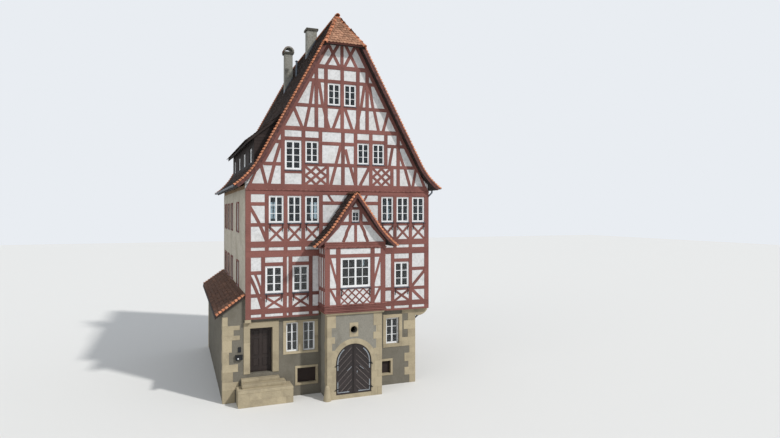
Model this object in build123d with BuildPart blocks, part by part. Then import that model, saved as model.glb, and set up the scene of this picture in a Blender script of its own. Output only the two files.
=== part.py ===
from build123d import *
import os
from math import atan2, cos, degrees, hypot, radians, sin, tan

# Half-timbered town house, millimetres, +Z up.
# The origin is the middle of the timber storeys' plan, on the ground before the gate.
# The street gable faces -Y, the entry side with its lean-to aisle faces -X.

# Plan of the timber storeys
HALF_WIDTH = 4750
DEPTH = 12600
FRONT = -DEPTH / 2
BACK = DEPTH / 2

# Plan of the masonry ground storey
AISLE_LEFT = -5770
MASONRY_RIGHT = 4045
MASONRY_SETBACK = 200
MASONRY_WALL = 600
MASONRY_SIDE_WALL = 550

# Levels: each storey stands on the one below it
GROUND_FLOOR = 1250
FLOOR_SLAB = 250
BASE_SLAB = 150
TIMBER_FOOT = 3900
STOREY_1_HEIGHT = 3200
STOREY_2_HEIGHT = 3000
STOREY_SLAB = 350
ATTIC_SLAB = 180
STOREY_1_FLOOR = TIMBER_FOOT + STOREY_SLAB
STOREY_2_FOOT = TIMBER_FOOT + STOREY_1_HEIGHT
STOREY_2_FLOOR = STOREY_2_FOOT + STOREY_SLAB
GABLE_FOOT = STOREY_2_FOOT + STOREY_2_HEIGHT
ATTIC_FLOOR = GABLE_FOOT + 200
UPPER_ATTIC_FLOOR = GABLE_FOOT + 3050

# Timber walls: frame on the outside, plaster between and behind it
TIMBER = 120
LINING = 130
PLASTER_RECESS = 15
TIMBER_WALL = TIMBER + LINING
POST = 180
CORNER_POST = 250
SILL_BEAM = 250
FLOOR_BEAM = 280
JOIST_STRIP = 160
TOP_PLATE = 260
COLLAR = 200
RAIL = 165
BRACE = 150
SLIM_BRACE = 110

# Main roof: straight rafters that flare out to the eaves
FLARE_TOP = GABLE_FOOT + 1400
FLARE_HALF = 4129
RIDGE = FLARE_TOP + 7700
PITCH = degrees(atan2(RIDGE - FLARE_TOP, FLARE_HALF))
FLARE_RADIUS = 3650
EAVE_PITCH = 36
ROOF_THICKNESS = 150
VERGE = 350
VERGE_BOARD = 35
HIP_EAVE = RIDGE - 1750
HIP_RUN = 1450
CAP_RADIUS = 120

# Bay on its porch
BAY_CENTER = 305
BAY_HALF = 1535
BAY_OUT = 1220
BAY_FOOT = TIMBER_FOOT + 260
BAY_WALL = 220
BAY_RIDGE = TIMBER_FOOT + 5980
BAY_PITCH = 55
BAY_FLARE_TOP = TIMBER_FOOT + 4480
BAY_FLARE_RADIUS = 4700
BAY_EAVE_PITCH = 38.5
BAY_ROOF_THICKNESS = 110
BAY_VERGE = 290
PORCH_OUT = 1100
PORCH_HALF = 1378
PORCH_WALL = 450
PORCH_TOP = TIMBER_FOOT + 140

# Gate in the porch
GATE_CENTER = 250
GATE_HALF = 895
GATE_SILL = 200
GATE_SPRING = 1725
GATE_RING = 250
GATE_RECESS = 20
GATE_LEAF = 50
GATE_GAP = 8
GATE_MEETING_GAP = 18
OCULUS_RADIUS = 170
OCULUS_LEVEL = 3300

# Entry door and its stone surround
ENTRY_LEFT = -4515
ENTRY_RIGHT = -3454
ENTRY_SILL = 1290
ENTRY_TOP = 3450
SURROUND = 300
SURROUND_DEPTH = 270
SURROUND_PROUD = 30
DOOR_LAP = 25
DOOR_LEAF = 50
DOOR_GAP = 5

# Hinges: a pin on a bracket, and an eye on a strap
PIN_RADIUS = 10
PIN_FIT = 0.3
PIN_OUT = 30
EYE_RADIUS = 20
EYE_HEIGHT = 60
EYE_GAP = 2
STRAP_THICKNESS = 10
STRAP_LENGTH = 520
CRANK = 28
BRACKET_LENGTH = 80
BRACKET_HEIGHT = 25
BRACKET_HALF = 12
BRACKET_GAP = 8
GATE_HINGES = (450, 1600)
DOOR_HINGES = (1500, 3150)

# Windows
FRAME_DEPTH = 60
FRAME_BAR = 55
FRAME_SETBACK = 30
GLASS = 10

os.makedirs("parts", exist_ok=True)


def save(builder, label):
    """Label a finished piece and write it."""
    builder.part.label = label
    export_step(builder.part, f"parts/{label}.step")


def facing_front(y):
    """Upright plane at depth y: its x is X, its y is Z, and it faces -Y."""
    return Plane(origin=(0, y, 0), x_dir=(1, 0, 0), z_dir=(0, -1, 0))


def facing_side(x):
    """Upright plane at side x: its x is Y, its y is Z, and it faces +X."""
    return Plane(origin=(x, 0, 0), x_dir=(0, 1, 0), z_dir=(1, 0, 0))


def block(x_span, y_span, z_span, mode=Mode.ADD):
    """Box between two corners, given as a span along each axis."""
    spans = (x_span, y_span, z_span)
    middle = [(low + high) / 2 for low, high in spans]
    size = [high - low for low, high in spans]
    with Locations(tuple(middle)):
        Box(*size, mode=mode)


def panel(x_span, z_span, mode=Mode.ADD):
    """Upright rectangle between two corners of a sketch."""
    with Locations(((x_span[0] + x_span[1]) / 2, (z_span[0] + z_span[1]) / 2)):
        Rectangle(x_span[1] - x_span[0], z_span[1] - z_span[0], mode=mode)


def bar_face(start, end, width):
    """One timber seen from outside, between two points of its middle line."""
    run = (end[0] - start[0], end[1] - start[1])
    with Locations(((start[0] + end[0]) / 2, (start[1] + end[1]) / 2)):
        return Rectangle(hypot(*run), width, rotation=degrees(atan2(run[1], run[0])), mode=Mode.PRIVATE)


def draw_bars(bars):
    """Fuse timbers, given as (start, end, width), into the sketch."""
    faces = []
    for start, end, width in bars:
        faces += bar_face(start, end, width).faces()
    add(faces)


def draw_carved(curves):
    """Fuse timbers sawn to a curve, given as (points of the middle line, width), into the sketch."""
    for points, width in curves:
        with BuildSketch(mode=Mode.PRIVATE) as timber:
            with BuildLine():
                Spline(*points)
            trace(line_width=width)
        add(timber.sketch)


def post(x, low, high, width=POST):
    return ((x, low), (x, high), width)


def rail(left, right, z, height=RAIL):
    return ((left, z), (right, z), height)


def brace(start, end, width=BRACE):
    return (start, end, width)


def mirrored(bars):
    """The same timbers on the other side of the middle line."""
    return [((-s[0], s[1]), (-e[0], e[1]), w) for s, e, w in bars]


def bowed(start, end, rise, width=BRACE):
    """Timber sawn to a shallow bow, which swells to the left of its run."""
    run = (end[0] - start[0], end[1] - start[1])
    scale = rise / hypot(*run)
    crown = ((start[0] + end[0]) / 2 - run[1] * scale, (start[1] + end[1]) / 2 + run[0] * scale)
    return ((start, crown, end), width)


def carved_lattice(x_span, z_span, width, rise):
    """Two braces that cross in a panel, in a rhombus of four bowed ones."""
    (left, right), (low, high) = x_span, z_span
    middle = ((left + right) / 2, (low + high) / 2)
    corners = ((left, middle[1]), (middle[0], low), (right, middle[1]), (middle[0], high))
    curves = [bowed(corners[i - 1], corners[i], rise, width) for i in range(4)]
    return crossed(x_span, z_span, width), curves


def crossed(x_span, z_span, width=SLIM_BRACE):
    """Two braces that cross in a panel."""
    low, high = z_span
    left, right = x_span
    return [brace((left, low), (right, high), width), brace((left, high), (right, low), width)]


def diamonds(x_span, z_span, columns, rows, width):
    """Lattice of slim braces, so many diamonds across and up."""
    step_x = (x_span[1] - x_span[0]) / columns
    step_z = (z_span[1] - z_span[0]) / rows
    bars = []
    for column in range(columns):
        for row in range(rows):
            left = x_span[0] + column * step_x
            low = z_span[0] + row * step_z
            bars += crossed((left, left + step_x), (low, low + step_z), width)
    return bars


# Roof forms
class RoofForm:
    """Cross-section of a gabled roof whose straight rafters flare out to the eaves."""

    def __init__(self, ridge, pitch, flare_top, flare_radius, eave_pitch, thickness):
        self.ridge = ridge
        self.pitch = radians(pitch)
        self.eave_pitch = radians(eave_pitch)
        self.flare_top = flare_top
        self.radius = flare_radius
        self.thickness = thickness
        start = ((ridge - flare_top) / tan(self.pitch), flare_top)
        drop = flare_radius * cos(self.pitch)
        self.center = (start[0] + flare_radius * sin(self.pitch), flare_top + drop)

    def flare_point(self, pitch, inset=0):
        """Point of the flare where the slope has this pitch, the inset below the surface."""
        reach = self.radius + inset
        return (self.center[0] - reach * sin(pitch), self.center[1] - reach * cos(pitch))

    def apex(self, inset=0):
        """Point on the middle line, the inset below the surface."""
        return (0, self.ridge - inset / cos(self.pitch))

    def half_width(self, z, inset=0):
        """Half the width between the straight rafters at a height, the inset below the surface."""
        return (self.ridge - z) / tan(self.pitch) - inset / sin(self.pitch)

    def height(self, x, inset=0):
        """Height of the slope above a side position, the inset below the surface."""
        knee = self.flare_point(self.pitch, inset)
        if abs(x) <= knee[0]:
            return self.apex(inset)[1] - abs(x) * tan(self.pitch)
        reach = self.radius + inset
        return self.center[1] - (reach**2 - (self.center[0] - abs(x)) ** 2) ** 0.5

    def slope_line(self, inset):
        """The right slope's line from the apex to the eave, the inset below the surface."""
        knee = self.flare_point(self.pitch, inset)
        middle = self.flare_point((self.pitch + self.eave_pitch) / 2, inset)
        eave = self.flare_point(self.eave_pitch, inset)
        Line(self.apex(inset), knee)
        ThreePointArc(knee, middle, eave)
        return eave


MAIN_ROOF = RoofForm(RIDGE, PITCH, FLARE_TOP, FLARE_RADIUS, EAVE_PITCH, ROOF_THICKNESS)
BAY_ROOF = RoofForm(
    BAY_RIDGE, BAY_PITCH, BAY_FLARE_TOP, BAY_FLARE_RADIUS, BAY_EAVE_PITCH, BAY_ROOF_THICKNESS
)


def draw_slope(form):
    """Section through the right slope."""
    with BuildLine() as section:
        outer_eave = form.slope_line(0)
        inner_eave = form.slope_line(form.thickness)
        Line(form.apex(), form.apex(form.thickness))
        Line(outer_eave, inner_eave)
    make_face(section.edges())


def draw_under_roof(form, foot, inset=None):
    """Everything below the roof's underside, or a surface at another inset, and above the foot."""
    depth = form.thickness if inset is None else inset
    with BuildLine() as section:
        eave = form.slope_line(depth)
        Line(eave, (eave[0], foot))
        Line((eave[0], foot), (0, foot))
        Line((0, foot), form.apex(depth))
    half = make_face(section.edges())
    mirror(half, about=Plane.YZ)


HIP_SLOPE = (RIDGE - HIP_EAVE) / HIP_RUN
HIP_ANGLE = degrees(atan2(RIDGE - HIP_EAVE, HIP_RUN))
HIP_EDGE = FRONT - VERGE


def hip_height(y):
    """Height of the hip's underside above a depth y."""
    return HIP_EAVE + (y - HIP_EDGE) * HIP_SLOPE - ROOF_THICKNESS / cos(radians(HIP_ANGLE))


GABLE_TOP = hip_height(FRONT)
HIP_SURFACE = Plane(
    origin=(0, HIP_EDGE, HIP_EAVE),
    x_dir=(1, 0, 0),
    z_dir=(0, -sin(radians(HIP_ANGLE)), cos(radians(HIP_ANGLE))),
)
HIP_UNDERSIDE = Plane(
    origin=(0, HIP_EDGE, hip_height(HIP_EDGE)),
    x_dir=(1, 0, 0),
    z_dir=(0, -sin(radians(HIP_ANGLE)), cos(radians(HIP_ANGLE))),
)

# Posts and windows of the street front, with X of each post's middle line
STOREY_1_POSTS = (-3925, -2890, -2620, -1625, 2700, 3700)
STOREY_1_WINDOWS = ((0, 1), (2, 3), (4, 5))
STOREY_1_STRIP_FOOT = 90
STOREY_1_BEAM = 230
STOREY_1_CORNER_RAILS = (2200, 2130)
BRACE_RISE = 55
STOREY_1_SILL = TIMBER_FOOT + 1200
STOREY_1_HEAD = TIMBER_FOOT + 2510
STOREY_2_POSTS = (-3755, -2855, -1995, -1110, 1980, 2825, 3700)
STOREY_2_WINDOWS = ((0, 1), (1, 2), (2, 3), (4, 5), (5, 6), (6, None))
STOREY_2_BEAM = 210
STOREY_2_CORNER_RAIL = 2280
STOREY_2_MIDDLE_RAIL = 2340
STOREY_2_SILL = STOREY_2_FOOT + 1370
STOREY_2_HEAD = STOREY_2_FOOT + 2690
ATTIC_POSTS = (-2990, -1985, -1135, 20, 685, 1500, 2320, 3005)
ATTIC_WINDOWS = ((1, 2), (4, 5), (5, 6))
ATTIC_SHORT_POSTS = (2, 6)
ATTIC_LOW_POSTS = ((-765, 130), (2655, POST))
ATTIC_SILL = GABLE_FOOT + 1320
ATTIC_HEAD = GABLE_FOOT + 2390
ATTIC_RAIL = GABLE_FOOT + 1215
ATTIC_HEAD_RAIL = GABLE_FOOT + 2300
TALL_WINDOW_SILL = GABLE_FOOT + 950
COLLAR_1 = GABLE_FOOT + 2975
TOP_POSTS = (-1340, -855, -20, 805, 1300)
TOP_WINDOWS = ((1, 2), (2, 3))
TOP_SILL = GABLE_FOOT + 4220
TOP_HEAD = GABLE_FOOT + 5320
COLLAR_2 = GABLE_FOOT + 6110
KING_POST = 160
LATTICE_WIDTH = 95
LATTICE_RISE = 25


def gap_between(posts, pair, width=POST):
    """Clear span between two posts, or from the last post to the corner post."""
    left = posts[pair[0]] + width / 2
    right = HALF_WIDTH - CORNER_POST if pair[1] is None else posts[pair[1]] - width / 2
    return (left, right)


def storey_windows(posts, pairs, sill, head):
    """Window openings of one row, as (x span, z span)."""
    return [(gap_between(posts, pair), (sill, head)) for pair in pairs]


FRONT_1_WINDOWS = storey_windows(STOREY_1_POSTS, STOREY_1_WINDOWS, STOREY_1_SILL, STOREY_1_HEAD)
FRONT_2_WINDOWS = storey_windows(STOREY_2_POSTS, STOREY_2_WINDOWS, STOREY_2_SILL, STOREY_2_HEAD)
GABLE_WINDOWS = (
    storey_windows(ATTIC_POSTS, ((0, 1),), TALL_WINDOW_SILL, ATTIC_HEAD)
    + storey_windows(ATTIC_POSTS, ATTIC_WINDOWS, ATTIC_SILL, ATTIC_HEAD)
    + storey_windows(TOP_POSTS, TOP_WINDOWS, TOP_SILL, TOP_HEAD)
)
BAY_OPENING = ((BAY_CENTER - BAY_HALF, BAY_CENTER + BAY_HALF), (TIMBER_FOOT, STOREY_2_FOOT))


def storey_1_bars():
    """Timbers of the first timber storey's front."""
    low = TIMBER_FOOT
    high = STOREY_2_FOOT
    sill = STOREY_1_SILL - RAIL / 2
    head = STOREY_1_HEAD + RAIL / 2
    left_corner = -HALF_WIDTH + CORNER_POST / 2
    right_corner = HALF_WIDTH - CORNER_POST / 2
    bay_left, bay_right = BAY_OPENING[0]
    beam = low + STOREY_1_BEAM
    bars = [post(x, low, high) for x in STOREY_1_POSTS]
    bars += [post(left_corner, low, high, CORNER_POST), post(right_corner, low, high, CORNER_POST)]
    for left, right in ((-HALF_WIDTH, bay_left), (bay_right, HALF_WIDTH)):
        bars.append(rail(left, right, high - TOP_PLATE / 2, TOP_PLATE))
        bars.append(rail(left, right, beam + SILL_BEAM / 2, SILL_BEAM))
        bars.append(rail(left, right, low + STOREY_1_STRIP_FOOT / 2, STOREY_1_STRIP_FOOT))
        bars.append(rail(left, right, sill))
    for pair in STOREY_1_WINDOWS:
        left, right = gap_between(STOREY_1_POSTS, pair)
        bars.append(rail(left, right, head))
        bars += crossed((left, right), (beam + SILL_BEAM, sill - RAIL / 2))
    bars.append(rail(-HALF_WIDTH, STOREY_1_POSTS[0], low + STOREY_1_CORNER_RAILS[0]))
    bars.append(rail(STOREY_1_POSTS[-1], HALF_WIDTH, low + STOREY_1_CORNER_RAILS[1]))
    bars.append(brace((right_corner, low + STOREY_1_CORNER_RAILS[1]), (STOREY_1_POSTS[-1], sill)))
    bars.append(brace((right_corner, beam), (STOREY_1_POSTS[-1], sill)))
    return bars


def storey_1_curves():
    """The pair of long bowed braces at the first storey's left corner."""
    top = TIMBER_FOOT + STOREY_1_CORNER_RAILS[0]
    foot = (STOREY_1_POSTS[0], TIMBER_FOOT + STOREY_1_BEAM + SILL_BEAM / 2)
    left = -HALF_WIDTH + CORNER_POST / 2
    return [
        bowed((left, top), foot, BRACE_RISE),
        bowed((left + 2 * BRACE, top), (foot[0], foot[1] + 3 * BRACE), BRACE_RISE, SLIM_BRACE),
    ]


def storey_2_bars():
    """Timbers of the second timber storey's front."""
    low = STOREY_2_FOOT
    high = GABLE_FOOT
    sill = STOREY_2_SILL - RAIL / 2
    head = STOREY_2_HEAD + RAIL / 2
    left_corner = -HALF_WIDTH + CORNER_POST / 2
    right_corner = HALF_WIDTH - CORNER_POST / 2
    beam = low + STOREY_2_BEAM
    middle_rail = low + STOREY_2_MIDDLE_RAIL
    bars = [post(x, low, high) for x in STOREY_2_POSTS]
    bars += [post(left_corner, low, high, CORNER_POST), post(right_corner, low, high, CORNER_POST)]
    bars.append(rail(-HALF_WIDTH, HALF_WIDTH, high - SILL_BEAM / 2, SILL_BEAM))
    bars.append(rail(-HALF_WIDTH, HALF_WIDTH, beam + FLOOR_BEAM / 2, FLOOR_BEAM))
    foot = beam - low - JOIST_STRIP
    bars.append(rail(-HALF_WIDTH, HALF_WIDTH, low + foot / 2, foot))
    bars.append(rail(-HALF_WIDTH, HALF_WIDTH, sill))
    for pair in STOREY_2_WINDOWS:
        left, right = gap_between(STOREY_2_POSTS, pair)
        bars.append(rail(left, right, head))
        bars += crossed((left, right), (beam + FLOOR_BEAM, sill - RAIL / 2))
    bars.append(rail(-HALF_WIDTH, STOREY_2_POSTS[0], low + STOREY_2_CORNER_RAIL))
    bars.append(rail(STOREY_2_POSTS[3], STOREY_2_POSTS[4], middle_rail))
    return bars


# The short bowed braces' ends, outwards from the bay's window posts
SHORT_BRACE_LEFT = (250, 660)
SHORT_BRACE_RIGHT = (600, 930)


def storey_2_curves():
    """Bowed braces of the second storey: the long corner one and a short pair beside the bay's roof."""
    low = STOREY_2_FOOT
    left, right = STOREY_2_POSTS[3:5]
    corner = (-HALF_WIDTH + CORNER_POST / 2, low + STOREY_2_CORNER_RAIL)
    middle_rail = low + STOREY_2_MIDDLE_RAIL
    return [
        bowed(corner, (STOREY_2_POSTS[0], low + STOREY_2_BEAM + FLOOR_BEAM), BRACE_RISE),
        bowed(
            (left + SHORT_BRACE_LEFT[0], GABLE_FOOT),
            (left + SHORT_BRACE_LEFT[1], middle_rail),
            -BRACE_RISE / 2,
            SLIM_BRACE,
        ),
        bowed(
            (right - SHORT_BRACE_RIGHT[0], GABLE_FOOT),
            (right - SHORT_BRACE_RIGHT[1], middle_rail),
            BRACE_RISE / 2,
            SLIM_BRACE,
        ),
    ]


def rafter_bars(top):
    """The right verge's rafter timber, from the eave to a height."""
    edge = ROOF_THICKNESS + RAIL / 2
    knee = MAIN_ROOF.flare_point(MAIN_ROOF.pitch, edge)
    eave = MAIN_ROOF.flare_point(MAIN_ROOF.eave_pitch, edge)
    return [brace(knee, (MAIN_ROOF.half_width(top, edge), top), RAIL), brace(knee, eave, RAIL)]


# Braces of the gable, as the ends' X and height above its foot
GABLE_BRACES = (
    ((-3080, 2300), (-3420, 1210)),
    ((-3390, 1210), (-3650, 200)),
    ((-4040, 1210), (-3780, 200)),
    ((-4150, 1210), (-4560, 200)),
    ((-80, 2300), (-350, 1250)),
    ((-350, 1200), (-620, 200)),
    ((150, 2050), (340, 1250)),
    ((400, 1200), (700, 200)),
    ((1400, 1150), (930, 250)),
    ((2690, 2250), (2510, 1250)),
    ((2960, 2250), (3340, 1220)),
    ((3380, 1200), (3680, 200)),
    ((4010, 1150), (3830, 200)),
    ((4120, 1150), (4520, 200)),
    ((-1480, 5400), (-1660, 4100)),
    ((-1220, 5400), (-1010, 4100)),
    ((1160, 5400), (970, 4150)),
    ((1410, 5400), (1630, 4150)),
    ((-2500, 4100), (-2030, 3000)),
    ((-1680, 4100), (-1920, 3000)),
    ((-980, 4100), (-690, 3000)),
    ((-100, 4100), (-510, 3000)),
    ((120, 4100), (520, 3000)),
    ((930, 4100), (690, 3000)),
    ((1670, 4150), (1930, 3000)),
    ((2480, 4150), (2150, 3000)),
)
TOP_BRACES = (
    (-880, -130),
    (-60, -880),
    (20, 780),
    (800, 60),
)
ATTIC_LATTICES = (
    (ATTIC_POSTS[1] + POST / 2, ATTIC_LOW_POSTS[0][0] - ATTIC_LOW_POSTS[0][1] / 2),
    (ATTIC_POSTS[5] + POST / 2, ATTIC_LOW_POSTS[1][0] - ATTIC_LOW_POSTS[1][1] / 2),
)
LATTICE_HEIGHT = (GABLE_FOOT + SILL_BEAM, ATTIC_RAIL - RAIL / 2)


def gable_bars():
    """Timbers of the gable, from its sill to the hip's eave."""
    low = GABLE_FOOT
    edge = ROOF_THICKNESS + RAIL / 2
    half_1 = MAIN_ROOF.half_width(COLLAR_1, edge)
    half_2 = MAIN_ROOF.half_width(COLLAR_2, edge)
    bars = []
    rafters = rafter_bars(GABLE_TOP)
    bars += rafters + mirrored(rafters)
    bars.append(rail(-HALF_WIDTH, HALF_WIDTH, low + SILL_BEAM / 2, SILL_BEAM))
    bars.append(rail(-half_1, half_1, COLLAR_1, COLLAR))
    bars.append(rail(-half_2, half_2, COLLAR_2, COLLAR))
    bars.append(rail(-HALF_WIDTH, HALF_WIDTH, GABLE_TOP - TOP_PLATE / 2, TOP_PLATE))
    for i, x in enumerate(ATTIC_POSTS):
        bars.append(post(x, ATTIC_RAIL if i in ATTIC_SHORT_POSTS else low, COLLAR_1))
    bars += [post(x, low, ATTIC_RAIL, width) for x, width in ATTIC_LOW_POSTS]
    bars += [post(x, COLLAR_1, COLLAR_2) for x in TOP_POSTS]
    bars.append(post(-KING_POST / 5, COLLAR_2, GABLE_TOP, KING_POST))
    for x_span in ATTIC_LATTICES:
        bars += carved_lattice(x_span, LATTICE_HEIGHT, LATTICE_WIDTH, LATTICE_RISE)[0]
    reach = MAIN_ROOF.half_width(ATTIC_SILL, edge)
    upper_reach = MAIN_ROOF.half_width(ATTIC_HEAD, edge)
    half_3 = MAIN_ROOF.half_width(TOP_HEAD, edge)
    half_4 = MAIN_ROOF.half_width(TOP_SILL, edge)
    for left, right, z in (
        (-reach, ATTIC_POSTS[0], ATTIC_RAIL),
        (ATTIC_POSTS[0], ATTIC_POSTS[1], TALL_WINDOW_SILL - RAIL / 2),
        (ATTIC_POSTS[1], ATTIC_POSTS[5], ATTIC_SILL - RAIL / 2),
        (ATTIC_POSTS[5], reach, ATTIC_RAIL),
        (-upper_reach, ATTIC_POSTS[0], ATTIC_HEAD_RAIL),
        (ATTIC_POSTS[0], ATTIC_POSTS[2], ATTIC_HEAD + RAIL / 2),
        (ATTIC_POSTS[2], ATTIC_POSTS[4], ATTIC_HEAD_RAIL),
        (ATTIC_POSTS[4], ATTIC_POSTS[6], ATTIC_HEAD + RAIL / 2),
        (ATTIC_POSTS[6], upper_reach, ATTIC_HEAD_RAIL),
        (-half_3, half_3, TOP_HEAD + RAIL / 2),
        (-half_4, half_4, TOP_SILL - RAIL / 2),
    ):
        bars.append(rail(left, right, z))
    for (top_x, top), (foot_x, foot) in GABLE_BRACES:
        bars.append(brace((top_x, low + top), (foot_x, low + foot)))
    for top_x, foot_x in TOP_BRACES:
        bars.append(brace((top_x, GABLE_TOP), (foot_x, COLLAR_2)))
    return bars


def gable_curves():
    """Bowed members of the gable's two carved lattices."""
    curves = []
    for x_span in ATTIC_LATTICES:
        curves += carved_lattice(x_span, LATTICE_HEIGHT, LATTICE_WIDTH, LATTICE_RISE)[1]
    return curves


def draw_gable():
    """Outline of the gable wall under the hipped roof."""
    draw_under_roof(MAIN_ROOF, GABLE_FOOT)
    panel((-HALF_WIDTH, HALF_WIDTH), (GABLE_FOOT, GABLE_TOP), mode=Mode.INTERSECT)


def cut_openings(openings):
    for x_span, z_span in openings:
        panel(x_span, z_span, mode=Mode.SUBTRACT)


def timber_sketch(draw_outline, bars, openings, curves=()):
    """The frame seen from outside, trimmed to the wall's outline."""
    with BuildSketch() as outline:
        draw_outline()
    with BuildSketch() as timbers:
        draw_bars(bars)
        draw_carved(curves)
        add(outline.sketch, mode=Mode.INTERSECT)
        cut_openings(openings)
    return timbers.sketch


def timber_frame(plane, timbers):
    """Frame of a wall whose outer face looks away from the plane."""
    with BuildPart() as frame:
        with BuildSketch(plane):
            add(timbers)
        extrude(amount=TIMBER)
    return frame


def timber_infill(plane, draw_outline, timbers, openings, lining=LINING, draw_lining=None):
    """Plaster between the timbers and the lining behind them."""
    with BuildPart() as infill:
        with BuildSketch(plane):
            draw_outline()
            add(timbers, mode=Mode.SUBTRACT)
            cut_openings(openings)
        extrude(amount=TIMBER - PLASTER_RECESS)
        with BuildSketch(plane):
            (draw_lining or draw_outline)()
            cut_openings(openings)
        extrude(amount=-lining)
    return infill


def draw_storey_1():
    panel((-HALF_WIDTH, BAY_OPENING[0][0]), (TIMBER_FOOT, STOREY_2_FOOT))
    panel((BAY_OPENING[0][1], HALF_WIDTH), (TIMBER_FOOT, STOREY_2_FOOT))


def draw_storey_1_lining():
    inner = HALF_WIDTH - TIMBER_WALL
    panel((-inner, BAY_OPENING[0][0]), (TIMBER_FOOT, STOREY_2_FOOT))
    panel((BAY_OPENING[0][1], inner), (TIMBER_FOOT, STOREY_2_FOOT))


def draw_storey_2():
    panel((-HALF_WIDTH, HALF_WIDTH), (STOREY_2_FOOT, GABLE_FOOT))


def draw_storey_2_lining():
    inner = HALF_WIDTH - TIMBER_WALL
    panel((-inner, inner), (STOREY_2_FOOT, GABLE_FOOT))


FRONT_SHEET = facing_front(FRONT + TIMBER)

# Street front of the timber storeys
storey_1_timbers = timber_sketch(draw_storey_1, storey_1_bars(), FRONT_1_WINDOWS, storey_1_curves())
front_frame_1 = timber_frame(FRONT_SHEET, storey_1_timbers)
front_infill_1 = timber_infill(
    FRONT_SHEET, draw_storey_1, storey_1_timbers, FRONT_1_WINDOWS, draw_lining=draw_storey_1_lining
)
storey_2_timbers = timber_sketch(draw_storey_2, storey_2_bars(), FRONT_2_WINDOWS, storey_2_curves())
front_frame_2 = timber_frame(FRONT_SHEET, storey_2_timbers)
front_infill_2 = timber_infill(
    FRONT_SHEET, draw_storey_2, storey_2_timbers, FRONT_2_WINDOWS, draw_lining=draw_storey_2_lining
)
gable_timbers = timber_sketch(draw_gable, gable_bars(), GABLE_WINDOWS, gable_curves())
front_gable_frame = timber_frame(FRONT_SHEET, gable_timbers)
front_gable_infill = timber_infill(FRONT_SHEET, draw_gable, gable_timbers, GABLE_WINDOWS)
save(front_frame_1, "front_frame_1")
save(front_infill_1, "front_infill_1")
save(front_frame_2, "front_frame_2")
save(front_infill_2, "front_infill_2")
save(front_gable_frame, "front_gable_frame")
save(front_gable_infill, "front_gable_infill")

# Rear wall: the storeys and timbers of the street front, plainly repeated
REAR_POSTS = (-3700, -2890, -1850, -1035, 1035, 1850, 2890, 3700)
REAR_WINDOWS = ((0, 1), (2, 3), (4, 5), (6, 7))
REAR_GABLE_POSTS = (-3000, -1985, -1135, 0, 1135, 1985, 3000)
REAR_GABLE_WINDOWS = ((1, 2), (4, 5))
REAR_TOP = RIDGE - ROOF_THICKNESS / cos(MAIN_ROOF.pitch)
REAR_STRUT = (700, 150)
REAR_STRUT_RISE = 990


def rear_bars():
    """Timbers of the rear wall, both storeys and the full gable."""
    bars = []
    corner = HALF_WIDTH - CORNER_POST / 2
    rows = (
        (TIMBER_FOOT, STOREY_2_FOOT, STOREY_1_SILL, STOREY_1_HEAD),
        (STOREY_2_FOOT, GABLE_FOOT, STOREY_2_SILL, STOREY_2_HEAD),
    )
    for low, high, sill, head in rows:
        beam = low + STOREY_2_BEAM
        bars += [post(x, low, high) for x in REAR_POSTS]
        bars += [post(side * corner, low, high, CORNER_POST) for side in (-1, 1)]
        bars.append(rail(-HALF_WIDTH, HALF_WIDTH, beam + FLOOR_BEAM / 2, FLOOR_BEAM))
        foot = beam - low - JOIST_STRIP
        bars.append(rail(-HALF_WIDTH, HALF_WIDTH, low + foot / 2, foot))
        bars.append(rail(-HALF_WIDTH, HALF_WIDTH, high - SILL_BEAM / 2, SILL_BEAM))
        bars.append(rail(-HALF_WIDTH, HALF_WIDTH, sill - RAIL / 2))
        bars.append(rail(-HALF_WIDTH, HALF_WIDTH, head + RAIL / 2))
        braces = [brace((corner, head), (REAR_POSTS[-1], beam + FLOOR_BEAM))]
        bars += braces + mirrored(braces)
    edge = ROOF_THICKNESS + RAIL / 2
    for z in (COLLAR_1, COLLAR_2):
        half = MAIN_ROOF.half_width(z, edge)
        bars.append(rail(-half, half, z, COLLAR))
    for z in (ATTIC_SILL - RAIL / 2, ATTIC_HEAD + RAIL / 2, TOP_SILL, TOP_HEAD):
        half = MAIN_ROOF.half_width(z, edge)
        bars.append(rail(-half, half, z))
    bars += [post(x, GABLE_FOOT, COLLAR_1) for x in REAR_GABLE_POSTS]
    bars += [post(x, COLLAR_1, COLLAR_2) for x in REAR_GABLE_POSTS[2:5]]
    bars.append(post(0, COLLAR_2, REAR_TOP))
    rafters = rafter_bars(REAR_TOP)
    rafters.append(brace((3800, ATTIC_SILL), (3300, GABLE_FOOT)))
    rafters.append(brace((1900, TOP_SILL), (1300, COLLAR_1)))
    rafters.append(brace((REAR_STRUT[0], COLLAR_2), (REAR_STRUT[1], COLLAR_2 + REAR_STRUT_RISE)))
    bars += rafters + mirrored(rafters)
    bars.append(rail(-HALF_WIDTH, HALF_WIDTH, GABLE_FOOT + SILL_BEAM / 2, SILL_BEAM))
    return bars


def draw_rear():
    """Outline of the rear wall from the masonry to the ridge."""
    draw_under_roof(MAIN_ROOF, TIMBER_FOOT)
    panel((-HALF_WIDTH, HALF_WIDTH), (TIMBER_FOOT, RIDGE), mode=Mode.INTERSECT)


def draw_rear_lining():
    """The rear wall's outline between the side walls, and full width above them."""
    draw_rear()
    for side in (-1, 1):
        edge = side * HALF_WIDTH
        inner = side * (HALF_WIDTH - TIMBER_WALL)
        panel((min(edge, inner), max(edge, inner)), (TIMBER_FOOT, GABLE_FOOT), mode=Mode.SUBTRACT)


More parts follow.
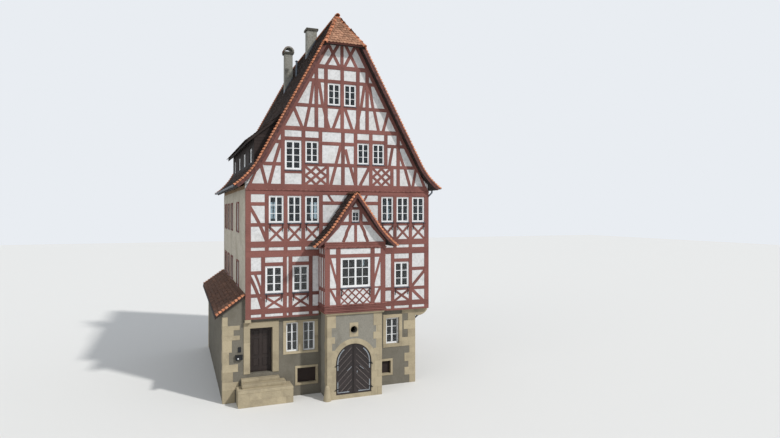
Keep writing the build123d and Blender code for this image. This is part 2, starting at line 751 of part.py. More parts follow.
rear_windows = (
    storey_windows(REAR_POSTS, REAR_WINDOWS, STOREY_1_SILL, STOREY_1_HEAD)
    + storey_windows(REAR_POSTS, REAR_WINDOWS, STOREY_2_SILL, STOREY_2_HEAD)
    + storey_windows(REAR_GABLE_POSTS, REAR_GABLE_WINDOWS, ATTIC_SILL, ATTIC_HEAD)
)
rear_timbers = timber_sketch(draw_rear, rear_bars(), rear_windows)
with BuildPart() as rear_frame:
    with BuildSketch(facing_front(BACK)):
        add(rear_timbers)
    extrude(amount=TIMBER)
save(rear_frame, "rear_frame")
with BuildPart() as rear_infill:
    with BuildSketch(facing_front(BACK - PLASTER_RECESS)):
        draw_rear()
        add(rear_timbers, mode=Mode.SUBTRACT)
        cut_openings(rear_windows)
    extrude(amount=TIMBER - PLASTER_RECESS)
    with BuildSketch(facing_front(BACK - TIMBER)):
        draw_rear_lining()
        cut_openings(rear_windows)
    extrude(amount=LINING)
save(rear_infill, "rear_infill")

# Side walls between the end walls: plaster on the entry side, timber on the other
SIDE_SPAN = (FRONT + TIMBER, BACK - TIMBER)
LEFT_WINDOW_DEPTHS = (3400, 6750, 8900, 10900)
LEFT_WINDOW_WIDTH = 1000
LEFT_1_SILL = TIMBER_FOOT + 1250
LEFT_1_HEAD = TIMBER_FOOT + 2500
LEFT_2_SILL = STOREY_2_FOOT + 880
LEFT_2_HEAD = STOREY_2_FOOT + 2350
SIDE_BAYS = 10
SIDE_INSET = 60
SIDE_FIRST = FRONT + TIMBER + SIDE_INSET
SIDE_STEP = -2 * SIDE_FIRST / SIDE_BAYS
SIDE_POSTS = tuple(SIDE_FIRST + SIDE_STEP * i for i in range(SIDE_BAYS + 1))
SIDE_WINDOWS = ((1, 2), (4, 5), (8, 9))


def left_windows():
    """Openings of the plastered side wall, as (y span, z span)."""
    openings = []
    for depth in LEFT_WINDOW_DEPTHS:
        y_span = (FRONT + depth - LEFT_WINDOW_WIDTH / 2, FRONT + depth + LEFT_WINDOW_WIDTH / 2)
        openings += [(y_span, (LEFT_1_SILL, LEFT_1_HEAD)), (y_span, (LEFT_2_SILL, LEFT_2_HEAD))]
    return openings


def right_windows():
    """Openings of the timber side wall, as (y span, z span)."""
    openings = []
    for first, second in SIDE_WINDOWS:
        y_span = (SIDE_POSTS[first] + POST / 2, SIDE_POSTS[second] - POST / 2)
        openings.append((y_span, (STOREY_1_SILL, STOREY_1_HEAD)))
        openings.append((y_span, (STOREY_2_SILL, STOREY_2_HEAD)))
    return openings


def right_bars():
    """Timbers of the plain side wall."""
    low, high = SIDE_SPAN
    bars = []
    rows = (
        (TIMBER_FOOT, STOREY_2_FOOT, STOREY_1_SILL, STOREY_1_HEAD),
        (STOREY_2_FOOT, GABLE_FOOT, STOREY_2_SILL, STOREY_2_HEAD),
    )
    for foot, top, sill, head in rows:
        bars += [post(y, foot, top) for y in SIDE_POSTS]
        bars.append(rail(low, high, foot + SILL_BEAM / 2, SILL_BEAM))
        bars.append(rail(low, high, top - SILL_BEAM / 2, SILL_BEAM))
        bars.append(rail(low, high, sill - RAIL / 2))
        bars.append(rail(low, high, head + RAIL / 2))
        bars.append(brace((SIDE_POSTS[0], head), (SIDE_POSTS[1], foot)))
        bars.append(brace((SIDE_POSTS[-1], head), (SIDE_POSTS[-2], foot)))
    return bars


def draw_side():
    panel(SIDE_SPAN, (TIMBER_FOOT, GABLE_FOOT))


with BuildPart() as left_wall:
    with BuildSketch(facing_side(-HALF_WIDTH)):
        draw_side()
        cut_openings(left_windows())
    extrude(amount=TIMBER_WALL)
save(left_wall, "left_wall")
side_timbers = timber_sketch(draw_side, right_bars(), right_windows())
SIDE_SHEET = facing_side(HALF_WIDTH - TIMBER)
right_frame = timber_frame(SIDE_SHEET, side_timbers)
right_infill = timber_infill(SIDE_SHEET, draw_side, side_timbers, right_windows())
save(right_frame, "right_frame")
save(right_infill, "right_infill")

# Main roof: two flared slopes, cut by the hip over the street gable
DORMER_SPAN = (FRONT + 500, FRONT + 11000)
DORMER_WALL_X = -4280
DORMER_EAVE_X = -4600
DORMER_EAVE_Z = GABLE_FOOT + 2380
DORMER_PITCH = 39
DORMER_ROOF = 110
DORMER_WALL = 150
DORMER_CHEEK = 2500
DORMER_VERGE = 100
DORMER_INNER_X = -3200

with BuildPart() as roof_right:
    with BuildSketch(facing_front(BACK + VERGE)):
        draw_slope(MAIN_ROOF)
    extrude(amount=DEPTH + 2 * VERGE)
    split(bisect_by=HIP_UNDERSIDE, keep=Keep.BOTTOM)
save(roof_right, "roof_right")

with BuildPart() as roof_left:
    add(roof_right.part.mirror(Plane.YZ))
    opening_x = (DORMER_WALL_X + 2 * DORMER_WALL, DORMER_INNER_X)
    opening_y = (DORMER_SPAN[0] + 2 * DORMER_WALL, DORMER_SPAN[1] - 2 * DORMER_WALL)
    block(opening_x, opening_y, (GABLE_FOOT, RIDGE), mode=Mode.SUBTRACT)
save(roof_left, "roof_left")

with BuildPart() as roof_hip:
    with BuildSketch(facing_side(0)):
        rise = ROOF_THICKNESS / cos(radians(HIP_ANGLE))
        tip = (HIP_EDGE + HIP_RUN, RIDGE)
        Polygon(
            (HIP_EDGE, HIP_EAVE),
            tip,
            (tip[0], tip[1] - rise),
            (HIP_EDGE, HIP_EAVE - rise),
            align=None,
        )
    extrude(amount=HALF_WIDTH, both=True)
    with BuildSketch(facing_front(0)):
        low = FLARE_TOP
        Polygon((0, RIDGE), (MAIN_ROOF.half_width(low), low), (-MAIN_ROOF.half_width(low), low), align=None)
    extrude(amount=DEPTH, mode=Mode.INTERSECT)
save(roof_hip, "roof_hip")

# Shed dormer along the entry side's slope
DORMER_WINDOW_DEPTHS = (1800, 4700, 7200, 9900)
DORMER_WINDOW = (900, GABLE_FOOT + 1380, GABLE_FOOT + 2100)


def dormer_height(x, inset=0):
    """Height of the dormer's roof above a side position, the inset below its surface."""
    rise = (x - DORMER_EAVE_X) * tan(radians(DORMER_PITCH))
    return DORMER_EAVE_Z + rise - inset / cos(radians(DORMER_PITCH))


with BuildSketch() as below_main_roof:
    draw_under_roof(MAIN_ROOF, 0, inset=0)


def draw_dormer_section(left, inset_low, inset_high):
    """Area above the main slope and between two insets of the dormer's roof."""
    Polygon(
        (left, dormer_height(left, inset_high)),
        (0, dormer_height(0, inset_high)),
        (0, dormer_height(0, inset_low)),
        (left, dormer_height(left, inset_low)),
        align=None,
    )
    add(below_main_roof.sketch, mode=Mode.SUBTRACT)


with BuildPart() as dormer_roof:
    with BuildSketch(facing_front(DORMER_SPAN[1] + DORMER_VERGE)):
        draw_dormer_section(DORMER_EAVE_X, DORMER_ROOF, 0)
    extrude(amount=DORMER_SPAN[1] - DORMER_SPAN[0] + 2 * DORMER_VERGE)
save(dormer_roof, "dormer_roof")

with BuildPart() as dormer_walls:
    for y in (DORMER_SPAN[0] + DORMER_WALL, DORMER_SPAN[1]):
        with BuildSketch(facing_front(y)):
            draw_dormer_section(DORMER_WALL_X, DORMER_CHEEK, DORMER_ROOF)
        extrude(amount=DORMER_WALL)
    with BuildSketch(facing_front(DORMER_SPAN[1])):
        draw_dormer_section(DORMER_WALL_X, DORMER_CHEEK, DORMER_ROOF)
        panel((DORMER_WALL_X, DORMER_WALL_X + DORMER_WALL), (GABLE_FOOT, RIDGE), mode=Mode.INTERSECT)
    extrude(amount=DORMER_SPAN[1] - DORMER_SPAN[0])
    width, low, high = DORMER_WINDOW
    for depth in DORMER_WINDOW_DEPTHS:
        middle = FRONT + depth
        wall_span = (DORMER_WALL_X, DORMER_WALL_X + DORMER_WALL)
        block(wall_span, (middle - width / 2, middle + width / 2), (low, high), mode=Mode.SUBTRACT)
save(dormer_walls, "dormer_walls")

# Chimneys and vent stand on the entry side's slope
CHIMNEY_1 = ((-610, -40), (FRONT + 5300, FRONT + 5870), RIDGE + 500)
CHIMNEY_2 = ((-1500, -1030), (FRONT + 7600, FRONT + 8100), RIDGE - 350)
CHIMNEY_ROOT = 3500
CHIMNEY_CAP = 120
CHIMNEY_CAP_OUT = 70
CAP_ARCH_RADIUS = 300
CAP_ARCH_WALL = 60
VENT = (-1200, FRONT + 5560)
VENT_RADIUS = 55
VENT_TOP = RIDGE - 1350
VENT_ROOT = 2000
VENT_HAT = 1.8

with BuildPart() as roof_envelope:
    full_depth = DEPTH + 2 * VERGE
    add(extrude(facing_front(BACK + VERGE) * below_main_roof.sketch, amount=full_depth, mode=Mode.PRIVATE))
    split(bisect_by=HIP_SURFACE, keep=Keep.BOTTOM)

with BuildPart() as chimneys:
    for x_span, y_span, top in (CHIMNEY_1, CHIMNEY_2):
        block(x_span, y_span, (top - CHIMNEY_ROOT, top))
        wide_x = (x_span[0] - CHIMNEY_CAP_OUT, x_span[1] + CHIMNEY_CAP_OUT)
        wide_y = (y_span[0] - CHIMNEY_CAP_OUT, y_span[1] + CHIMNEY_CAP_OUT)
        block(wide_x, wide_y, (top, top + CHIMNEY_CAP))
    arch_y = (CHIMNEY_2[1][0] - CHIMNEY_CAP_OUT, CHIMNEY_2[1][1] + CHIMNEY_CAP_OUT)
    arch_x = sum(CHIMNEY_2[0]) / 2
    with BuildSketch(facing_front(arch_y[1])):
        with Locations((arch_x, CHIMNEY_2[2] + CHIMNEY_CAP)):
            Circle(CAP_ARCH_RADIUS)
            Circle(CAP_ARCH_RADIUS - CAP_ARCH_WALL, mode=Mode.SUBTRACT)
        arch_half = (arch_x - CAP_ARCH_RADIUS, arch_x + CAP_ARCH_RADIUS)
        panel(arch_half, (CHIMNEY_2[2] + CHIMNEY_CAP, RIDGE + CAP_ARCH_RADIUS), mode=Mode.INTERSECT)
    extrude(amount=arch_y[1] - arch_y[0])
    add(roof_envelope.part, mode=Mode.SUBTRACT)
save(chimneys, "chimneys")

with BuildPart() as vent_pipe:
    with BuildSketch(Plane.XY.offset(VENT_TOP - VENT_ROOT)):
        with Locations(VENT):
            Circle(VENT_RADIUS)
    extrude(amount=VENT_ROOT)
    with BuildSketch(Plane.XY.offset(VENT_TOP)):
        with Locations(VENT):
            Circle(VENT_RADIUS * VENT_HAT)
    extrude(amount=VENT_RADIUS, taper=45)
    add(roof_envelope.part, mode=Mode.SUBTRACT)
save(vent_pipe, "vent_pipe")

# Floors
INNER_HALF = HALF_WIDTH - TIMBER_WALL
INNER_Y = (FRONT + TIMBER_WALL, BACK - TIMBER_WALL)
MASONRY_FRONT = FRONT + MASONRY_SETBACK
MASONRY_FRONT_INNER = MASONRY_FRONT + MASONRY_WALL
MASONRY_BACK = BACK - MASONRY_SETBACK
MASONRY_BACK_INNER = MASONRY_BACK - MASONRY_WALL
AISLE_INNER = AISLE_LEFT + MASONRY_SIDE_WALL
MASONRY_RIGHT_INNER = MASONRY_RIGHT - MASONRY_SIDE_WALL
ROOM_X = (AISLE_INNER, MASONRY_RIGHT_INNER)
ROOM_Y = (MASONRY_FRONT_INNER, MASONRY_BACK_INNER)
GIRDER = (300, 250)

with BuildPart() as base_slab:
    block(ROOM_X, ROOM_Y, (0, BASE_SLAB))
save(base_slab, "base_slab")

with BuildPart() as ground_floor:
    block(ROOM_X, ROOM_Y, (GROUND_FLOOR - FLOOR_SLAB, GROUND_FLOOR))
save(ground_floor, "ground_floor")

with BuildPart() as storey_floors:
    block((-INNER_HALF, INNER_HALF), INNER_Y, (TIMBER_FOOT, STOREY_1_FLOOR))
    block((-INNER_HALF, INNER_HALF), INNER_Y, (STOREY_2_FOOT, STOREY_2_FLOOR))
save(storey_floors, "storey_floors")

with BuildPart() as attic_floors:
    with BuildSketch(facing_front(INNER_Y[1])):
        draw_under_roof(MAIN_ROOF, GABLE_FOOT)
        panel((-HALF_WIDTH, HALF_WIDTH), (GABLE_FOOT, ATTIC_FLOOR), mode=Mode.INTERSECT)
    extrude(amount=INNER_Y[1] - INNER_Y[0])
    with BuildSketch(facing_front(INNER_Y[1])):
        draw_under_roof(MAIN_ROOF, GABLE_FOOT)
        slab = (UPPER_ATTIC_FLOOR - ATTIC_SLAB, UPPER_ATTIC_FLOOR)
        panel((-HALF_WIDTH, HALF_WIDTH), slab, mode=Mode.INTERSECT)
    extrude(amount=INNER_Y[1] - INNER_Y[0])
save(attic_floors, "attic_floors")

with BuildPart() as aisle_girder:
    girder_x = (-HALF_WIDTH, -HALF_WIDTH + GIRDER[0])
    block(girder_x, ROOM_Y, (TIMBER_FOOT - GIRDER[1], TIMBER_FOOT))
save(aisle_girder, "aisle_girder")

# Lean-to roof over the aisle
LEAN_TOP = TIMBER_FOOT + 1190
LEAN_PITCH = 35
LEAN_EAVE_X = -6120
LEAN_THICKNESS = 110
LEAN_VERGE = 150


def lean_height(x, inset=0):
    """Height of the lean-to roof above a side position, the inset below its surface."""
    fall = (-HALF_WIDTH - x) * tan(radians(LEAN_PITCH))
    return LEAN_TOP - fall - inset / cos(radians(LEAN_PITCH))


with BuildPart() as lean_to_roof:
    with BuildSketch(facing_front(MASONRY_BACK + LEAN_VERGE)):
        Polygon(
            (-HALF_WIDTH, lean_height(-HALF_WIDTH)),
            (LEAN_EAVE_X, lean_height(LEAN_EAVE_X)),
            (LEAN_EAVE_X, lean_height(LEAN_EAVE_X, LEAN_THICKNESS)),
            (-HALF_WIDTH, lean_height(-HALF_WIDTH, LEAN_THICKNESS)),
            align=None,
        )
    extrude(amount=MASONRY_BACK - MASONRY_FRONT + 2 * LEAN_VERGE)
save(lean_to_roof, "lean_to_roof")

# Masonry ground storey
ENTRY_SURROUND = ((ENTRY_LEFT - SURROUND, ENTRY_RIGHT + SURROUND), (ENTRY_SILL, ENTRY_TOP + SURROUND))
TWIN_WINDOW = ((-2944, -1213), (2060, 3700))
TWIN_MULLION = 230
TWIN_BAR = 150
RIGHT_WINDOW = ((2230, 3300), (1950, 3650))
RIGHT_BAR = 170
CELLAR_LEFT = ((-2360, -1210), (500, 1450))
CELLAR_RIGHT = ((1710, 2760), (500, 1360))
CELLAR_BAR = 110
HATCH = 40
PORCH_FRONT = FRONT - PORCH_OUT
PORCH_SPAN = (BAY_CENTER - PORCH_HALF, BAY_CENTER + PORCH_HALF)
PORCH_SIDE_WALL = 400
PASSAGE = (PORCH_SPAN[0] + PORCH_SIDE_WALL, PORCH_SPAN[1] - PORCH_SIDE_WALL)
PASSAGE_TOP = 3100
FRONT_MASONRY = (MASONRY_FRONT, MASONRY_FRONT_INNER)


def draw_aisle_gablet(right):
    """Masonry under the lean-to roof, from the aisle's outer face to a side position."""
    Polygon(
        (AISLE_LEFT, 0),
        (right, 0),
        (right, lean_height(right, LEAN_THICKNESS)),
        (AISLE_LEFT, lean_height(AISLE_LEFT, LEAN_THICKNESS)),
        align=None,
    )


with BuildPart() as front_wall_left:
    with BuildSketch(facing_front(MASONRY_FRONT_INNER)):
        draw_aisle_gablet(-HALF_WIDTH)
        panel((ENTRY_SURROUND[0][0], -HALF_WIDTH), (0, ENTRY_SURROUND[1][1]), mode=Mode.SUBTRACT)
    extrude(amount=MASONRY_WALL)
save(front_wall_left, "front_wall_left")

with BuildPart() as front_lintels:
    block((-HALF_WIDTH, ENTRY_SURROUND[0][1]), FRONT_MASONRY, (ENTRY_SURROUND[1][1], TIMBER_FOOT))
    block(PASSAGE, FRONT_MASONRY, (PASSAGE_TOP, TIMBER_FOOT))
save(front_lintels, "front_lintels")

with BuildPart() as door_plinth:
    block(ENTRY_SURROUND[0], FRONT_MASONRY, (0, ENTRY_SILL))
save(door_plinth, "door_plinth")

with BuildPart() as front_wall_middle:
    with BuildSketch(facing_front(MASONRY_FRONT_INNER)):
        panel((ENTRY_SURROUND[0][1], PASSAGE[0]), (0, TIMBER_FOOT))
        cut_openings((TWIN_WINDOW, CELLAR_LEFT))
    extrude(amount=MASONRY_WALL)
save(front_wall_middle, "front_wall_middle")

with BuildPart() as front_wall_right:
    with BuildSketch(facing_front(MASONRY_FRONT_INNER)):
        panel((PASSAGE[1], MASONRY_RIGHT), (0, TIMBER_FOOT))
        cut_openings((RIGHT_WINDOW, CELLAR_RIGHT))
    extrude(amount=MASONRY_WALL)
save(front_wall_right, "front_wall_right")

with BuildPart() as ground_side_walls:
    with BuildSketch(facing_front(MASONRY_BACK_INNER)):
        draw_aisle_gablet(AISLE_INNER)
    extrude(amount=MASONRY_BACK_INNER - MASONRY_FRONT_INNER)
    block((MASONRY_RIGHT_INNER, MASONRY_RIGHT), ROOM_Y, (0, TIMBER_FOOT))
save(ground_side_walls, "ground_side_walls")

REAR_GROUND_WINDOWS = (((-3300, -2300), (2000, 3400)), ((1200, 2200), (2000, 3400)))
with BuildPart() as rear_ground_wall:
    with BuildSketch(facing_front(MASONRY_BACK)):
        draw_aisle_gablet(-HALF_WIDTH)
        panel((-HALF_WIDTH, MASONRY_RIGHT), (0, TIMBER_FOOT))
        cut_openings(REAR_GROUND_WINDOWS)
    extrude(amount=MASONRY_WALL)
save(rear_ground_wall, "rear_ground_wall")

# Stone surrounds
with BuildPart() as entry_surround:
    with BuildSketch(facing_front(MASONRY_FRONT + SURROUND_DEPTH)):
        panel(*ENTRY_SURROUND)
        panel((ENTRY_LEFT, ENTRY_RIGHT), (ENTRY_SILL, ENTRY_TOP), mode=Mode.SUBTRACT)
    extrude(amount=SURROUND_DEPTH + SURROUND_PROUD)
save(entry_surround, "entry_surround")


def inset_span(span, bar):
    return (span[0] + bar, span[1] - bar)


TWIN_LIGHTS = (
    (TWIN_WINDOW[0][0] + TWIN_BAR, sum(TWIN_WINDOW[0]) / 2 - TWIN_MULLION / 2),
    (sum(TWIN_WINDOW[0]) / 2 + TWIN_MULLION / 2, TWIN_WINDOW[0][1] - TWIN_BAR),
)
TWIN_HEIGHT = inset_span(TWIN_WINDOW[1], TWIN_BAR * 0.7)
FRAMED_OPENINGS = ((RIGHT_WINDOW, RIGHT_BAR), (CELLAR_LEFT, CELLAR_BAR), (CELLAR_RIGHT, CELLAR_BAR))
with BuildPart() as window_surrounds:
    with BuildSketch(facing_front(MASONRY_FRONT + SURROUND_DEPTH)):
        panel(*TWIN_WINDOW)
        for light in TWIN_LIGHTS:
            panel(light, TWIN_HEIGHT, mode=Mode.SUBTRACT)
        for (x_span, z_span), bar in FRAMED_OPENINGS:
            panel(x_span, z_span)
            panel(inset_span(x_span, bar), inset_span(z_span, bar), mode=Mode.SUBTRACT)
    extrude(amount=SURROUND_DEPTH + SURROUND_PROUD)
save(window_surrounds, "window_surrounds")

with BuildPart() as cellar_hatches:
    for x_span, z_span in (CELLAR_LEFT, CELLAR_RIGHT):
        hatch_y = (MASONRY_FRONT + SURROUND_DEPTH / 2, MASONRY_FRONT + SURROUND_DEPTH / 2 + HATCH)
        block(inset_span(x_span, CELLAR_BAR), hatch_y, inset_span(z_span, CELLAR_BAR))
save(cellar_hatches, "cellar_hatches")

# Steps up to the entry
STEP_FOOT = 590
STEP_RISE = (ENTRY_SILL - STEP_FOOT) / 4
STEP_GOING = 300
STEP_SPANS = ((-4930, -3180), (-4930, -2900), (-5150, -2630))
STEP_NOSE = 25
with BuildPart() as entry_steps:
    for i, x_span in enumerate(STEP_SPANS):
        near = MASONRY_FRONT - STEP_GOING * (i + 1)
        top = ENTRY_SILL - STEP_RISE * (i + 1)
        block(x_span, (near, MASONRY_FRONT), (0, top))
        nosing = entry_steps.edges().filter_by(Axis.X).filter_by_position(Axis.Y, near - 1, near + 1)
        fillet(nosing.filter_by_position(Axis.Z, top - 1, top + 1), STEP_NOSE)
save(entry_steps, "entry_steps")

# Porch
PORCH_FACE = (PORCH_FRONT, PORCH_FRONT + PORCH_WALL)
GATE_OUTER = GATE_HALF + GATE_RING
RING_SPAN = (GATE_CENTER - GATE_OUTER, GATE_CENTER + GATE_OUTER)
GATE_SPAN = (GATE_CENTER - GATE_HALF, GATE_CENTER + GATE_HALF)

with BuildPart() as porch_piers:
    block((PORCH_SPAN[0], RING_SPAN[0]), PORCH_FACE, (0, PORCH_TOP))
    block((RING_SPAN[1], PORCH_SPAN[1]), PORCH_FACE, (0, PORCH_TOP))
save(porch_piers, "porch_piers")

with BuildPart() as porch_arch_wall:
    with BuildSketch(facing_front(PORCH_FACE[1])):
        panel(RING_SPAN, (GATE_SPRING, PORCH_TOP))
        with Locations((GATE_CENTER, GATE_SPRING)):
            Circle(GATE_OUTER, mode=Mode.SUBTRACT)
        with Locations((GATE_CENTER, OCULUS_LEVEL)):
            Circle(OCULUS_RADIUS, mode=Mode.SUBTRACT)
    extrude(amount=PORCH_WALL)
save(porch_arch_wall, "porch_arch_wall")

with BuildPart() as gate_arch:
    with BuildSketch(facing_front(PORCH_FACE[1])):
        with Locations((GATE_CENTER, GATE_SPRING)):
            Circle(GATE_OUTER)
            Circle(GATE_HALF, mode=Mode.SUBTRACT)
        panel(RING_SPAN, (GATE_SPRING, PORCH_TOP), mode=Mode.INTERSECT)
    extrude(amount=PORCH_WALL)
save(gate_arch, "gate_arch")

with BuildPart() as gate_jambs:
    block((RING_SPAN[0], GATE_SPAN[0]), PORCH_FACE, (0, GATE_SPRING))
    block((GATE_SPAN[1], RING_SPAN[1]), PORCH_FACE, (0, GATE_SPRING))
save(gate_jambs, "gate_jambs")

with BuildPart() as gate_threshold:
    block(GATE_SPAN, PORCH_FACE, (0, GATE_SILL))
save(gate_threshold, "gate_threshold")

with BuildPart() as porch_side_walls:
    side_y = (PORCH_FACE[1], MASONRY_FRONT)
    block((PORCH_SPAN[0], PASSAGE[0]), side_y, (0, PORCH_TOP))
    block((PASSAGE[1], PORCH_SPAN[1]), side_y, (0, PORCH_TOP))
save(porch_side_walls, "porch_side_walls")

# Bay over the porch
BAY_SPAN = (BAY_CENTER - BAY_HALF, BAY_CENTER + BAY_HALF)
BAY_FRONT = FRONT - BAY_OUT
BAY_INNER = (BAY_SPAN[0] + BAY_WALL, BAY_SPAN[1] - BAY_WALL)
BAY_LINING = BAY_WALL - TIMBER
BAY_INNER_FRONT = BAY_FRONT + BAY_WALL
CORNICE_OUT = 105
BAY_WINDOW = ((-760, 760), (TIMBER_FOOT + 1455, TIMBER_FOOT + 2905))
BAY_GABLE_WINDOW = ((-190, 190), (TIMBER_FOOT + 4630, TIMBER_FOOT + 5120))
BAY_POSTS = (865, 210)
BAY_GABLE_POSTS = (265, 150)
BAY_SILL_TOP = BAY_FOOT + 400
BAY_EAVE_BEAM = (TIMBER_FOOT + 3340, TIMBER_FOOT + 3650)
BAY_COLLAR = TIMBER_FOOT + 5270
BAY_COLLAR_HEIGHT = 120
BAY_GABLE_RAIL = BAY_GABLE_WINDOW[1][0] - RAIL / 2
BAY_SIDE_TOP = BAY_ROOF.height(BAY_HALF, BAY_ROOF_THICKNESS)
BAY_LATTICE_WIDTH = 62
BAY_LATTICE = (4, 2)
OGEE = ((620, 0), (555, 0.18), (480, 0.36), (450, 0.52), (375, 0.7), (250, 0.96))
MOULDING_OUT = 45
MOULDING_HEIGHT = 90


def draw_round(out, low, height):
    """Section of a half-round moulding with a fillet below, against an upright face at x 0."""
    radius = height / 2 - out / 6
    with BuildLine() as section:
        Line((0, low), (out / 3, low))
        Line((out / 3, low), (out / 3, low + height - 2 * radius))
        top = (out / 3, low + height)
        ThreePointArc((out / 3, low + height - 2 * radius), (out, low + height - radius), top)
        Line(top, (0, low + height))
        Line((0, low + height), (0, low))
    make_face(section.edges())


def draw_cavetto(out, low, height):
    """Section of a hollow moulding that spreads upwards, against an upright face at x 0."""
    lip = height / 4
    with BuildLine() as section:
        Line((0, low), (0, low + height))
        Line((0, low + height), (out, low + height))
        Line((out, low + height), (out, low + height - lip))
        RadiusArc((out, low + height - lip), (lip, low), out)
        Line((lip, low), (0, low))
    make_face(section.edges())


def moulding_round(x_span, near, far, draw_section, *sizes):
    """Sweep a section round the left side, front and right side of a rectangle."""
    corners = ((x_span[0], far), (x_span[0], near), (x_span[1], near), (x_span[1], far))
    with BuildLine() as path:
        Polyline(*corners)
    start = Plane(origin=(x_span[0], far, 0), x_dir=(-1, 0, 0), z_dir=(0, 1, 0))
    with BuildSketch(start, mode=Mode.PRIVATE) as section:
        draw_section(*sizes)
    sweep(section.sketch, path=path.line, transition=Transition.RIGHT)


with BuildPart() as porch_cornice:
    block(PORCH_SPAN, (PORCH_FRONT, FRONT), (PORCH_TOP, BAY_FOOT))
    block(BAY_INNER, (BAY_INNER_FRONT, FRONT), (PORCH_TOP, BAY_FOOT), mode=Mode.SUBTRACT)
    cavetto = (CORNICE_OUT, PORCH_TOP, BAY_FOOT - PORCH_TOP)
    moulding_round(PORCH_SPAN, PORCH_FRONT, FRONT, draw_cavetto, *cavetto)
save(porch_cornice, "porch_cornice")

# Moulded oak strips: round the bay at its sill and eaves, and under the gable's sill
with BuildPart() as front_mouldings:
    for top in (BAY_SILL_TOP, BAY_EAVE_BEAM[0] + MOULDING_HEIGHT):
        sizes = (MOULDING_OUT, top - MOULDING_HEIGHT, MOULDING_HEIGHT)
        moulding_round(BAY_SPAN, BAY_FRONT, FRONT, draw_round, *sizes)
    with BuildSketch(Plane(origin=(HALF_WIDTH, FRONT, 0), x_dir=(0, -1, 0), z_dir=(-1, 0, 0))):
        draw_round(MOULDING_OUT, GABLE_FOOT - MOULDING_HEIGHT, MOULDING_HEIGHT)
    extrude(amount=2 * HALF_WIDTH)
save(front_mouldings, "front_mouldings")

with BuildPart() as bay_floor:
    block(BAY_INNER, (BAY_INNER_FRONT, FRONT + TIMBER_WALL), (PORCH_TOP, STOREY_1_FLOOR))
save(bay_floor, "bay_floor")


def bay_bars():
    """Timbers of the bay's front and gable, about its own middle line."""
    edge = BAY_ROOF_THICKNESS + BRACE / 2
    top = BAY_ROOF.apex(edge)
    knee = BAY_ROOF.flare_point(BAY_ROOF.pitch, edge)
    eave = BAY_ROOF.flare_point(BAY_ROOF.eave_pitch, edge)
    post_x, post_width = BAY_POSTS
    gable_x, gable_post = BAY_GABLE_POSTS
    collar_half = BAY_ROOF.half_width(BAY_COLLAR, edge)
    window_low, window_high = BAY_WINDOW[1]
    half = [
        brace(top, knee),
        brace(knee, eave),
        post(BAY_HALF - CORNER_POST / 2, BAY_FOOT, BAY_EAVE_BEAM[1], CORNER_POST),
        post(post_x, BAY_FOOT, BAY_EAVE_BEAM[1], post_width),
        post(gable_x, BAY_GABLE_RAIL, BAY_COLLAR, gable_post),
        brace((BAY_HALF - CORNER_POST, window_high), (post_x, window_low), SLIM_BRACE),
        brace((BAY_HALF - CORNER_POST, window_low), (post_x, BAY_SILL_TOP), SLIM_BRACE),
    ]
    bars = half + mirrored(half)
    bars.append(rail(-BAY_HALF, BAY_HALF, (BAY_FOOT + BAY_SILL_TOP) / 2, BAY_SILL_TOP - BAY_FOOT))
    bars.append(rail(-BAY_HALF, BAY_HALF, sum(BAY_EAVE_BEAM) / 2, BAY_EAVE_BEAM[1] - BAY_EAVE_BEAM[0]))
    bars.append(rail(-BAY_HALF, BAY_HALF, window_high + RAIL / 2))
    bars.append(rail(-BAY_HALF, BAY_HALF, window_low - RAIL / 5, RAIL / 2.5))
    bars.append(rail(-collar_half, collar_half, BAY_COLLAR, BAY_COLLAR_HEIGHT))
    bars.append(rail(-BAY_HALF / 2, BAY_HALF / 2, BAY_GABLE_RAIL))
    bars.append(post(0, BAY_EAVE_BEAM[1], BAY_GABLE_RAIL, SLIM_BRACE))
    lattice_x = (-post_x + post_width / 2, post_x - post_width / 2)
    lattice_z = (BAY_SILL_TOP, window_low - 2 * RAIL / 5)
    bars += diamonds(lattice_x, lattice_z, *BAY_LATTICE, BAY_LATTICE_WIDTH)
    return bars


def bay_curves():
    """The two ogee braces of the bay's gable, about its own middle line."""
    rise = BAY_GABLE_RAIL - BAY_EAVE_BEAM[1]
    curves = []
    for side in (-1, 1):
        points = [(side * x, BAY_EAVE_BEAM[1] + share * rise) for x, share in OGEE]
        curves.append((points, SLIM_BRACE))
    return curves


def draw_bay():
    """Outline of the bay's front up to its roof, about its own middle line."""
    draw_under_roof(BAY_ROOF, BAY_FOOT)
    panel((-BAY_HALF, BAY_HALF), (BAY_FOOT, BAY_RIDGE), mode=Mode.INTERSECT)


def draw_bay_lining():
    """The bay front's outline between the side walls, and full width above them."""
    draw_bay()
    for side in (-1, 1):
        edge = side * BAY_HALF
        inner = side * (BAY_HALF - BAY_WALL)
        panel((min(edge, inner), max(edge, inner)), (BAY_FOOT, BAY_SIDE_TOP), mode=Mode.SUBTRACT)


BAY_WINDOWS = (BAY_WINDOW, BAY_GABLE_WINDOW)
BAY_SHEET = Plane(origin=(BAY_CENTER, BAY_FRONT + TIMBER, 0), x_dir=(1, 0, 0), z_dir=(0, -1, 0))
bay_timbers = timber_sketch(draw_bay, bay_bars(), BAY_WINDOWS, bay_curves())
bay_front_frame = timber_frame(BAY_SHEET, bay_timbers)
bay_front_infill = timber_infill(BAY_SHEET, draw_bay, bay_timbers, BAY_WINDOWS, BAY_LINING, draw_bay_lining)
save(bay_front_frame, "bay_front_frame")
save(bay_front_infill, "bay_front_infill")

BAY_SIDE_POSTS = (-960, -480, -60)


def draw_bay_side():
    """Outline of a side of the bay, with Y measured from the main wall's face."""
    panel((-BAY_OUT + TIMBER, 0), (BAY_FOOT, BAY_SIDE_TOP))
    panel((0, TIMBER_WALL), (BAY_FOOT, STOREY_2_FOOT))


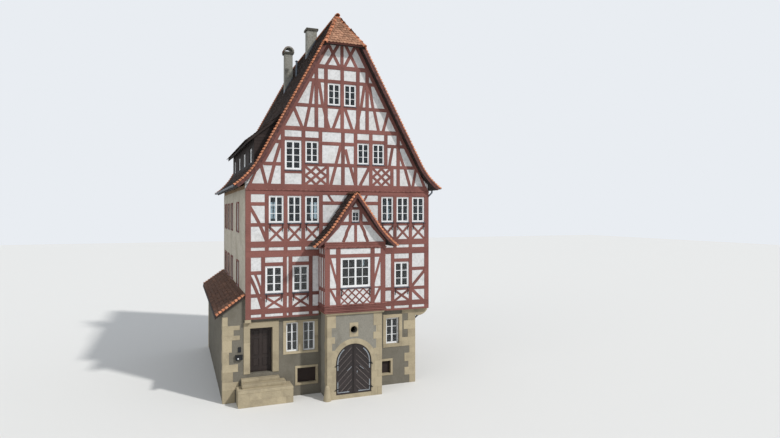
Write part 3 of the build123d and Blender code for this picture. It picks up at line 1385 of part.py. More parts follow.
def bay_side_bars():
    """Timbers of a side of the bay, with Y measured from the main wall's face."""
    low = -BAY_OUT
    bars = [post(y, BAY_FOOT, BAY_SIDE_TOP, BRACE) for y in BAY_SIDE_POSTS]
    bars.append(rail(low, 0, (BAY_FOOT + BAY_SILL_TOP) / 2, BAY_SILL_TOP - BAY_FOOT))
    bars.append(rail(low, 0, sum(BAY_EAVE_BEAM) / 2, BAY_EAVE_BEAM[1] - BAY_EAVE_BEAM[0]))
    bars.append(rail(low, 0, BAY_WINDOW[1][0] - RAIL / 2))
    bars.append(rail(low, 0, BAY_WINDOW[1][1] + RAIL / 2))
    return bars


side_bay_timbers = timber_sketch(draw_bay_side, bay_side_bars(), ())
LEFT_BAY_SHEET = Plane(origin=(BAY_SPAN[0] + TIMBER, FRONT, 0), x_dir=(0, 1, 0), z_dir=(1, 0, 0))
RIGHT_BAY_SHEET = Plane(origin=(BAY_SPAN[1] - TIMBER, FRONT, 0), x_dir=(0, 1, 0), z_dir=(1, 0, 0))
with BuildPart() as bay_side_frames:
    for sheet, way in ((LEFT_BAY_SHEET, -1), (RIGHT_BAY_SHEET, 1)):
        with BuildSketch(sheet):
            add(side_bay_timbers)
        extrude(amount=way * TIMBER)
save(bay_side_frames, "bay_side_frames")

with BuildPart() as bay_side_infill:
    for sheet, way in ((LEFT_BAY_SHEET, -1), (RIGHT_BAY_SHEET, 1)):
        with BuildSketch(sheet):
            draw_bay_side()
            add(side_bay_timbers, mode=Mode.SUBTRACT)
        extrude(amount=way * (TIMBER - PLASTER_RECESS))
        with BuildSketch(sheet):
            draw_bay_side()
        extrude(amount=-way * BAY_LINING)
save(bay_side_infill, "bay_side_infill")

with BuildPart() as bay_roof:
    with BuildSketch(Plane(origin=(BAY_CENTER, FRONT, 0), x_dir=(1, 0, 0), z_dir=(0, -1, 0))):
        draw_slope(BAY_ROOF)
        mirror(about=Plane.YZ)
    extrude(amount=BAY_OUT + BAY_VERGE)
save(bay_roof, "bay_roof")


# Hinged leaves
def add_pintles(pivot, seat_y, way, levels):
    """Pins on brackets from the seat; the leaf lies on the way side of the pivot."""
    x, y = pivot
    tip_y = y + BRACKET_HALF if y > seat_y else y - BRACKET_HALF
    for level in levels:
        z_span = (level - BRACKET_HEIGHT, level)
        block(sorted((x - way * BRACKET_LENGTH, x - way * BRACKET_GAP)), sorted((seat_y, tip_y)), z_span)
        foot_x = sorted((x - way * BRACKET_GAP, x + way * PIN_RADIUS))
        block(foot_x, (y - BRACKET_HALF, y + BRACKET_HALF), z_span)
        with Locations((x, y, level)):
            Cylinder(PIN_RADIUS, EYE_HEIGHT + 2 * EYE_GAP, align=(Align.CENTER, Align.CENTER, Align.MIN))


def add_straps(pivot, face_y, way, levels):
    """Strap hinges on the leaf's face, whose eyes turn on the pins."""
    x, y = pivot
    strap_y = face_y - STRAP_THICKNESS if y < face_y else face_y + STRAP_THICKNESS
    near = x + way * (PIN_RADIUS + EYE_GAP)
    for level in levels:
        z_span = (level + EYE_GAP, level + EYE_GAP + EYE_HEIGHT)
        block(sorted((near, x + way * (PIN_RADIUS + CRANK))), sorted((y, face_y)), z_span)
        block(sorted((near, x + way * STRAP_LENGTH)), sorted((strap_y, face_y)), z_span)
        with Locations((x, y, level + EYE_GAP)):
            Cylinder(EYE_RADIUS, EYE_HEIGHT, align=(Align.CENTER, Align.CENTER, Align.MIN))
            Cylinder(
                PIN_RADIUS + PIN_FIT,
                EYE_HEIGHT,
                align=(Align.CENTER, Align.CENTER, Align.MIN),
                mode=Mode.SUBTRACT,
            )


GATE_PIVOT_Y = PORCH_FRONT - PIN_OUT
GATE_FACE = PORCH_FRONT + GATE_RECESS
GATE_LEAF_SPANS = (
    (GATE_SPAN[0] + GATE_GAP, GATE_CENTER - GATE_MEETING_GAP / 2),
    (GATE_CENTER + GATE_MEETING_GAP / 2, GATE_SPAN[1] - GATE_GAP),
)
GATE_PIVOTS = ((GATE_LEAF_SPANS[0][0], GATE_PIVOT_Y), (GATE_LEAF_SPANS[1][1], GATE_PIVOT_Y))
GATE_FOOT = GATE_SILL + 2 * GATE_GAP


def gate_leaf(x_span, pivot, way):
    """One arched leaf of the gate with its two strap hinges."""
    with BuildPart() as leaf:
        with BuildSketch(facing_front(GATE_FACE + GATE_LEAF)):
            with Locations((GATE_CENTER, GATE_SPRING)):
                Circle(GATE_HALF - GATE_GAP)
            panel(GATE_SPAN, (GATE_FOOT, GATE_SPRING))
            panel(x_span, (GATE_FOOT, GATE_SPRING + GATE_HALF), mode=Mode.INTERSECT)
        extrude(amount=GATE_LEAF)
        add_straps(pivot, GATE_FACE, way, GATE_HINGES)
    return leaf


gate_leaf_left = gate_leaf(GATE_LEAF_SPANS[0], GATE_PIVOTS[0], 1)
gate_leaf_right = gate_leaf(GATE_LEAF_SPANS[1], GATE_PIVOTS[1], -1)
save(gate_leaf_left, "gate_leaf_left")
save(gate_leaf_right, "gate_leaf_right")

DOOR_SEAT = MASONRY_FRONT + SURROUND_DEPTH
DOOR_SPAN = (ENTRY_LEFT - DOOR_LAP, ENTRY_RIGHT + DOOR_LAP)
DOOR_Y = (DOOR_SEAT + DOOR_GAP, DOOR_SEAT + DOOR_GAP + DOOR_LEAF)
DOOR_PIVOT = (DOOR_SPAN[0], DOOR_Y[1] + PIN_OUT)

with BuildPart() as entry_door:
    block(DOOR_SPAN, DOOR_Y, (ENTRY_SILL + 2 * DOOR_GAP, ENTRY_TOP + DOOR_LAP))
    add_straps(DOOR_PIVOT, DOOR_Y[1], 1, DOOR_HINGES)
save(entry_door, "entry_door")

with BuildPart() as hinge_pins:
    add_pintles(GATE_PIVOTS[0], PORCH_FRONT, 1, GATE_HINGES)
    add_pintles(GATE_PIVOTS[1], PORCH_FRONT, -1, GATE_HINGES)
    add_pintles(DOOR_PIVOT, DOOR_SEAT, 1, DOOR_HINGES)
save(hinge_pins, "hinge_pins")

# Windows: a casing in each opening, and a pane in the casing
GROUND_LIGHTS = [(light, TWIN_HEIGHT) for light in TWIN_LIGHTS]
GROUND_LIGHTS.append((inset_span(RIGHT_WINDOW[0], RIGHT_BAR), inset_span(RIGHT_WINDOW[1], RIGHT_BAR)))
DORMER_WINDOWS = [
    ((FRONT + depth - DORMER_WINDOW[0] / 2, FRONT + depth + DORMER_WINDOW[0] / 2), DORMER_WINDOW[1:])
    for depth in DORMER_WINDOW_DEPTHS
]
CASING_BACK = FRAME_SETBACK + FRAME_DEPTH
STONE_CASING_BACK = 160
WINDOW_ROWS = (
    (facing_front(FRONT + CASING_BACK), FRONT_1_WINDOWS + FRONT_2_WINDOWS + GABLE_WINDOWS),
    (facing_front(MASONRY_FRONT + STONE_CASING_BACK), GROUND_LIGHTS),
    (BAY_SHEET.offset(TIMBER - CASING_BACK), BAY_WINDOWS),
    (facing_front(BACK - FRAME_SETBACK), rear_windows),
    (facing_front(MASONRY_BACK - STONE_CASING_BACK), REAR_GROUND_WINDOWS),
    (facing_side(-HALF_WIDTH + FRAME_SETBACK), left_windows()),
    (facing_side(HALF_WIDTH - CASING_BACK), right_windows()),
    (facing_side(DORMER_WALL_X + FRAME_SETBACK), DORMER_WINDOWS),
)

with BuildPart() as window_casings:
    for plane, openings in WINDOW_ROWS:
        with BuildSketch(plane):
            for x_span, z_span in openings:
                panel(x_span, z_span)
                panel(inset_span(x_span, FRAME_BAR), inset_span(z_span, FRAME_BAR), mode=Mode.SUBTRACT)
        extrude(amount=FRAME_DEPTH)
save(window_casings, "window_casings")

with BuildPart() as window_panes:
    for plane, openings in WINDOW_ROWS:
        with BuildSketch(plane.offset((FRAME_DEPTH - GLASS) / 2)):
            for x_span, z_span in openings:
                panel(inset_span(x_span, FRAME_BAR), inset_span(z_span, FRAME_BAR))
        extrude(amount=GLASS)
save(window_panes, "window_panes")

# Gutters along the main eaves, and a rainwater pipe with a swan neck under the eaves and the jetty
GUTTER_RADIUS = 75
GUTTER_WALL = 6
PIPE_LAP = 12
PIPE_RADIUS = 45
PIPE_GAP = 40
PIPE_Y = FRONT + 700
PIPE_FOOT = 250
PIPE_BEND = 150
PIPE_NECK = 550
CLIP = 30
with BuildPart() as gutters:
    eave = MAIN_ROOF.flare_point(MAIN_ROOF.eave_pitch)
    with BuildSketch(facing_front(BACK + VERGE)):
        for side in (-1, 1):
            with Locations((side * (eave[0] + GUTTER_RADIUS), eave[1])):
                Circle(GUTTER_RADIUS)
                Circle(GUTTER_RADIUS - GUTTER_WALL, mode=Mode.SUBTRACT)
        half_width = eave[0] + 2 * GUTTER_RADIUS
        panel((-half_width, half_width), (eave[1] - GUTTER_RADIUS, eave[1]), mode=Mode.INTERSECT)
    extrude(amount=DEPTH + 2 * VERGE)
    gutter_foot = (eave[0] + GUTTER_RADIUS, eave[1] - GUTTER_RADIUS + PIPE_LAP)
    pipe_high = HALF_WIDTH + PIPE_GAP + PIPE_RADIUS
    pipe_low = MASONRY_RIGHT + PIPE_GAP + PIPE_RADIUS
    with BuildLine(facing_front(PIPE_Y)) as pipe_path:
        FilletPolyline(
            gutter_foot,
            (gutter_foot[0], gutter_foot[1] - PIPE_BEND),
            (pipe_high, gutter_foot[1] - PIPE_NECK),
            (pipe_high, TIMBER_FOOT - PIPE_BEND),
            (pipe_low, TIMBER_FOOT - PIPE_NECK - PIPE_BEND),
            (pipe_low, PIPE_FOOT),
            radius=PIPE_BEND * 0.8,
        )
    with BuildSketch(Plane(origin=pipe_path.line @ 0, z_dir=pipe_path.line % 0)):
        Circle(PIPE_RADIUS)
    sweep(path=pipe_path.line)
    for wall_x, pipe_x, level in (
        (HALF_WIDTH, pipe_high, STOREY_2_SILL),
        (HALF_WIDTH, pipe_high, STOREY_1_SILL),
        (MASONRY_RIGHT, pipe_low, GROUND_FLOOR),
    ):
        block((wall_x, pipe_x), (PIPE_Y - CLIP / 2, PIPE_Y + CLIP / 2), (level, level + CLIP))
save(gutters, "gutters")

# Stone consoles under the timber storeys, and the guard stone at the porch's corner
GUARD_FOOT = 190
GUARD_HEAD = 110
GUARD_HEIGHT = 620
CONSOLE_DROP = 380
CONSOLE_TIP = 110
CONSOLE_WIDTH = 300
CONSOLE_COUNT = 5
CONSOLE_PITCH = 2650
CONSOLE_CURVE = 1.6
CORBEL = ((-4770, -4490), (ENTRY_SURROUND[1][1], TIMBER_FOOT))
with BuildPart() as stone_consoles:
    for i in range(CONSOLE_COUNT):
        with BuildSketch(facing_front(MASONRY_FRONT + CONSOLE_WIDTH + i * CONSOLE_PITCH)):
            with BuildLine():
                Line((MASONRY_RIGHT, TIMBER_FOOT), (HALF_WIDTH, TIMBER_FOOT))
                Line((HALF_WIDTH, TIMBER_FOOT), (HALF_WIDTH, TIMBER_FOOT - CONSOLE_TIP))
                knee = (MASONRY_RIGHT + CONSOLE_TIP, TIMBER_FOOT - CONSOLE_DROP)
                RadiusArc((HALF_WIDTH, TIMBER_FOOT - CONSOLE_TIP), knee, CONSOLE_CURVE * CONSOLE_DROP)
                Line(knee, (MASONRY_RIGHT, TIMBER_FOOT - CONSOLE_DROP))
                Line((MASONRY_RIGHT, TIMBER_FOOT - CONSOLE_DROP), (MASONRY_RIGHT, TIMBER_FOOT))
            make_face()
        extrude(amount=CONSOLE_WIDTH)
    block(CORBEL[0], (FRONT, MASONRY_FRONT), CORBEL[1])
    with Locations((PORCH_SPAN[0], PORCH_FRONT, 0)):
        Cone(GUARD_FOOT, GUARD_HEAD, GUARD_HEIGHT, align=(Align.CENTER, Align.CENTER, Align.MIN))
    with Locations((PORCH_SPAN[0], PORCH_FRONT, GUARD_HEIGHT)):
        Sphere(GUARD_HEAD)
    block(PORCH_SPAN, (PORCH_FRONT, MASONRY_FRONT), (0, PORCH_TOP), mode=Mode.SUBTRACT)
save(stone_consoles, "stone_consoles")

# Caps on the ridge and hips, cut to the slopes that they cover
with BuildPart() as ridge_caps:
    hip_tip = Vector(0, HIP_EDGE + HIP_RUN, RIDGE)
    with Locations(Plane(origin=(0, BACK + VERGE, RIDGE), z_dir=(0, -1, 0)).location):
        Cylinder(CAP_RADIUS, BACK + VERGE - hip_tip.Y, align=(Align.CENTER, Align.CENTER, Align.MIN))
    for side in (-1, 1):
        foot = Vector(side * MAIN_ROOF.half_width(HIP_EAVE), HIP_EDGE, HIP_EAVE)
        with Locations(Plane(origin=hip_tip, z_dir=foot - hip_tip).location):
            Cylinder(CAP_RADIUS, (foot - hip_tip).length, align=(Align.CENTER, Align.CENTER, Align.MIN))
    add(roof_envelope.part, mode=Mode.SUBTRACT)
    block(*CHIMNEY_1[:2], (FLARE_TOP, CHIMNEY_1[2]), mode=Mode.SUBTRACT)
    split(bisect_by=facing_front(HIP_EDGE), keep=Keep.BOTTOM)
save(ridge_caps, "ridge_caps")


def draw_verge_board(form, low, top):
    """Strip along the roof's underside on both slopes, between two heights."""
    draw_slope(form)
    mirror(about=Plane.YZ)
    panel((-HALF_WIDTH - FLARE_RADIUS, HALF_WIDTH + FLARE_RADIUS), (low, top), mode=Mode.INTERSECT)


# Boards along the verges, against the roof's ends
with BuildPart() as verge_boards:
    with BuildSketch(facing_front(HIP_EDGE)):
        draw_verge_board(MAIN_ROOF, TIMBER_FOOT, HIP_EAVE - 2 * ROOF_THICKNESS)
    extrude(amount=VERGE_BOARD)
    with BuildSketch(facing_front(BACK + VERGE + VERGE_BOARD)):
        draw_verge_board(MAIN_ROOF, TIMBER_FOOT, RIDGE)
    extrude(amount=VERGE_BOARD)
    bay_verge = (BAY_CENTER, BAY_FRONT - BAY_VERGE, 0)
    with BuildSketch(Plane(origin=bay_verge, x_dir=(1, 0, 0), z_dir=(0, -1, 0))):
        draw_verge_board(BAY_ROOF, TIMBER_FOOT, RIDGE)
    extrude(amount=VERGE_BOARD)
save(verge_boards, "verge_boards")

# Sills of the timber walls' windows: weathered wedges against the wall's face
SILL_OUT = 40
SILL_HEIGHT = 45
SILL_EAR = 20
SILL_ROWS = (
    (FRONT, -1, 0, FRONT_1_WINDOWS + FRONT_2_WINDOWS + GABLE_WINDOWS),
    (BAY_FRONT, -1, BAY_CENTER, BAY_WINDOWS),
    (BACK, 1, 0, rear_windows),
)
with BuildPart() as window_sills:
    for face_y, out, middle, openings in SILL_ROWS:
        for (left, right), (low, high) in openings:
            start = middle + (left - SILL_EAR if out > 0 else right + SILL_EAR)
            with BuildSketch(Plane(origin=(start, face_y, 0), x_dir=(0, out, 0), z_dir=(out, 0, 0))):
                Polygon(
                    (0, low - SILL_HEIGHT),
                    (SILL_OUT, low - SILL_HEIGHT),
                    (SILL_OUT, low - SILL_HEIGHT / 2),
                    (0, low),
                    align=None,
                )
            extrude(amount=right - left + 2 * SILL_EAR)
save(window_sills, "window_sills")
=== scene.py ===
"""Looks of a tall half-timbered town house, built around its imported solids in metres."""

import logging
import random
from collections.abc import Callable, Iterable, Sequence
from dataclasses import dataclass, field, replace
from enum import Enum
from math import atan2, cos, hypot, pi, radians, sin, tan

import bmesh
import bpy
import numpy as np
from mathutils import Matrix, Vector


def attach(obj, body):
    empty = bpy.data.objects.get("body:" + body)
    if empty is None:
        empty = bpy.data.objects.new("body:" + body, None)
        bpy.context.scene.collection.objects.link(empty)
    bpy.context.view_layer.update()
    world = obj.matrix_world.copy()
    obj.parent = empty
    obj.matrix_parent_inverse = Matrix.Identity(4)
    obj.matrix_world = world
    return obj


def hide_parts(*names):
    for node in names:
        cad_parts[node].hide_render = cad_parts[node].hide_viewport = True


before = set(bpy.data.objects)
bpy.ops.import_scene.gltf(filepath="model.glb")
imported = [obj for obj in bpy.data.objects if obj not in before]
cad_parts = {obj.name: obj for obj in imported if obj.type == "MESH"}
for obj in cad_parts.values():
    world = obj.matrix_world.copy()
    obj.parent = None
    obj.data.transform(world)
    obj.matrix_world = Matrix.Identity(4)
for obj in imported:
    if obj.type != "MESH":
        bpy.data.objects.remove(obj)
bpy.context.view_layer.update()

LOG = logging.getLogger("town_house")
MM = 0.001
HOUSE = "house"

Point = tuple[float, float]
Triple = tuple[float, float, float]
Path = Sequence[Point]
Bar = tuple[Path, float, "Layer"]
Mesh = bpy.types.Mesh
Drop = Callable[[np.ndarray], np.ndarray]

# Main sizes of the solids, in millimetres
HALF_WIDTH = 4750
FRONT = -6300
BACK = 6300
TIMBER_FOOT = 3900
STOREY_2_FOOT = 7100
GABLE_FOOT = 10100
POST = 180
CORNER_POST = 250
SILL_BEAM = 250
FLOOR_BEAM = 280
JOIST_STRIP = 160
TOP_PLATE = 260
COLLAR = 200
RAIL = 165
BRACE = 150
SLIM_BRACE = 110
ROOF_THICKNESS = 150
VERGE = 350
HIP_EAVE = 17450
HIP_RUN = 1450
RIDGE = 19200
COLLAR_1 = 13075
COLLAR_2 = 16210
MASONRY_FRONT = -6100
MASONRY_BACK = 6100
MASONRY_RIGHT = 4045
AISLE_LEFT = -5770
LEAN_TO_PITCH = 35
DORMER_PITCH = 39
DORMER_EAVE = 12480
DORMER_LEFT = -4280
DORMER_START = FRONT + 500
DORMER_WINDOWS = (1800, 4700, 7200, 9900)
BAY_CENTER = 305
BAY_HALF = 1535
BAY_FOOT = 4160
BAY_FRONT = -7520
BAY_SILL_TOP = 4560
PORCH_FRONT = -7400
PORCH_SPAN = (-1073, 1683)
PORCH_TOP = 4040
GATE_CENTER = 250
GATE_HALF = 895
GATE_RING = 250
GATE_SPRING = 1725
OCULUS_CENTER = (GATE_CENTER, 3300)
STEPS_SPAN = (-5150, -2630)
STEPS_DEPTH = 900


class Layer(Enum):
    """How far a timber's face stands before the wall's face, in millimetres."""

    PLATE = 6.0
    POST = 3.0
    RAIL = 0.0
    LATTICE = -1.5
    BRACE = -3.0
    CROSS = -5.5


# Materials
def linear(code: str) -> tuple[float, float, float, float]:
    """Turn an sRGB hex colour into linear values.

    Args:
        code: Six hex digits after a hash.

    Returns:
        The opaque linear colour.
    """
    parts = [int(code[i : i + 2], 16) / 255 for i in (1, 3, 5)]
    return (*(p / 12.92 if p <= 0.04045 else ((p + 0.055) / 1.055) ** 2.4 for p in parts), 1.0)


def add_node(
    tree: bpy.types.NodeTree, kind: str, sockets: dict | None = None, **settings: object
) -> bpy.types.Node:
    """Add one node with its settings, and a value or a link on each named socket.

    Args:
        tree: The tree that takes the node.
        kind: The node's type.
        sockets: Input name or index to a value or an output socket.
        **settings: Properties of the node.

    Returns:
        The new node.
    """
    node = tree.nodes.new(kind)
    for key, value in settings.items():
        setattr(node, key, value)
    for key, value in (sockets or {}).items():
        if isinstance(value, bpy.types.NodeSocket):
            tree.links.new(value, node.inputs[key])
        else:
            node.inputs[key].default_value = value
    return node


def bare_material(name: str) -> bpy.types.Material:
    """Make a material without nodes.

    Args:
        name: Its name.

    Returns:
        The material.
    """
    material = bpy.data.materials.new(name)
    material.use_nodes = True
    material.node_tree.nodes.clear()
    return material


class Coordinates(Enum):
    """Where a pattern is laid out."""

    OBJECT = "Object"
    GRAIN = "UV"


@dataclass(frozen=True)
class Finish:
    """A surface with blotches, a fine pattern, a tone for each piece and relief.

    Sizes are real ones in millimetres. The tone is an attribute of the mesh, nought where it has none.
    """

    name: str
    dark: str
    base: str
    light: str
    fine_mm: float = 12.0
    stretch: float = 1.0
    blotch_mm: float = 900.0
    stain: str = "#5a5248"
    stain_share: float = 0.25
    tone_share: float = 0.0
    relief_mm: float = 1.0
    roughness: float = 0.85
    metallic: float = 0.0
    specular: float = 0.35
    coordinates: Coordinates = Coordinates.OBJECT

    def build(self) -> bpy.types.Material:
        """Make the material.

        Returns:
            The material with its nodes.
        """
        material = bare_material(self.name)
        tree = material.node_tree
        place = add_node(tree, "ShaderNodeTexCoord").outputs[self.coordinates.value]
        spot = add_node(tree, "ShaderNodeTexCoord").outputs["Object"]
        grain = add_node(
            tree, "ShaderNodeMapping", {"Vector": place, "Scale": (1.0, self.stretch, self.stretch)}
        )
        fine = add_node(
            tree, "ShaderNodeTexNoise",
            {
                "Vector": grain.outputs[0], "Scale": 1 / (self.fine_mm * MM * 4), "Detail": 5.0,
                "Roughness": 0.6,
            },
        )
        broad = add_node(
            tree, "ShaderNodeTexNoise",
            {"Vector": spot, "Scale": 1 / (self.blotch_mm * MM), "Detail": 4.0, "Roughness": 0.55},
        )
        ramp = add_node(tree, "ShaderNodeValToRGB", {"Fac": fine.outputs["Fac"]})
        stops = ramp.color_ramp.elements
        stops[0].position, stops[1].position = 0.32, 0.72
        stops[0].color, stops[1].color = linear(self.dark), linear(self.light)
        stops.new(0.5).color = linear(self.base)
        patch = add_node(
            tree, "ShaderNodeMapRange",
            {"Value": broad.outputs["Fac"], "From Min": 0.48, "From Max": 0.72, "To Max": self.stain_share},
        )
        stained = add_node(
            tree, "ShaderNodeMix", {0: patch.outputs[0], 6: ramp.outputs[0], 7: linear(self.stain)},
            data_type="RGBA",
        )
        color = stained.outputs[2]
        if self.tone_share:
            tone = add_node(tree, "ShaderNodeAttribute", attribute_name="tone").outputs["Fac"]
            shift = add_node(
                tree, "ShaderNodeMapRange",
                {
                    "Value": tone, "From Min": -1.0, "To Min": 1 - self.tone_share,
                    "To Max": 1 + self.tone_share,
                },
                clamp=False,
            )
            toned = add_node(tree, "ShaderNodeHueSaturation", {"Color": color, "Value": shift.outputs[0]})
            color = toned.outputs[0]
        bump = add_node(
            tree, "ShaderNodeBump",
            {"Height": fine.outputs["Fac"], "Strength": 0.6, "Distance": self.relief_mm * MM},
        )
        shader = add_node(
            tree, "ShaderNodeBsdfPrincipled",
            {
                "Base Color": color, "Roughness": self.roughness, "Metallic": self.metallic,
                "Specular IOR Level": self.specular, "Normal": bump.outputs[0],
            },
        )
        add_node(tree, "ShaderNodeOutputMaterial", {"Surface": shader.outputs[0]})
        return material


@dataclass(frozen=True)
class PaneFinish:
    """Clear drawn glass, whose faint waves bend what it mirrors."""

    name: str = "drawn_window_glass"
    tint: str = "#c8d4d8"
    wave_mm: float = 350.0
    wave_height: float = 0.004

    def build(self) -> bpy.types.Material:
        """Make the material.

        Returns:
            The material with its nodes.
        """
        material = bare_material(self.name)
        tree = material.node_tree
        spot = add_node(tree, "ShaderNodeTexCoord").outputs["Object"]
        wave = add_node(tree, "ShaderNodeTexNoise", {"Vector": spot, "Scale": 1 / (self.wave_mm * MM)})
        bump = add_node(
            tree, "ShaderNodeBump",
            {"Height": wave.outputs["Fac"], "Strength": 0.3, "Distance": self.wave_height},
        )
        shader = add_node(
            tree, "ShaderNodeBsdfPrincipled",
            {
                "Base Color": linear(self.tint), "Roughness": 0.03, "IOR": 1.5,
                "Transmission Weight": 1.0, "Normal": bump.outputs[0],
            },
        )
        add_node(tree, "ShaderNodeOutputMaterial", {"Surface": shader.outputs[0]})
        return material


# Oxide-red linseed paint on hewn oak: chalky, streaked along the grain, greyer where the weather wore it
OAK = Finish(
    "oxide_red_painted_oak", "#5b3630", "#7b4c44", "#94695f", fine_mm=9, stretch=9, blotch_mm=1400,
    stain="#43231f", stain_share=0.45, tone_share=0.14, relief_mm=3, roughness=0.78,
    coordinates=Coordinates.GRAIN,
)
# The same paint on the moulded strips, laid out in the object's own axes
OAK_MOULDING = replace(
    OAK, name="oxide_red_moulding", coordinates=Coordinates.OBJECT, stretch=1.0, fine_mm=30
)
# The verge boards' paint, darkened as painted shade for the shaded band under the verge's overhang
SHADED_VERGE_BOARD = replace(OAK_MOULDING, name="verge_board_painted_shade", dark="#3d2421", base="#573530", light="#6b453e")
# Lime plaster under limewash: soft, faintly clouded, with trowel waves and grey runs
PLASTER = Finish(
    "limewashed_plaster", "#bcbbb9", "#cccbc9", "#d8d7d5", fine_mm=30, blotch_mm=1100,
    stain="#b9b5ac", stain_share=0.35, tone_share=0.05, relief_mm=3, roughness=0.9, specular=0.2,
)
# The shaded left side's plaster: a creamier coat, its colours darkened as painted shade
SHADED_CREAM_PLASTER = Finish(
    "cream_lime_plaster_painted_shade", "#a89f8e", "#b9b1a1", "#c9c2b3", fine_mm=30, blotch_mm=1600,
    stain="#8f836c", stain_share=0.5, relief_mm=3, roughness=0.9, specular=0.2,
)
# Rough-cast lime render on the stone storey: sandy, greyer and browner in clouds, its colours darkened as
# painted shade
SHADED_ROUGH_RENDER = Finish(
    "rough_cast_render_painted_shade", "#625d53", "#6f6a5f", "#7e796d", fine_mm=7, blotch_mm=700,
    stain="#5b564b", stain_share=0.55, relief_mm=7, roughness=0.95, specular=0.15,
)
# The same render on the porch without the painted shade: its own paler and greyer colour
PORCH_RENDER = replace(SHADED_ROUGH_RENDER, name="porch_render", dark="#77736a", base="#848075", light="#928e83")
# Buff sandstone, tooled: warm sandy grains, each block of its own tone
SANDSTONE = Finish(
    "tooled_buff_sandstone", "#978b72", "#a4977d", "#b1a58b", fine_mm=6, stretch=1.6, blotch_mm=420,
    stain="#7d7260", stain_share=0.5, tone_share=0.13, relief_mm=3, roughness=0.92, specular=0.2,
)
# Old plain tiles: fired orange clay gone brown, with dark and pale lichen
CLAY_TILE = Finish(
    "weathered_clay_tile", "#452f26", "#624536", "#82604c", fine_mm=26, blotch_mm=800,
    stain="#4c3a30", stain_share=0.65, tone_share=0.3, relief_mm=2, roughness=0.88, specular=0.2,
)
# The shaded slopes' tiles, darkened nearly to black as painted shade
SHADED_SLOPE_TILE = replace(
    CLAY_TILE, name="clay_tile_painted_shade", dark="#2c2421", base="#40342e", light="#5a4a40", stain="#2a2422"
)
# The hip's tiles, lightened as painted sunlight: pale orange brown
SUNLIT_HIP_TILE = replace(
    CLAY_TILE, name="clay_tile_painted_sunlight", dark="#7d5a46", base="#99715a", light="#b68e72", stain="#6b5142"
)
# Newer clay at the verges and bay, less weathered and so more orange
FRESH_TILE = Finish(
    "orange_clay_tile", "#955b43", "#ba7856", "#cd9777", fine_mm=20, blotch_mm=500,
    stain="#8a6350", stain_share=0.5, tone_share=0.18, relief_mm=2, roughness=0.85, specular=0.2,
)
# White linseed paint on pine sashes: smooth satin with faint brush marks
WHITE_PAINT = Finish(
    "white_painted_pine", "#cfcfcd", "#e2e2e0", "#eeeeec", fine_mm=8, stretch=8, blotch_mm=900,
    stain="#b9b9b6", stain_share=0.3, relief_mm=0.6, roughness=0.5, coordinates=Coordinates.GRAIN,
)
# Dark stained softwood under the eaves and on the dormer: brown black with open grain
STAINED_BOARD = Finish(
    "dark_stained_boards", "#1e1714", "#2d2320", "#42362e", fine_mm=8, stretch=8, blotch_mm=1200,
    stain="#1f1613", stain_share=0.5, tone_share=0.25, relief_mm=2, roughness=0.8,
)
# Weathered oak of the gate: silver brown boards with long checks
GATE_OAK = Finish(
    "weathered_gate_oak", "#1f1b1a", "#2e2827", "#433b39", fine_mm=7, stretch=11, blotch_mm=900,
    stain="#332b2b", stain_share=0.5, tone_share=0.22, relief_mm=3, roughness=0.75,
    coordinates=Coordinates.GRAIN,
)
# Raised beads between the gate's boards, painted pale as a highlight along the joints
GATE_BEAD = replace(GATE_OAK, name="gate_bead_painted_highlight", dark="#625955", base="#756c67", light="#8b827d")
# Entry door in dark oiled oak
DOOR_OAK = Finish(
    "oiled_door_oak", "#1d1714", "#2c2320", "#403530", fine_mm=7, stretch=10, blotch_mm=700,
    stain="#231b17", stain_share=0.4, tone_share=0.15, relief_mm=1.5, roughness=0.5,
    coordinates=Coordinates.GRAIN,
)
# Floorboards and slabs inside, plain sawn spruce
FLOORBOARD = Finish(
    "sawn_spruce_floor", "#6d5338", "#8a6c4b", "#a58861", fine_mm=12, stretch=7, blotch_mm=1500,
    stain="#5b4530", stain_share=0.4, relief_mm=1, roughness=0.8,
)
# Forged iron, oiled black
IRON = Finish(
    "blackened_wrought_iron", "#191a1c", "#26282b", "#3a3c40", fine_mm=6, blotch_mm=200,
    stain="#3b2c22", stain_share=0.35, relief_mm=0.8, roughness=0.55, metallic=0.6, specular=0.5,
)
# Galvanised steel bands on the gate: pale grey with a dull spangle
STEEL_BAND = Finish(
    "galvanised_steel_band", "#74797d", "#898e92", "#9fa4a8", fine_mm=10, blotch_mm=150,
    stain="#6d6a66", stain_share=0.4, relief_mm=0.4, roughness=0.6, metallic=0.25, specular=0.4,
)
# Rolled zinc sheet of gutters, sills and flashings: blue grey, matt
ZINC = Finish(
    "weathered_zinc_sheet", "#4a5058", "#606770", "#79818a", fine_mm=25, blotch_mm=500,
    stain="#3d4146", stain_share=0.5, relief_mm=0.6, roughness=0.5, metallic=0.55, specular=0.5,
)
# Cement-washed chimney brick: pale warm grey, streaked
CHIMNEY_RENDER = Finish(
    "washed_chimney_render", "#74736b", "#8d8b82", "#a4a299", fine_mm=18, blotch_mm=350,
    stain="#66604f", stain_share=0.6, relief_mm=3, roughness=0.92, specular=0.15,
)
# Sawn stone slabs on the chimneys, dark with soot
SLAB_STONE = Finish(
    "sooty_slab_stone", "#3b3933", "#4d4a42", "#636056", fine_mm=14, blotch_mm=260,
    stain="#35322e", stain_share=0.6, relief_mm=3, roughness=0.92, specular=0.15,
)
PANE = PaneFinish()


class Palette:
    """The finishes in use, each made once."""

    def __init__(self) -> None:
        """Start with none made."""
        self.made: dict[str, bpy.types.Material] = {}

    def get(self, finish: Finish | PaneFinish) -> bpy.types.Material:
        """Look up the material of a finish.

        Args:
            finish: One of the finishes above.

        Returns:
            Its material, made the first time.
        """
        if finish.name not in self.made:
            self.made[finish.name] = finish.build()
        return self.made[finish.name]


PALETTE = Palette()


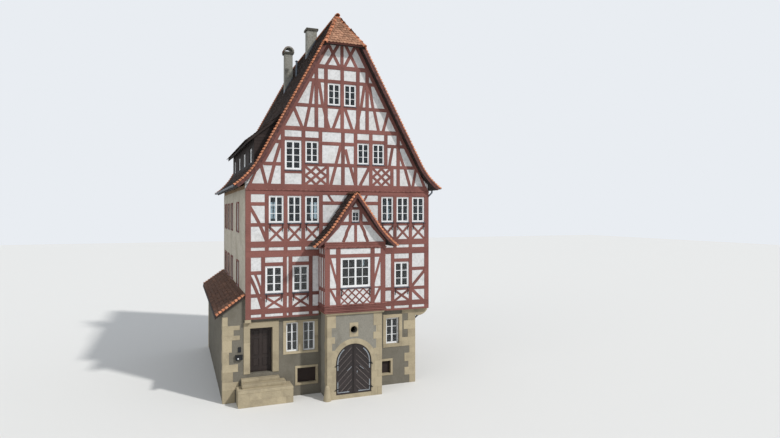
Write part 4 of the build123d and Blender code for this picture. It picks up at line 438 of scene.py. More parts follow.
# Flat shapes
def clip(outline: Sequence[Point], a: float, b: float, limit: float) -> list[Point]:
    """Cut an outline to the side where a x + b z is within a limit.

    Args:
        outline: Corners in order.
        a: Weight of the first coordinate.
        b: Weight of the second coordinate.
        limit: The largest value kept.

    Returns:
        The corners that are left.
    """
    kept: list[Point] = []
    for i, here in enumerate(outline):
        before = outline[i - 1]
        over, over_before = a * here[0] + b * here[1] - limit, a * before[0] + b * before[1] - limit
        if (over <= 0) != (over_before <= 0):
            share = over_before / (over_before - over)
            kept.append(tuple(p + (q - p) * share for p, q in zip(before, here)))
        if over <= 0:
            kept.append(here)
    return kept


def rectangle(x_span: Point, z_span: Point) -> list[Point]:
    """Corners of an upright rectangle."""
    return [(x_span[0], z_span[0]), (x_span[1], z_span[0]), (x_span[1], z_span[1]), (x_span[0], z_span[1])]


def arc(center: Point, radius: float, start: float, end: float, steps: int) -> list[Point]:
    """Points along an arc, with its angles in degrees."""
    turns = [radians(start + (end - start) * i / steps) for i in range(steps + 1)]
    return [(center[0] + radius * cos(t), center[1] + radius * sin(t)) for t in turns]


def smooth(points: Path, steps: int = 6) -> list[Point]:
    """Draw a curve through points.

    Args:
        points: Where it passes, in order.
        steps: Pieces between each two points.

    Returns:
        The curve's points.
    """
    ends = [points[0], *points, points[-1]]
    curve = []
    for i in range(len(points) - 1):
        a, b, c, d = (Vector(ends[i + k]) for k in range(4))
        for k in range(steps):
            t = k / steps
            place = b + (c - a) * t / 2
            place += (2 * a - 5 * b + 4 * c - d) * t**2 / 2
            place += (3 * b - a - 3 * c + d) * t**3 / 2
            curve.append((place.x, place.y))
    return [*curve, points[-1]]


def ribbon(path: Sequence[Point], width: float) -> list[Point]:
    """Outline of a band along a path.

    Args:
        path: Middle line.
        width: Width of the band.

    Returns:
        The band's corners in order.
    """
    left, right = [], []
    for i, here in enumerate(path):
        before, after = path[max(i - 1, 0)], path[min(i + 1, len(path) - 1)]
        run = (after[0] - before[0], after[1] - before[1])
        size = hypot(*run) or 1
        side = (-run[1] / size * width / 2, run[0] / size * width / 2)
        left.append((here[0] + side[0], here[1] + side[1]))
        right.append((here[0] - side[0], here[1] - side[1]))
    return right + left[::-1]


def inset(outline: Sequence[Point], amount: float) -> list[Point]:
    """Move an anticlockwise outline's edges inwards.

    Args:
        outline: Corners in order.
        amount: Distance to move them.

    Returns:
        As many corners as before.
    """
    moved = []
    count = len(outline)
    for i, here in enumerate(outline):
        before, after = Vector(outline[i - 1]), Vector(outline[(i + 1) % count])
        first, second = Vector(here) - before, after - Vector(here)
        if first.length < 1e-6 or second.length < 1e-6:
            moved.append(here)
            continue
        first.normalize()
        second.normalize()
        normal = Vector((-first.y - second.y, first.x + second.x))
        if normal.length < 1e-3:
            moved.append(here)
            continue
        normal.normalize()
        stretch = max(normal.dot(Vector((-first.y, first.x))), 0.35)
        moved.append((here[0] + normal.x * amount / stretch, here[1] + normal.y * amount / stretch))
    return moved


def area(outline: Sequence[Point]) -> float:
    """Signed area, positive for anticlockwise corners."""
    return sum(p[0] * q[1] - q[0] * p[1] for p, q in zip(outline, [*outline[1:], outline[0]])) / 2


@dataclass(frozen=True)
class Wall:
    """A wall's face: positions along it, heights, and distances out from it, in millimetres."""

    origin: Point
    along: Point
    out: Point

    def point(self, s: float, z: float, d: float) -> Vector:
        """Find a point of the wall.

        Args:
            s: Position along it.
            z: Height.
            d: Distance out from its face.

        Returns:
            The place in metres.
        """
        x = self.origin[0] + self.along[0] * s + self.out[0] * d
        y = self.origin[1] + self.along[1] * s + self.out[1] * d
        return Vector((x, y, z)) * MM


def front_facing(y: float, x: float = 0) -> Wall:
    """A wall that faces the front, with its positions counted from x."""
    return Wall((x, y), (1, 0), (0, -1))


def rear_facing(y: float) -> Wall:
    """A wall that faces the rear, with its positions mirrored."""
    return Wall((0, y), (-1, 0), (0, 1))


def left_facing(x: float, y: float = 0) -> Wall:
    """A wall that faces left, with its positions counted from y."""
    return Wall((x, y), (0, -1), (-1, 0))


def right_facing(x: float, y: float = 0) -> Wall:
    """A wall that faces right, with its positions counted from y."""
    return Wall((x, y), (0, 1), (1, 0))


FRONT_WALL = front_facing(FRONT)
BAY_WALL = front_facing(BAY_FRONT, BAY_CENTER)
STONE_WALL = front_facing(MASONRY_FRONT)
PORCH_WALL = front_facing(PORCH_FRONT)
REAR_WALL = rear_facing(BACK)
STONE_REAR = rear_facing(MASONRY_BACK)
LEFT_WALL = left_facing(-HALF_WIDTH)
RIGHT_WALL = right_facing(HALF_WIDTH)
BAY_LEFT = left_facing(BAY_CENTER - BAY_HALF, FRONT)
BAY_RIGHT = right_facing(BAY_CENTER + BAY_HALF, FRONT)
DORMER_WALL = left_facing(DORMER_LEFT)
ALONG_X = Vector((1, 0, 0))
UP = Vector((0, 0, 1))


def plain_mesh(name: str, verts: Sequence, faces: Sequence, tones: Sequence[float] | None = None) -> Mesh:
    """Make a mesh.

    Args:
        name: Its name.
        verts: Corners in metres.
        faces: Faces, as indices of the corners.
        tones: Brightness of each corner from -1 to 1.

    Returns:
        The mesh.
    """
    mesh = bpy.data.meshes.new(name)
    mesh.from_pydata([tuple(map(float, v)) for v in verts], [], [tuple(face) for face in faces])
    if tones is not None:
        mesh.attributes.new("tone", "FLOAT", "POINT").data.foreach_set("value", np.array(tones, np.float32))
    return mesh


def tones_of(mesh: Mesh) -> np.ndarray:
    """Read the brightness of each corner.

    Args:
        mesh: A mesh with tones.

    Returns:
        One value for each corner.
    """
    tones = np.zeros(len(mesh.vertices), np.float32)
    mesh.attributes["tone"].data.foreach_get("value", tones)
    return tones


def fix_normals(mesh: Mesh) -> None:
    """Point every face outwards.

    Args:
        mesh: A mesh of closed solids.
    """
    work = bmesh.new()
    work.from_mesh(mesh)
    bmesh.ops.recalc_face_normals(work, faces=work.faces)
    work.to_mesh(mesh)
    work.free()


def add_object(name: str, data: bpy.types.ID) -> bpy.types.Object:
    """Put an object in the scene.

    Args:
        name: Its name.
        data: Its mesh, light or camera.

    Returns:
        The object.
    """
    made = bpy.data.objects.new(name, data)
    bpy.context.scene.collection.objects.link(made)
    return made


def place_piece(
    name: str, mesh: Mesh, finish: Finish | PaneFinish, body: str = HOUSE,
    nodes: Sequence[str] = (),
) -> None:
    """Put a finished mesh in the scene as a piece of the house.

    Args:
        name: The piece's name.
        mesh: Its mesh, in place.
        finish: Its finish.
        body: The body that it rides on.
        nodes: The solids that it stands for.
    """
    piece = add_object(name, mesh)
    mesh.materials.clear()
    mesh.materials.append(PALETTE.get(finish))
    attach(piece, body)
    if nodes:
        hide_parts(*nodes)
    LOG.info("%s: %d faces", name, len(mesh.polygons))


class Shape:
    """Collects closed solids into one mesh, with a UV in metres along the grain and a tone for each solid.

    A method's optional tone is the solid's brightness from -1 to 1, and without it the brightness is random.
    """

    def __init__(self, seed: int) -> None:
        """Start empty.

        Args:
            seed: Seed of its own run of random numbers.
        """
        self.verts: list[Vector] = []
        self.faces: list[tuple[int, ...]] = []
        self.uvs: list[Point] = []
        self.tones: list[float] = []
        self.random = random.Random(seed)

    def solid(
        self, verts: Sequence[Vector], faces: Iterable[Sequence[int]], along: Vector = ALONG_X,
        tone: float | None = None,
    ) -> None:
        """Add one closed solid.

        Args:
            verts: Its corners in metres.
            faces: Its faces, as indices of the corners.
            along: Direction of the grain.
            tone: Its brightness.
        """
        base = len(self.verts)
        axis = along.normalized()
        spare = UP if abs(axis.z) < 0.9 else ALONG_X
        across = axis.cross(spare).normalized()
        third = axis.cross(across)
        start = (self.random.uniform(0, 40), self.random.uniform(0, 40))
        self.verts += verts
        self.uvs += [(v.dot(axis) + start[0], v.dot(across) + v.dot(third) + start[1]) for v in verts]
        shade = self.random.uniform(-1, 1) if tone is None else tone
        self.tones += [shade] * len(verts)
        self.faces += [tuple(base + i for i in face) for face in faces]

    def loops(
        self, rings: Sequence[Sequence[Vector]], along: Vector = ALONG_X, round_trip: bool = False,
        tone: float | None = None,
    ) -> None:
        """Join rings of as many corners into a solid.

        Args:
            rings: The rings in order.
            along: Direction of the grain.
            round_trip: Whether the last ring joins the first, in place of an end on each.
            tone: Its brightness.
        """
        count, sides = len(rings), len(rings[0])
        faces = [] if round_trip else [range(sides)[::-1], range((count - 1) * sides, count * sides)]
        for level in range(count if round_trip else count - 1):
            low, high = level * sides, (level + 1) % count * sides
            for i in range(sides):
                j = (i + 1) % sides
                faces.append((low + i, low + j, high + j, high + i))
        self.solid([v for ring in rings for v in ring], faces, along, tone)

    def prism(
        self, wall: Wall, outline: Sequence[Point], back: float, front: float, chamfer: float = 0.0,
        grain: Point = (0, 1), tone: float | None = None,
    ) -> None:
        """Add a flat piece on a wall, with a chamfer round its outer face.

        Args:
            wall: The wall that carries it.
            outline: Its corners along the wall and up, in millimetres.
            back: Where it starts, out from the wall's face.
            front: Where it ends, out from the wall's face.
            chamfer: Size of the chamfer.
            grain: Direction of the grain on the wall.
            tone: Its brightness.
        """
        if len(outline) < 3:
            return
        ring = list(outline) if area(outline) > 0 else list(outline)[::-1]
        rings = [(ring, back), (ring, front - chamfer)]
        if chamfer:
            rings.append((inset(ring, chamfer), front))
        along = wall.point(*grain, 0) - wall.point(0, 0, 0)
        self.loops([[wall.point(s, z, d) for s, z in points] for points, d in rings], along, tone=tone)

    def bar(
        self, wall: Wall, start: Point, end: Point, width: float, back: float, front: float,
        chamfer: float = 6.0, wobble: float = 0.0, cuts: Sequence[Triple] = (), tone: float | None = None,
    ) -> None:
        """Add a straight timber or bar on a wall, its edges a little uneven if it is hewn.

        Args:
            wall: The wall that carries it.
            start: One end of its middle line.
            end: The other end.
            width: Its width.
            back: Where it starts, out from the wall's face.
            front: Where it ends, out from the wall's face.
            chamfer: Size of its chamfer.
            wobble: How far its edges stray.
            cuts: Weights and limits that clip its outline.
            tone: Its brightness.
        """
        run = (end[0] - start[0], end[1] - start[1])
        length = hypot(*run)
        steps = max(1, round(length / 450)) if wobble else 1
        side = (-run[1] / length, run[0] / length)
        low, high = [], []
        for i in range(steps + 1):
            middle = (start[0] + run[0] * i / steps, start[1] + run[1] * i / steps)
            halves = [width / 2 + self.random.uniform(0, wobble) for _ in range(2)]
            low.append((middle[0] - side[0] * halves[0], middle[1] - side[1] * halves[0]))
            high.append((middle[0] + side[0] * halves[1], middle[1] + side[1] * halves[1]))
        outline = low + high[::-1]
        for cut in cuts:
            outline = clip(outline, *cut) if outline else outline
        self.prism(wall, outline, back, front, chamfer, run, tone)

    def box(self, low: Sequence[float], high: Sequence[float], chamfer: float = 4.0) -> None:
        """Add a box with all its edges chamfered.

        Args:
            low: Its lowest corner in millimetres.
            high: Its highest corner.
            chamfer: Size of the chamfers.
        """
        verts: list[Vector] = []
        index: dict[tuple[int, int], int] = {}
        for corner in range(8):
            ends = [(low, high)[corner >> axis & 1][axis] for axis in range(3)]
            inward = [(1, -1)[corner >> axis & 1] for axis in range(3)]
            for flat in range(3):
                place = [ends[k] if k == flat else ends[k] + inward[k] * chamfer for k in range(3)]
                index[(corner, flat)] = len(verts)
                verts.append(Vector(place) * MM)
        faces = []
        for flat in range(3):
            second, third = (1 << k for k in range(3) if k != flat)
            for side in (0, 1 << flat):
                faces.append([index[(side | c, flat)] for c in (0, second, second | third, third)])
            others = [k for k in range(3) if k != flat]
            for c0 in (0, second, third, second | third):
                c1 = c0 | 1 << flat
                ends = ((c0, others[0]), (c1, others[0]), (c1, others[1]), (c0, others[1]))
                faces.append([index[end] for end in ends])
        faces += [[index[(corner, k)] for k in range(3)] for corner in range(8)]
        self.solid(verts, faces)

    def tube(self, path: Sequence[Vector], radius: float | Sequence[float], sides: int = 8) -> None:
        """Sweep a round section along a path.

        Args:
            path: Middle line in metres.
            radius: Its radius, or one for each point.
            sides: Sides of the section.
        """
        count = len(path)
        radii = [radius] * count if isinstance(radius, (int, float)) else radius
        rings = []
        normal = None
        for i, here in enumerate(path):
            tangent = (path[min(i + 1, count - 1)] - path[max(i - 1, 0)]).normalized()
            if normal is None:
                normal = tangent.orthogonal().normalized()
            normal = (normal - tangent * normal.dot(tangent)).normalized()
            second = tangent.cross(normal)
            turns = [2 * pi * k / sides for k in range(sides)]
            rings.append([here + (normal * cos(t) + second * sin(t)) * radii[i] for t in turns])
        self.loops(rings, path[-1] - path[0])

    def ring(self, wall: Wall, center: Point, radii: Point, depth: Point, sides: int = 20) -> None:
        """Add a flat ring on a wall.

        Args:
            wall: The wall that carries it.
            center: Its centre.
            radii: Inner and outer radius.
            depth: Where it starts and ends, out from the wall's face.
            sides: Sides of the ring.
        """
        (inner, outer), (back, front) = radii, depth
        section = ((inner, back), (inner, front), (outer, front), (outer, back))
        rings = [[wall.point(*p, d) for p in arc(center, r, 0, 360, sides)[:-1]] for r, d in section]
        self.loops(rings, round_trip=True)

    def eye(self, foot: Vector, radii: Point, height: float, sides: int = 16) -> None:
        """Add an upright hollow cylinder, in metres.

        Args:
            foot: Centre of its foot.
            radii: Inner and outer radius.
            height: Its height.
            sides: Sides of the cylinder.
        """
        section = ((radii[0], 0), (radii[1], 0), (radii[1], height), (radii[0], height))
        turns = [2 * pi * i / sides for i in range(sides)]
        rings = [[foot + Vector((r * cos(t), r * sin(t), z)) for t in turns] for r, z in section]
        self.loops(rings, UP, round_trip=True)

    def place(
        self, name: str, finish: Finish, slot: str, body: str = HOUSE, nodes: Sequence[str] = ()
    ) -> None:
        """Put the collected solids in the scene as a piece.

        Args:
            name: The piece's name.
            finish: Its finish.
            slot: Not used.
            body: The body that it rides on.
            nodes: The solids that it stands for.
        """
        mesh = plain_mesh(name, self.verts, self.faces, self.tones)
        layer = mesh.uv_layers.new(name="UVMap")
        corners = np.zeros(len(mesh.loops), np.int32)
        mesh.loops.foreach_get("vertex_index", corners)
        layer.data.foreach_set("uv", np.array(self.uvs, np.float32)[corners].ravel())
        mesh.validate()
        fix_normals(mesh)
        place_piece(name, mesh, finish, body, nodes)


# Rows and courses
def courses_tree() -> bpy.types.NodeTree:
    """Make the tree that lays rows of a piece along a path, as tiles lie on a slope or caps on a ridge.

    Returns:
        The tree, with a named input for each measure of the rows.
    """
    tree = bpy.data.node_groups.new("courses_along_a_path", "GeometryNodeTree")
    for name, kind in (
        ("Path", "Geometry"), ("Piece", "Object"), ("Spacing", "Float"), ("Across", "Vector"),
        ("Width", "Float"), ("Columns", "Int"), ("Stagger", "Float"), ("Jitter", "Float"),
        ("Seed", "Int"), ("Finish", "Material"),
    ):
        tree.interface.new_socket(name=name, in_out="INPUT", socket_type="NodeSocket" + kind)
    tree.interface.new_socket(name="Geometry", in_out="OUTPUT", socket_type="NodeSocketGeometry")
    source = add_node(tree, "NodeGroupInput").outputs
    curve = add_node(tree, "GeometryNodeMeshToCurve", {"Mesh": source["Path"]})
    even = add_node(
        tree, "GeometryNodeResampleCurve", {"Curve": curve.outputs[0], "Length": source["Spacing"]},
        mode="LENGTH",
    )
    points = add_node(tree, "GeometryNodeCurveToPoints", {"Curve": even.outputs[0]}, mode="EVALUATED").outputs
    keep = add_node(
        tree, "GeometryNodeStoreNamedAttribute",
        {"Geometry": points["Points"], "Name": "course_run", "Value": points["Tangent"]},
        data_type="FLOAT_VECTOR", domain="POINT",
    )
    index = add_node(tree, "GeometryNodeInputIndex")
    odd = add_node(tree, "ShaderNodeMath", {0: index.outputs[0], 1: 2.0}, operation="MODULO")
    part = add_node(tree, "ShaderNodeMath", {0: odd.outputs[0], 1: source["Stagger"]}, operation="MULTIPLY")
    shift = add_node(tree, "ShaderNodeMath", {0: part.outputs[0], 1: source["Width"]}, operation="MULTIPLY")
    aside = add_node(
        tree, "ShaderNodeVectorMath", {0: source["Across"], "Scale": shift.outputs[0]}, operation="SCALE"
    )
    bond = add_node(
        tree, "GeometryNodeSetPosition", {"Geometry": keep.outputs[0], "Offset": aside.outputs[0]}
    )
    step = add_node(
        tree, "ShaderNodeVectorMath", {0: source["Across"], "Scale": source["Width"]}, operation="SCALE"
    )
    row = add_node(tree, "GeometryNodeMeshLine", {"Count": source["Columns"], "Offset": step.outputs[0]})
    rows = add_node(
        tree, "GeometryNodeInstanceOnPoints", {"Points": bond.outputs[0], "Instance": row.outputs[0]}
    )
    grid = add_node(tree, "GeometryNodeRealizeInstances", {"Geometry": rows.outputs[0]})
    run = add_node(tree, "GeometryNodeInputNamedAttribute", {"Name": "course_run"}, data_type="FLOAT_VECTOR")
    facing = add_node(
        tree, "FunctionNodeAxesToRotation",
        {"Primary Axis": run.outputs["Attribute"], "Secondary Axis": source["Across"]},
        primary_axis="X", secondary_axis="Y",
    )
    low = add_node(tree, "ShaderNodeMath", {0: source["Jitter"], 1: -1.0}, operation="MULTIPLY")
    tilt = add_node(
        tree, "FunctionNodeRandomValue", {0: low.outputs[0], 1: source["Jitter"], "Seed": source["Seed"]},
        data_type="FLOAT_VECTOR",
    )
    turned = add_node(
        tree, "FunctionNodeRotateRotation", {0: facing.outputs[0], 1: tilt.outputs[0]}, rotation_space="LOCAL"
    )
    item = add_node(tree, "GeometryNodeObjectInfo", {"Object": source["Piece"]})
    laid = add_node(
        tree, "GeometryNodeInstanceOnPoints",
        {"Points": grid.outputs[0], "Instance": item.outputs["Geometry"], "Rotation": turned.outputs[0]},
    )
    shade = add_node(
        tree, "FunctionNodeRandomValue", {2: -1.0, 3: 1.0, "Seed": source["Seed"]}, data_type="FLOAT"
    )
    toned = add_node(
        tree, "GeometryNodeStoreNamedAttribute",
        {"Geometry": laid.outputs[0], "Name": "tone", "Value": shade.outputs[1]},
        data_type="FLOAT", domain="INSTANCE",
    )
    real = add_node(tree, "GeometryNodeRealizeInstances", {"Geometry": toned.outputs[0]})
    dressed = add_node(
        tree, "GeometryNodeSetMaterial", {"Geometry": real.outputs[0], "Material": source["Finish"]}
    )
    add_node(tree, "NodeGroupOutput", {0: dressed.outputs[0]})
    return tree


COURSES = courses_tree()


@dataclass(frozen=True)
class Courses:
    """Rows of one piece along a path.

    Attributes:
        path: Points of the path in metres; rows follow one another along it.
        piece: Mesh of one piece, its x along the path and its y across.
        spacing: Distance between rows, in metres.
        across: Direction of a row.
        width: Distance between pieces of a row, in metres.
        columns: Pieces in a row.
        stagger: Share of the width by which every other row is moved.
        jitter: Largest tilt in radians.
        seed: Seed of the tilts and tones.
    """

    path: Sequence[Vector]
    piece: Mesh
    spacing: float
    across: Vector
    width: float = 1.0
    columns: int = 1
    stagger: float = 0.0
    jitter: float = 0.0
    seed: int = 1

    def build(self, name: str, finish: Finish, drop: Drop | None = None) -> Mesh:
        """Lay the rows and turn them into a plain mesh.

        Args:
            name: Name of the mesh.
            finish: Finish of the pieces.
            drop: From the pieces' centres, which of them to leave out.

        Returns:
            The mesh.
        """
        line = bpy.data.meshes.new(name)
        line.from_pydata([tuple(p) for p in self.path], [(i, i + 1) for i in range(len(self.path) - 1)], [])
        carrier, item = add_object(name, line), add_object(name + "_item", self.piece)
        modifier = carrier.modifiers.new("courses", "NODES")
        modifier.node_group = COURSES
        values = {
            "Piece": item, "Spacing": self.spacing, "Across": tuple(self.across.normalized()),
            "Width": self.width, "Columns": self.columns, "Stagger": self.stagger,
            "Jitter": self.jitter, "Seed": self.seed, "Finish": PALETTE.get(finish),
        }
        for socket in COURSES.interface.items_tree:
            if socket.item_type == "SOCKET" and socket.in_out == "INPUT" and socket.name in values:
                modifier[socket.identifier] = values[socket.name]
        graph = bpy.context.evaluated_depsgraph_get()
        mesh = bpy.data.meshes.new_from_object(carrier.evaluated_get(graph))
        carrier.modifiers.remove(modifier)
        bpy.data.objects.remove(carrier)
        bpy.data.objects.remove(item)
        if drop is not None:
            mesh = thinned(mesh, len(self.piece.vertices), drop)
        mesh.name = name
        return mesh


def thinned(mesh: Mesh, size: int, drop: Drop) -> Mesh:
    """Leave out pieces of a row mesh.

    Args:
        mesh: The rows, which are removed.
        size: Corners of one piece.
        drop: From the pieces' centres, which of them to leave out.

    Returns:
        The rows that are left.
    """
    places = np.zeros(len(mesh.vertices) * 3, np.float32)
    mesh.vertices.foreach_get("co", places)
    places = places.reshape(-1, 3)
    gone = drop(places.reshape(-1, size, 3).mean(axis=1))
    kept = [piece * size + k for piece in np.flatnonzero(~gone) for k in range(size)]
    fresh = {old: new for new, old in enumerate(kept)}
    faces = [[fresh[v] for v in p.vertices] for p in mesh.polygons if p.vertices[0] in fresh]
    result = plain_mesh(mesh.name, places[kept], faces, tones_of(mesh)[kept])
    bpy.data.meshes.remove(mesh)
    return result


def joined(name: str, meshes: Sequence[Mesh]) -> Mesh:
    """Put several meshes with tones into one.

    Args:
        name: Name of the new mesh.
        meshes: The meshes, which are removed.

    Returns:
        The new mesh.
    """
    verts, faces, tones = [], [], []
    for mesh in meshes:
        faces += [[len(verts) + i for i in p.vertices] for p in mesh.polygons]
        verts += [tuple(v.co) for v in mesh.vertices]
        tones += list(tones_of(mesh))
        bpy.data.meshes.remove(mesh)
    return plain_mesh(name, verts, faces, tones)


def plain_tile(
    width: float = 0.172, length: float = 0.31, lap: float = 0.11, thickness: float = 0.018
) -> Mesh:
    """Make a flat clay tile with a rounded tail, its head under the course above.

    Args:
        width: Width of the tile.
        length: Length of the tile.
        lap: How much of it lies behind the row's line.
        thickness: Thickness of the clay.

    Returns:
        The mesh, its x down the slope.
    """
    half, knee = width / 2, length - lap - 0.8 * width / 2
    tail = [(knee + 0.8 * half * sin(t), -half * cos(t)) for t in (pi / 4, pi / 2, 3 * pi / 4)]
    ring = [(-lap, -half), (knee, -half), *tail, (knee, half), (-lap, half)]
    rise = 2.0 * thickness
    count = len(ring)
    verts = [(x, y, rise * (x + lap) / length + up) for up in (0, thickness) for x, y in ring]
    faces = [range(count)[::-1], range(count, 2 * count)]
    faces += [(i, (i + 1) % count, count + (i + 1) % count, count + i) for i in range(count)]
    return plain_mesh("plain_tile", verts, faces)


def cap_tile(length: float, radius: float, taper: float = 0.8, wall: float = 0.02, sides: int = 8) -> Mesh:
    """Make a half-round clay cap, wide at its tail.

    Args:
        length: Length of the cap.
        radius: Radius at its tail.
        taper: Its head's radius as a share of the tail's.
        wall: Thickness of the clay.
        sides: Sides of the half circle.

    Returns:
        The mesh, its x along the ridge.
    """
    verts = [
        (x, r * cos(pi * k / sides), r * sin(pi * k / sides))
        for x, size in ((-0.3 * length, radius * taper), (0.7 * length, radius))
        for r in (size, size - wall)
        for k in range(sides + 1)
    ]
    n = sides + 1
    faces = []
    for k in range(sides):
        faces.append((k, 2 * n + k, 2 * n + k + 1, k + 1))
        faces.append((n + k, n + k + 1, 3 * n + k + 1, 3 * n + k))
        faces.append((k, k + 1, n + k + 1, n + k))
        faces.append((2 * n + k, 3 * n + k, 3 * n + k + 1, 2 * n + k + 1))
    faces += [(0, n, 3 * n, 2 * n), (n - 1, 3 * n - 1, 4 * n - 1, 2 * n - 1)]
    mesh = plain_mesh("cap_tile", verts, faces)
    fix_normals(mesh)
    return mesh


# Roof forms
@dataclass(frozen=True)
class RoofForm:
    """Section of a gabled roof whose straight rafters flare out to the eaves, in millimetres and degrees."""

    ridge: float
    pitch: float
    flare_top: float
    radius: float
    eave_pitch: float
    thickness: float

    @property
    def slope(self) -> float:
        """Rise of the straight rafters for each unit of their run."""
        return tan(radians(self.pitch))

    @property
    def center(self) -> Point:
        """Centre of the right flare."""
        turn, start = radians(self.pitch), self.half_width(self.flare_top)
        return (start + self.radius * sin(turn), self.flare_top + self.radius * cos(turn))

    def flare_point(self, pitch: float, depth: float = 0) -> Point:
        """Point of the flare where the slope has a pitch, at a depth below the surface."""
        reach, turn = self.radius + depth, radians(pitch)
        return (self.center[0] - reach * sin(turn), self.center[1] - reach * cos(turn))

    def half_width(self, z: float, depth: float = 0) -> float:
        """Half the width between the straight rafters at a height."""
        return (self.ridge - z) / self.slope - depth / sin(radians(self.pitch))

    def apex(self, depth: float = 0) -> Point:
        """Point on the middle line at a depth below the surface."""
        return (0, self.ridge - depth / cos(radians(self.pitch)))

    def line(self, depth: float = 0, steps: int = 6) -> list[Point]:
        """The right slope from the apex to the eave."""
        turns = [self.pitch + (self.eave_pitch - self.pitch) * i / steps for i in range(steps + 1)]
        return [self.apex(depth)] + [self.flare_point(turn, depth) for turn in turns]

    def height(self, x: float, depth: float = 0) -> float:
        """Find the height of the slope.

        Args:
            x: Distance from the middle line.
            depth: Depth below the surface.

        Returns:
            The height there.
        """
        if abs(x) <= self.flare_point(self.pitch, depth)[0]:
            return self.apex(depth)[1] - abs(x) * self.slope
        return self.center[1] - ((self.radius + depth) ** 2 - (self.center[0] - abs(x)) ** 2) ** 0.5


MAIN_ROOF = RoofForm(RIDGE, 61.8, 11500, 3650, 36, ROOF_THICKNESS)
BAY_ROOF = RoofForm(9880, 55, 8380, 4700, 38.5, 110)
HIP_SLOPE = (RIDGE - HIP_EAVE) / HIP_RUN
HIP_EDGE = FRONT - VERGE
GABLE_TOP = HIP_EAVE + VERGE * HIP_SLOPE - ROOF_THICKNESS / cos(atan2(RIDGE - HIP_EAVE, HIP_RUN))
REAR_TOP = RIDGE - ROOF_THICKNESS / cos(radians(MAIN_ROOF.pitch))


# Timbers of the front, bay, sides and rear
def post(x: float, low: float, high: float, width: float = POST, layer: Layer = Layer.POST) -> Bar:
    """An upright timber."""
    return ([(x, low), (x, high)], width, layer)


def rail(left: float, right: float, z: float, height: float = RAIL, layer: Layer = Layer.RAIL) -> Bar:
    """A level timber."""
    return ([(left, z), (right, z)], height, layer)


def plate(left: float, right: float, z: float, height: float) -> Bar:
    """A broad level timber that stands before the posts."""
    return rail(left, right, z, height, Layer.PLATE)


def brace(start: Point, end: Point, width: float = BRACE, layer: Layer = Layer.BRACE) -> Bar:
    """A leaning timber."""
    return ([start, end], width, layer)


def bowed(start: Point, end: Point, rise: float, width: float = BRACE, layer: Layer = Layer.BRACE) -> Bar:
    """Make a timber sawn to a shallow bow.

    Args:
        start: One end of its middle line.
        end: The other end.
        rise: How far it swells to the left of its run.
        width: Its width.
        layer: How far it stands out.

    Returns:
        The timber.
    """
    run = (end[0] - start[0], end[1] - start[1])
    scale = rise / hypot(*run)
    crown = ((start[0] + end[0]) / 2 - run[1] * scale, (start[1] + end[1]) / 2 + run[0] * scale)
    return (smooth([start, crown, end]), width, layer)


def mirrored(bars: Sequence[Bar]) -> list[Bar]:
    """The same timbers on the other side of the middle line."""
    return [([(-x, z) for x, z in path], width, layer) for path, width, layer in bars]


def crossed(x_span: Point, z_span: Point, width: float = SLIM_BRACE) -> list[Bar]:
    """Two braces that cross in a panel."""
    (left, right), (low, high) = x_span, z_span
    return [brace((left, low), (right, high), width), brace((left, high), (right, low), width, Layer.CROSS)]


def carved_lattice(x_span: Point, z_span: Point, width: float = 122, rise: float = 25) -> list[Bar]:
    """Fill a panel with two braces that cross in a rhombus of four bowed ones.

    Args:
        x_span: Sides of the panel.
        z_span: Foot and top of the panel.
        width: Width of every brace.
        rise: Bow of the rhombus's members.

    Returns:
        The six braces.
    """
    (left, right), (low, high) = x_span, z_span
    middle = ((left + right) / 2, (low + high) / 2)
    corners = ((left, middle[1]), (middle[0], low), (right, middle[1]), (middle[0], high))
    layers = (Layer.LATTICE, Layer.RAIL, Layer.LATTICE, Layer.RAIL)
    rhombus = [bowed(corners[i - 1], corners[i], rise, width, layers[i]) for i in range(4)]
    return crossed(x_span, z_span, width) + rhombus


def diamonds(x_span: Point, z_span: Point, columns: int, rows: int, width: float) -> list[Bar]:
    """Fill a panel with a lattice of slim braces.

    Args:
        x_span: Sides of the panel.
        z_span: Foot and top of the panel.
        columns: Diamonds across.
        rows: Diamonds up.
        width: Width of the braces.

    Returns:
        The braces.
    """
    wide, tall = (x_span[1] - x_span[0]) / columns, (z_span[1] - z_span[0]) / rows
    bars = []
    for column in range(columns):
        for row in range(rows):
            left, low = x_span[0] + column * wide, z_span[0] + row * tall
            bars += crossed((left, left + wide), (low, low + tall), width)
    return bars


STOREY_1_BEAM = 230
STOREY_1_STRIP = 90
STOREY_2_BEAM = 210
STOREY_1_POSTS = (-3925, -2890, -2620, -1625, 2700, 3700)
STOREY_1_WINDOWS = ((0, 1), (2, 3), (4, 5))
STOREY_1_SPAN = (5100, 6410)
STOREY_2_POSTS = (-3755, -2855, -1995, -1110, 1980, 2825, 3700)
STOREY_2_WINDOWS = ((0, 1), (1, 2), (2, 3), (4, 5), (5, 6), (6, None))
STOREY_2_SPAN = (8470, 9790)
ATTIC_POSTS = (-2990, -1985, -1135, 20, 685, 1500, 2320, 3005)
ATTIC_WINDOWS = ((1, 2), (4, 5), (5, 6))
ATTIC_SHORT_POSTS = (2, 6)
ATTIC_RAIL = 11315
ATTIC_HIGH_RAIL = 12400
ATTIC_SPAN = (11420, 12490)
TALL_WINDOW_SILL = 11050
TOP_POSTS = (-1340, -855, -20, 805, 1300)
TOP_WINDOWS = ((1, 2), (2, 3))
TOP_SPAN = (14320, 15420)
SIDE_POSTS = tuple(FRONT + 180 + 1224 * i for i in range(11))
SIDE_WINDOWS = ((1, 2), (4, 5), (8, 9))
REAR_POSTS = (-3700, -2890, -1850, -1035, 1035, 1850, 2890, 3700)
REAR_WINDOWS = ((0, 1), (2, 3), (4, 5), (6, 7))
REAR_GABLE_POSTS = (-3000, -1985, -1135, 0, 1135, 1985, 3000)
REAR_GABLE_WINDOWS = ((1, 2), (4, 5))
BAY_WINDOW = ((-760, 760), (5355, 6805))
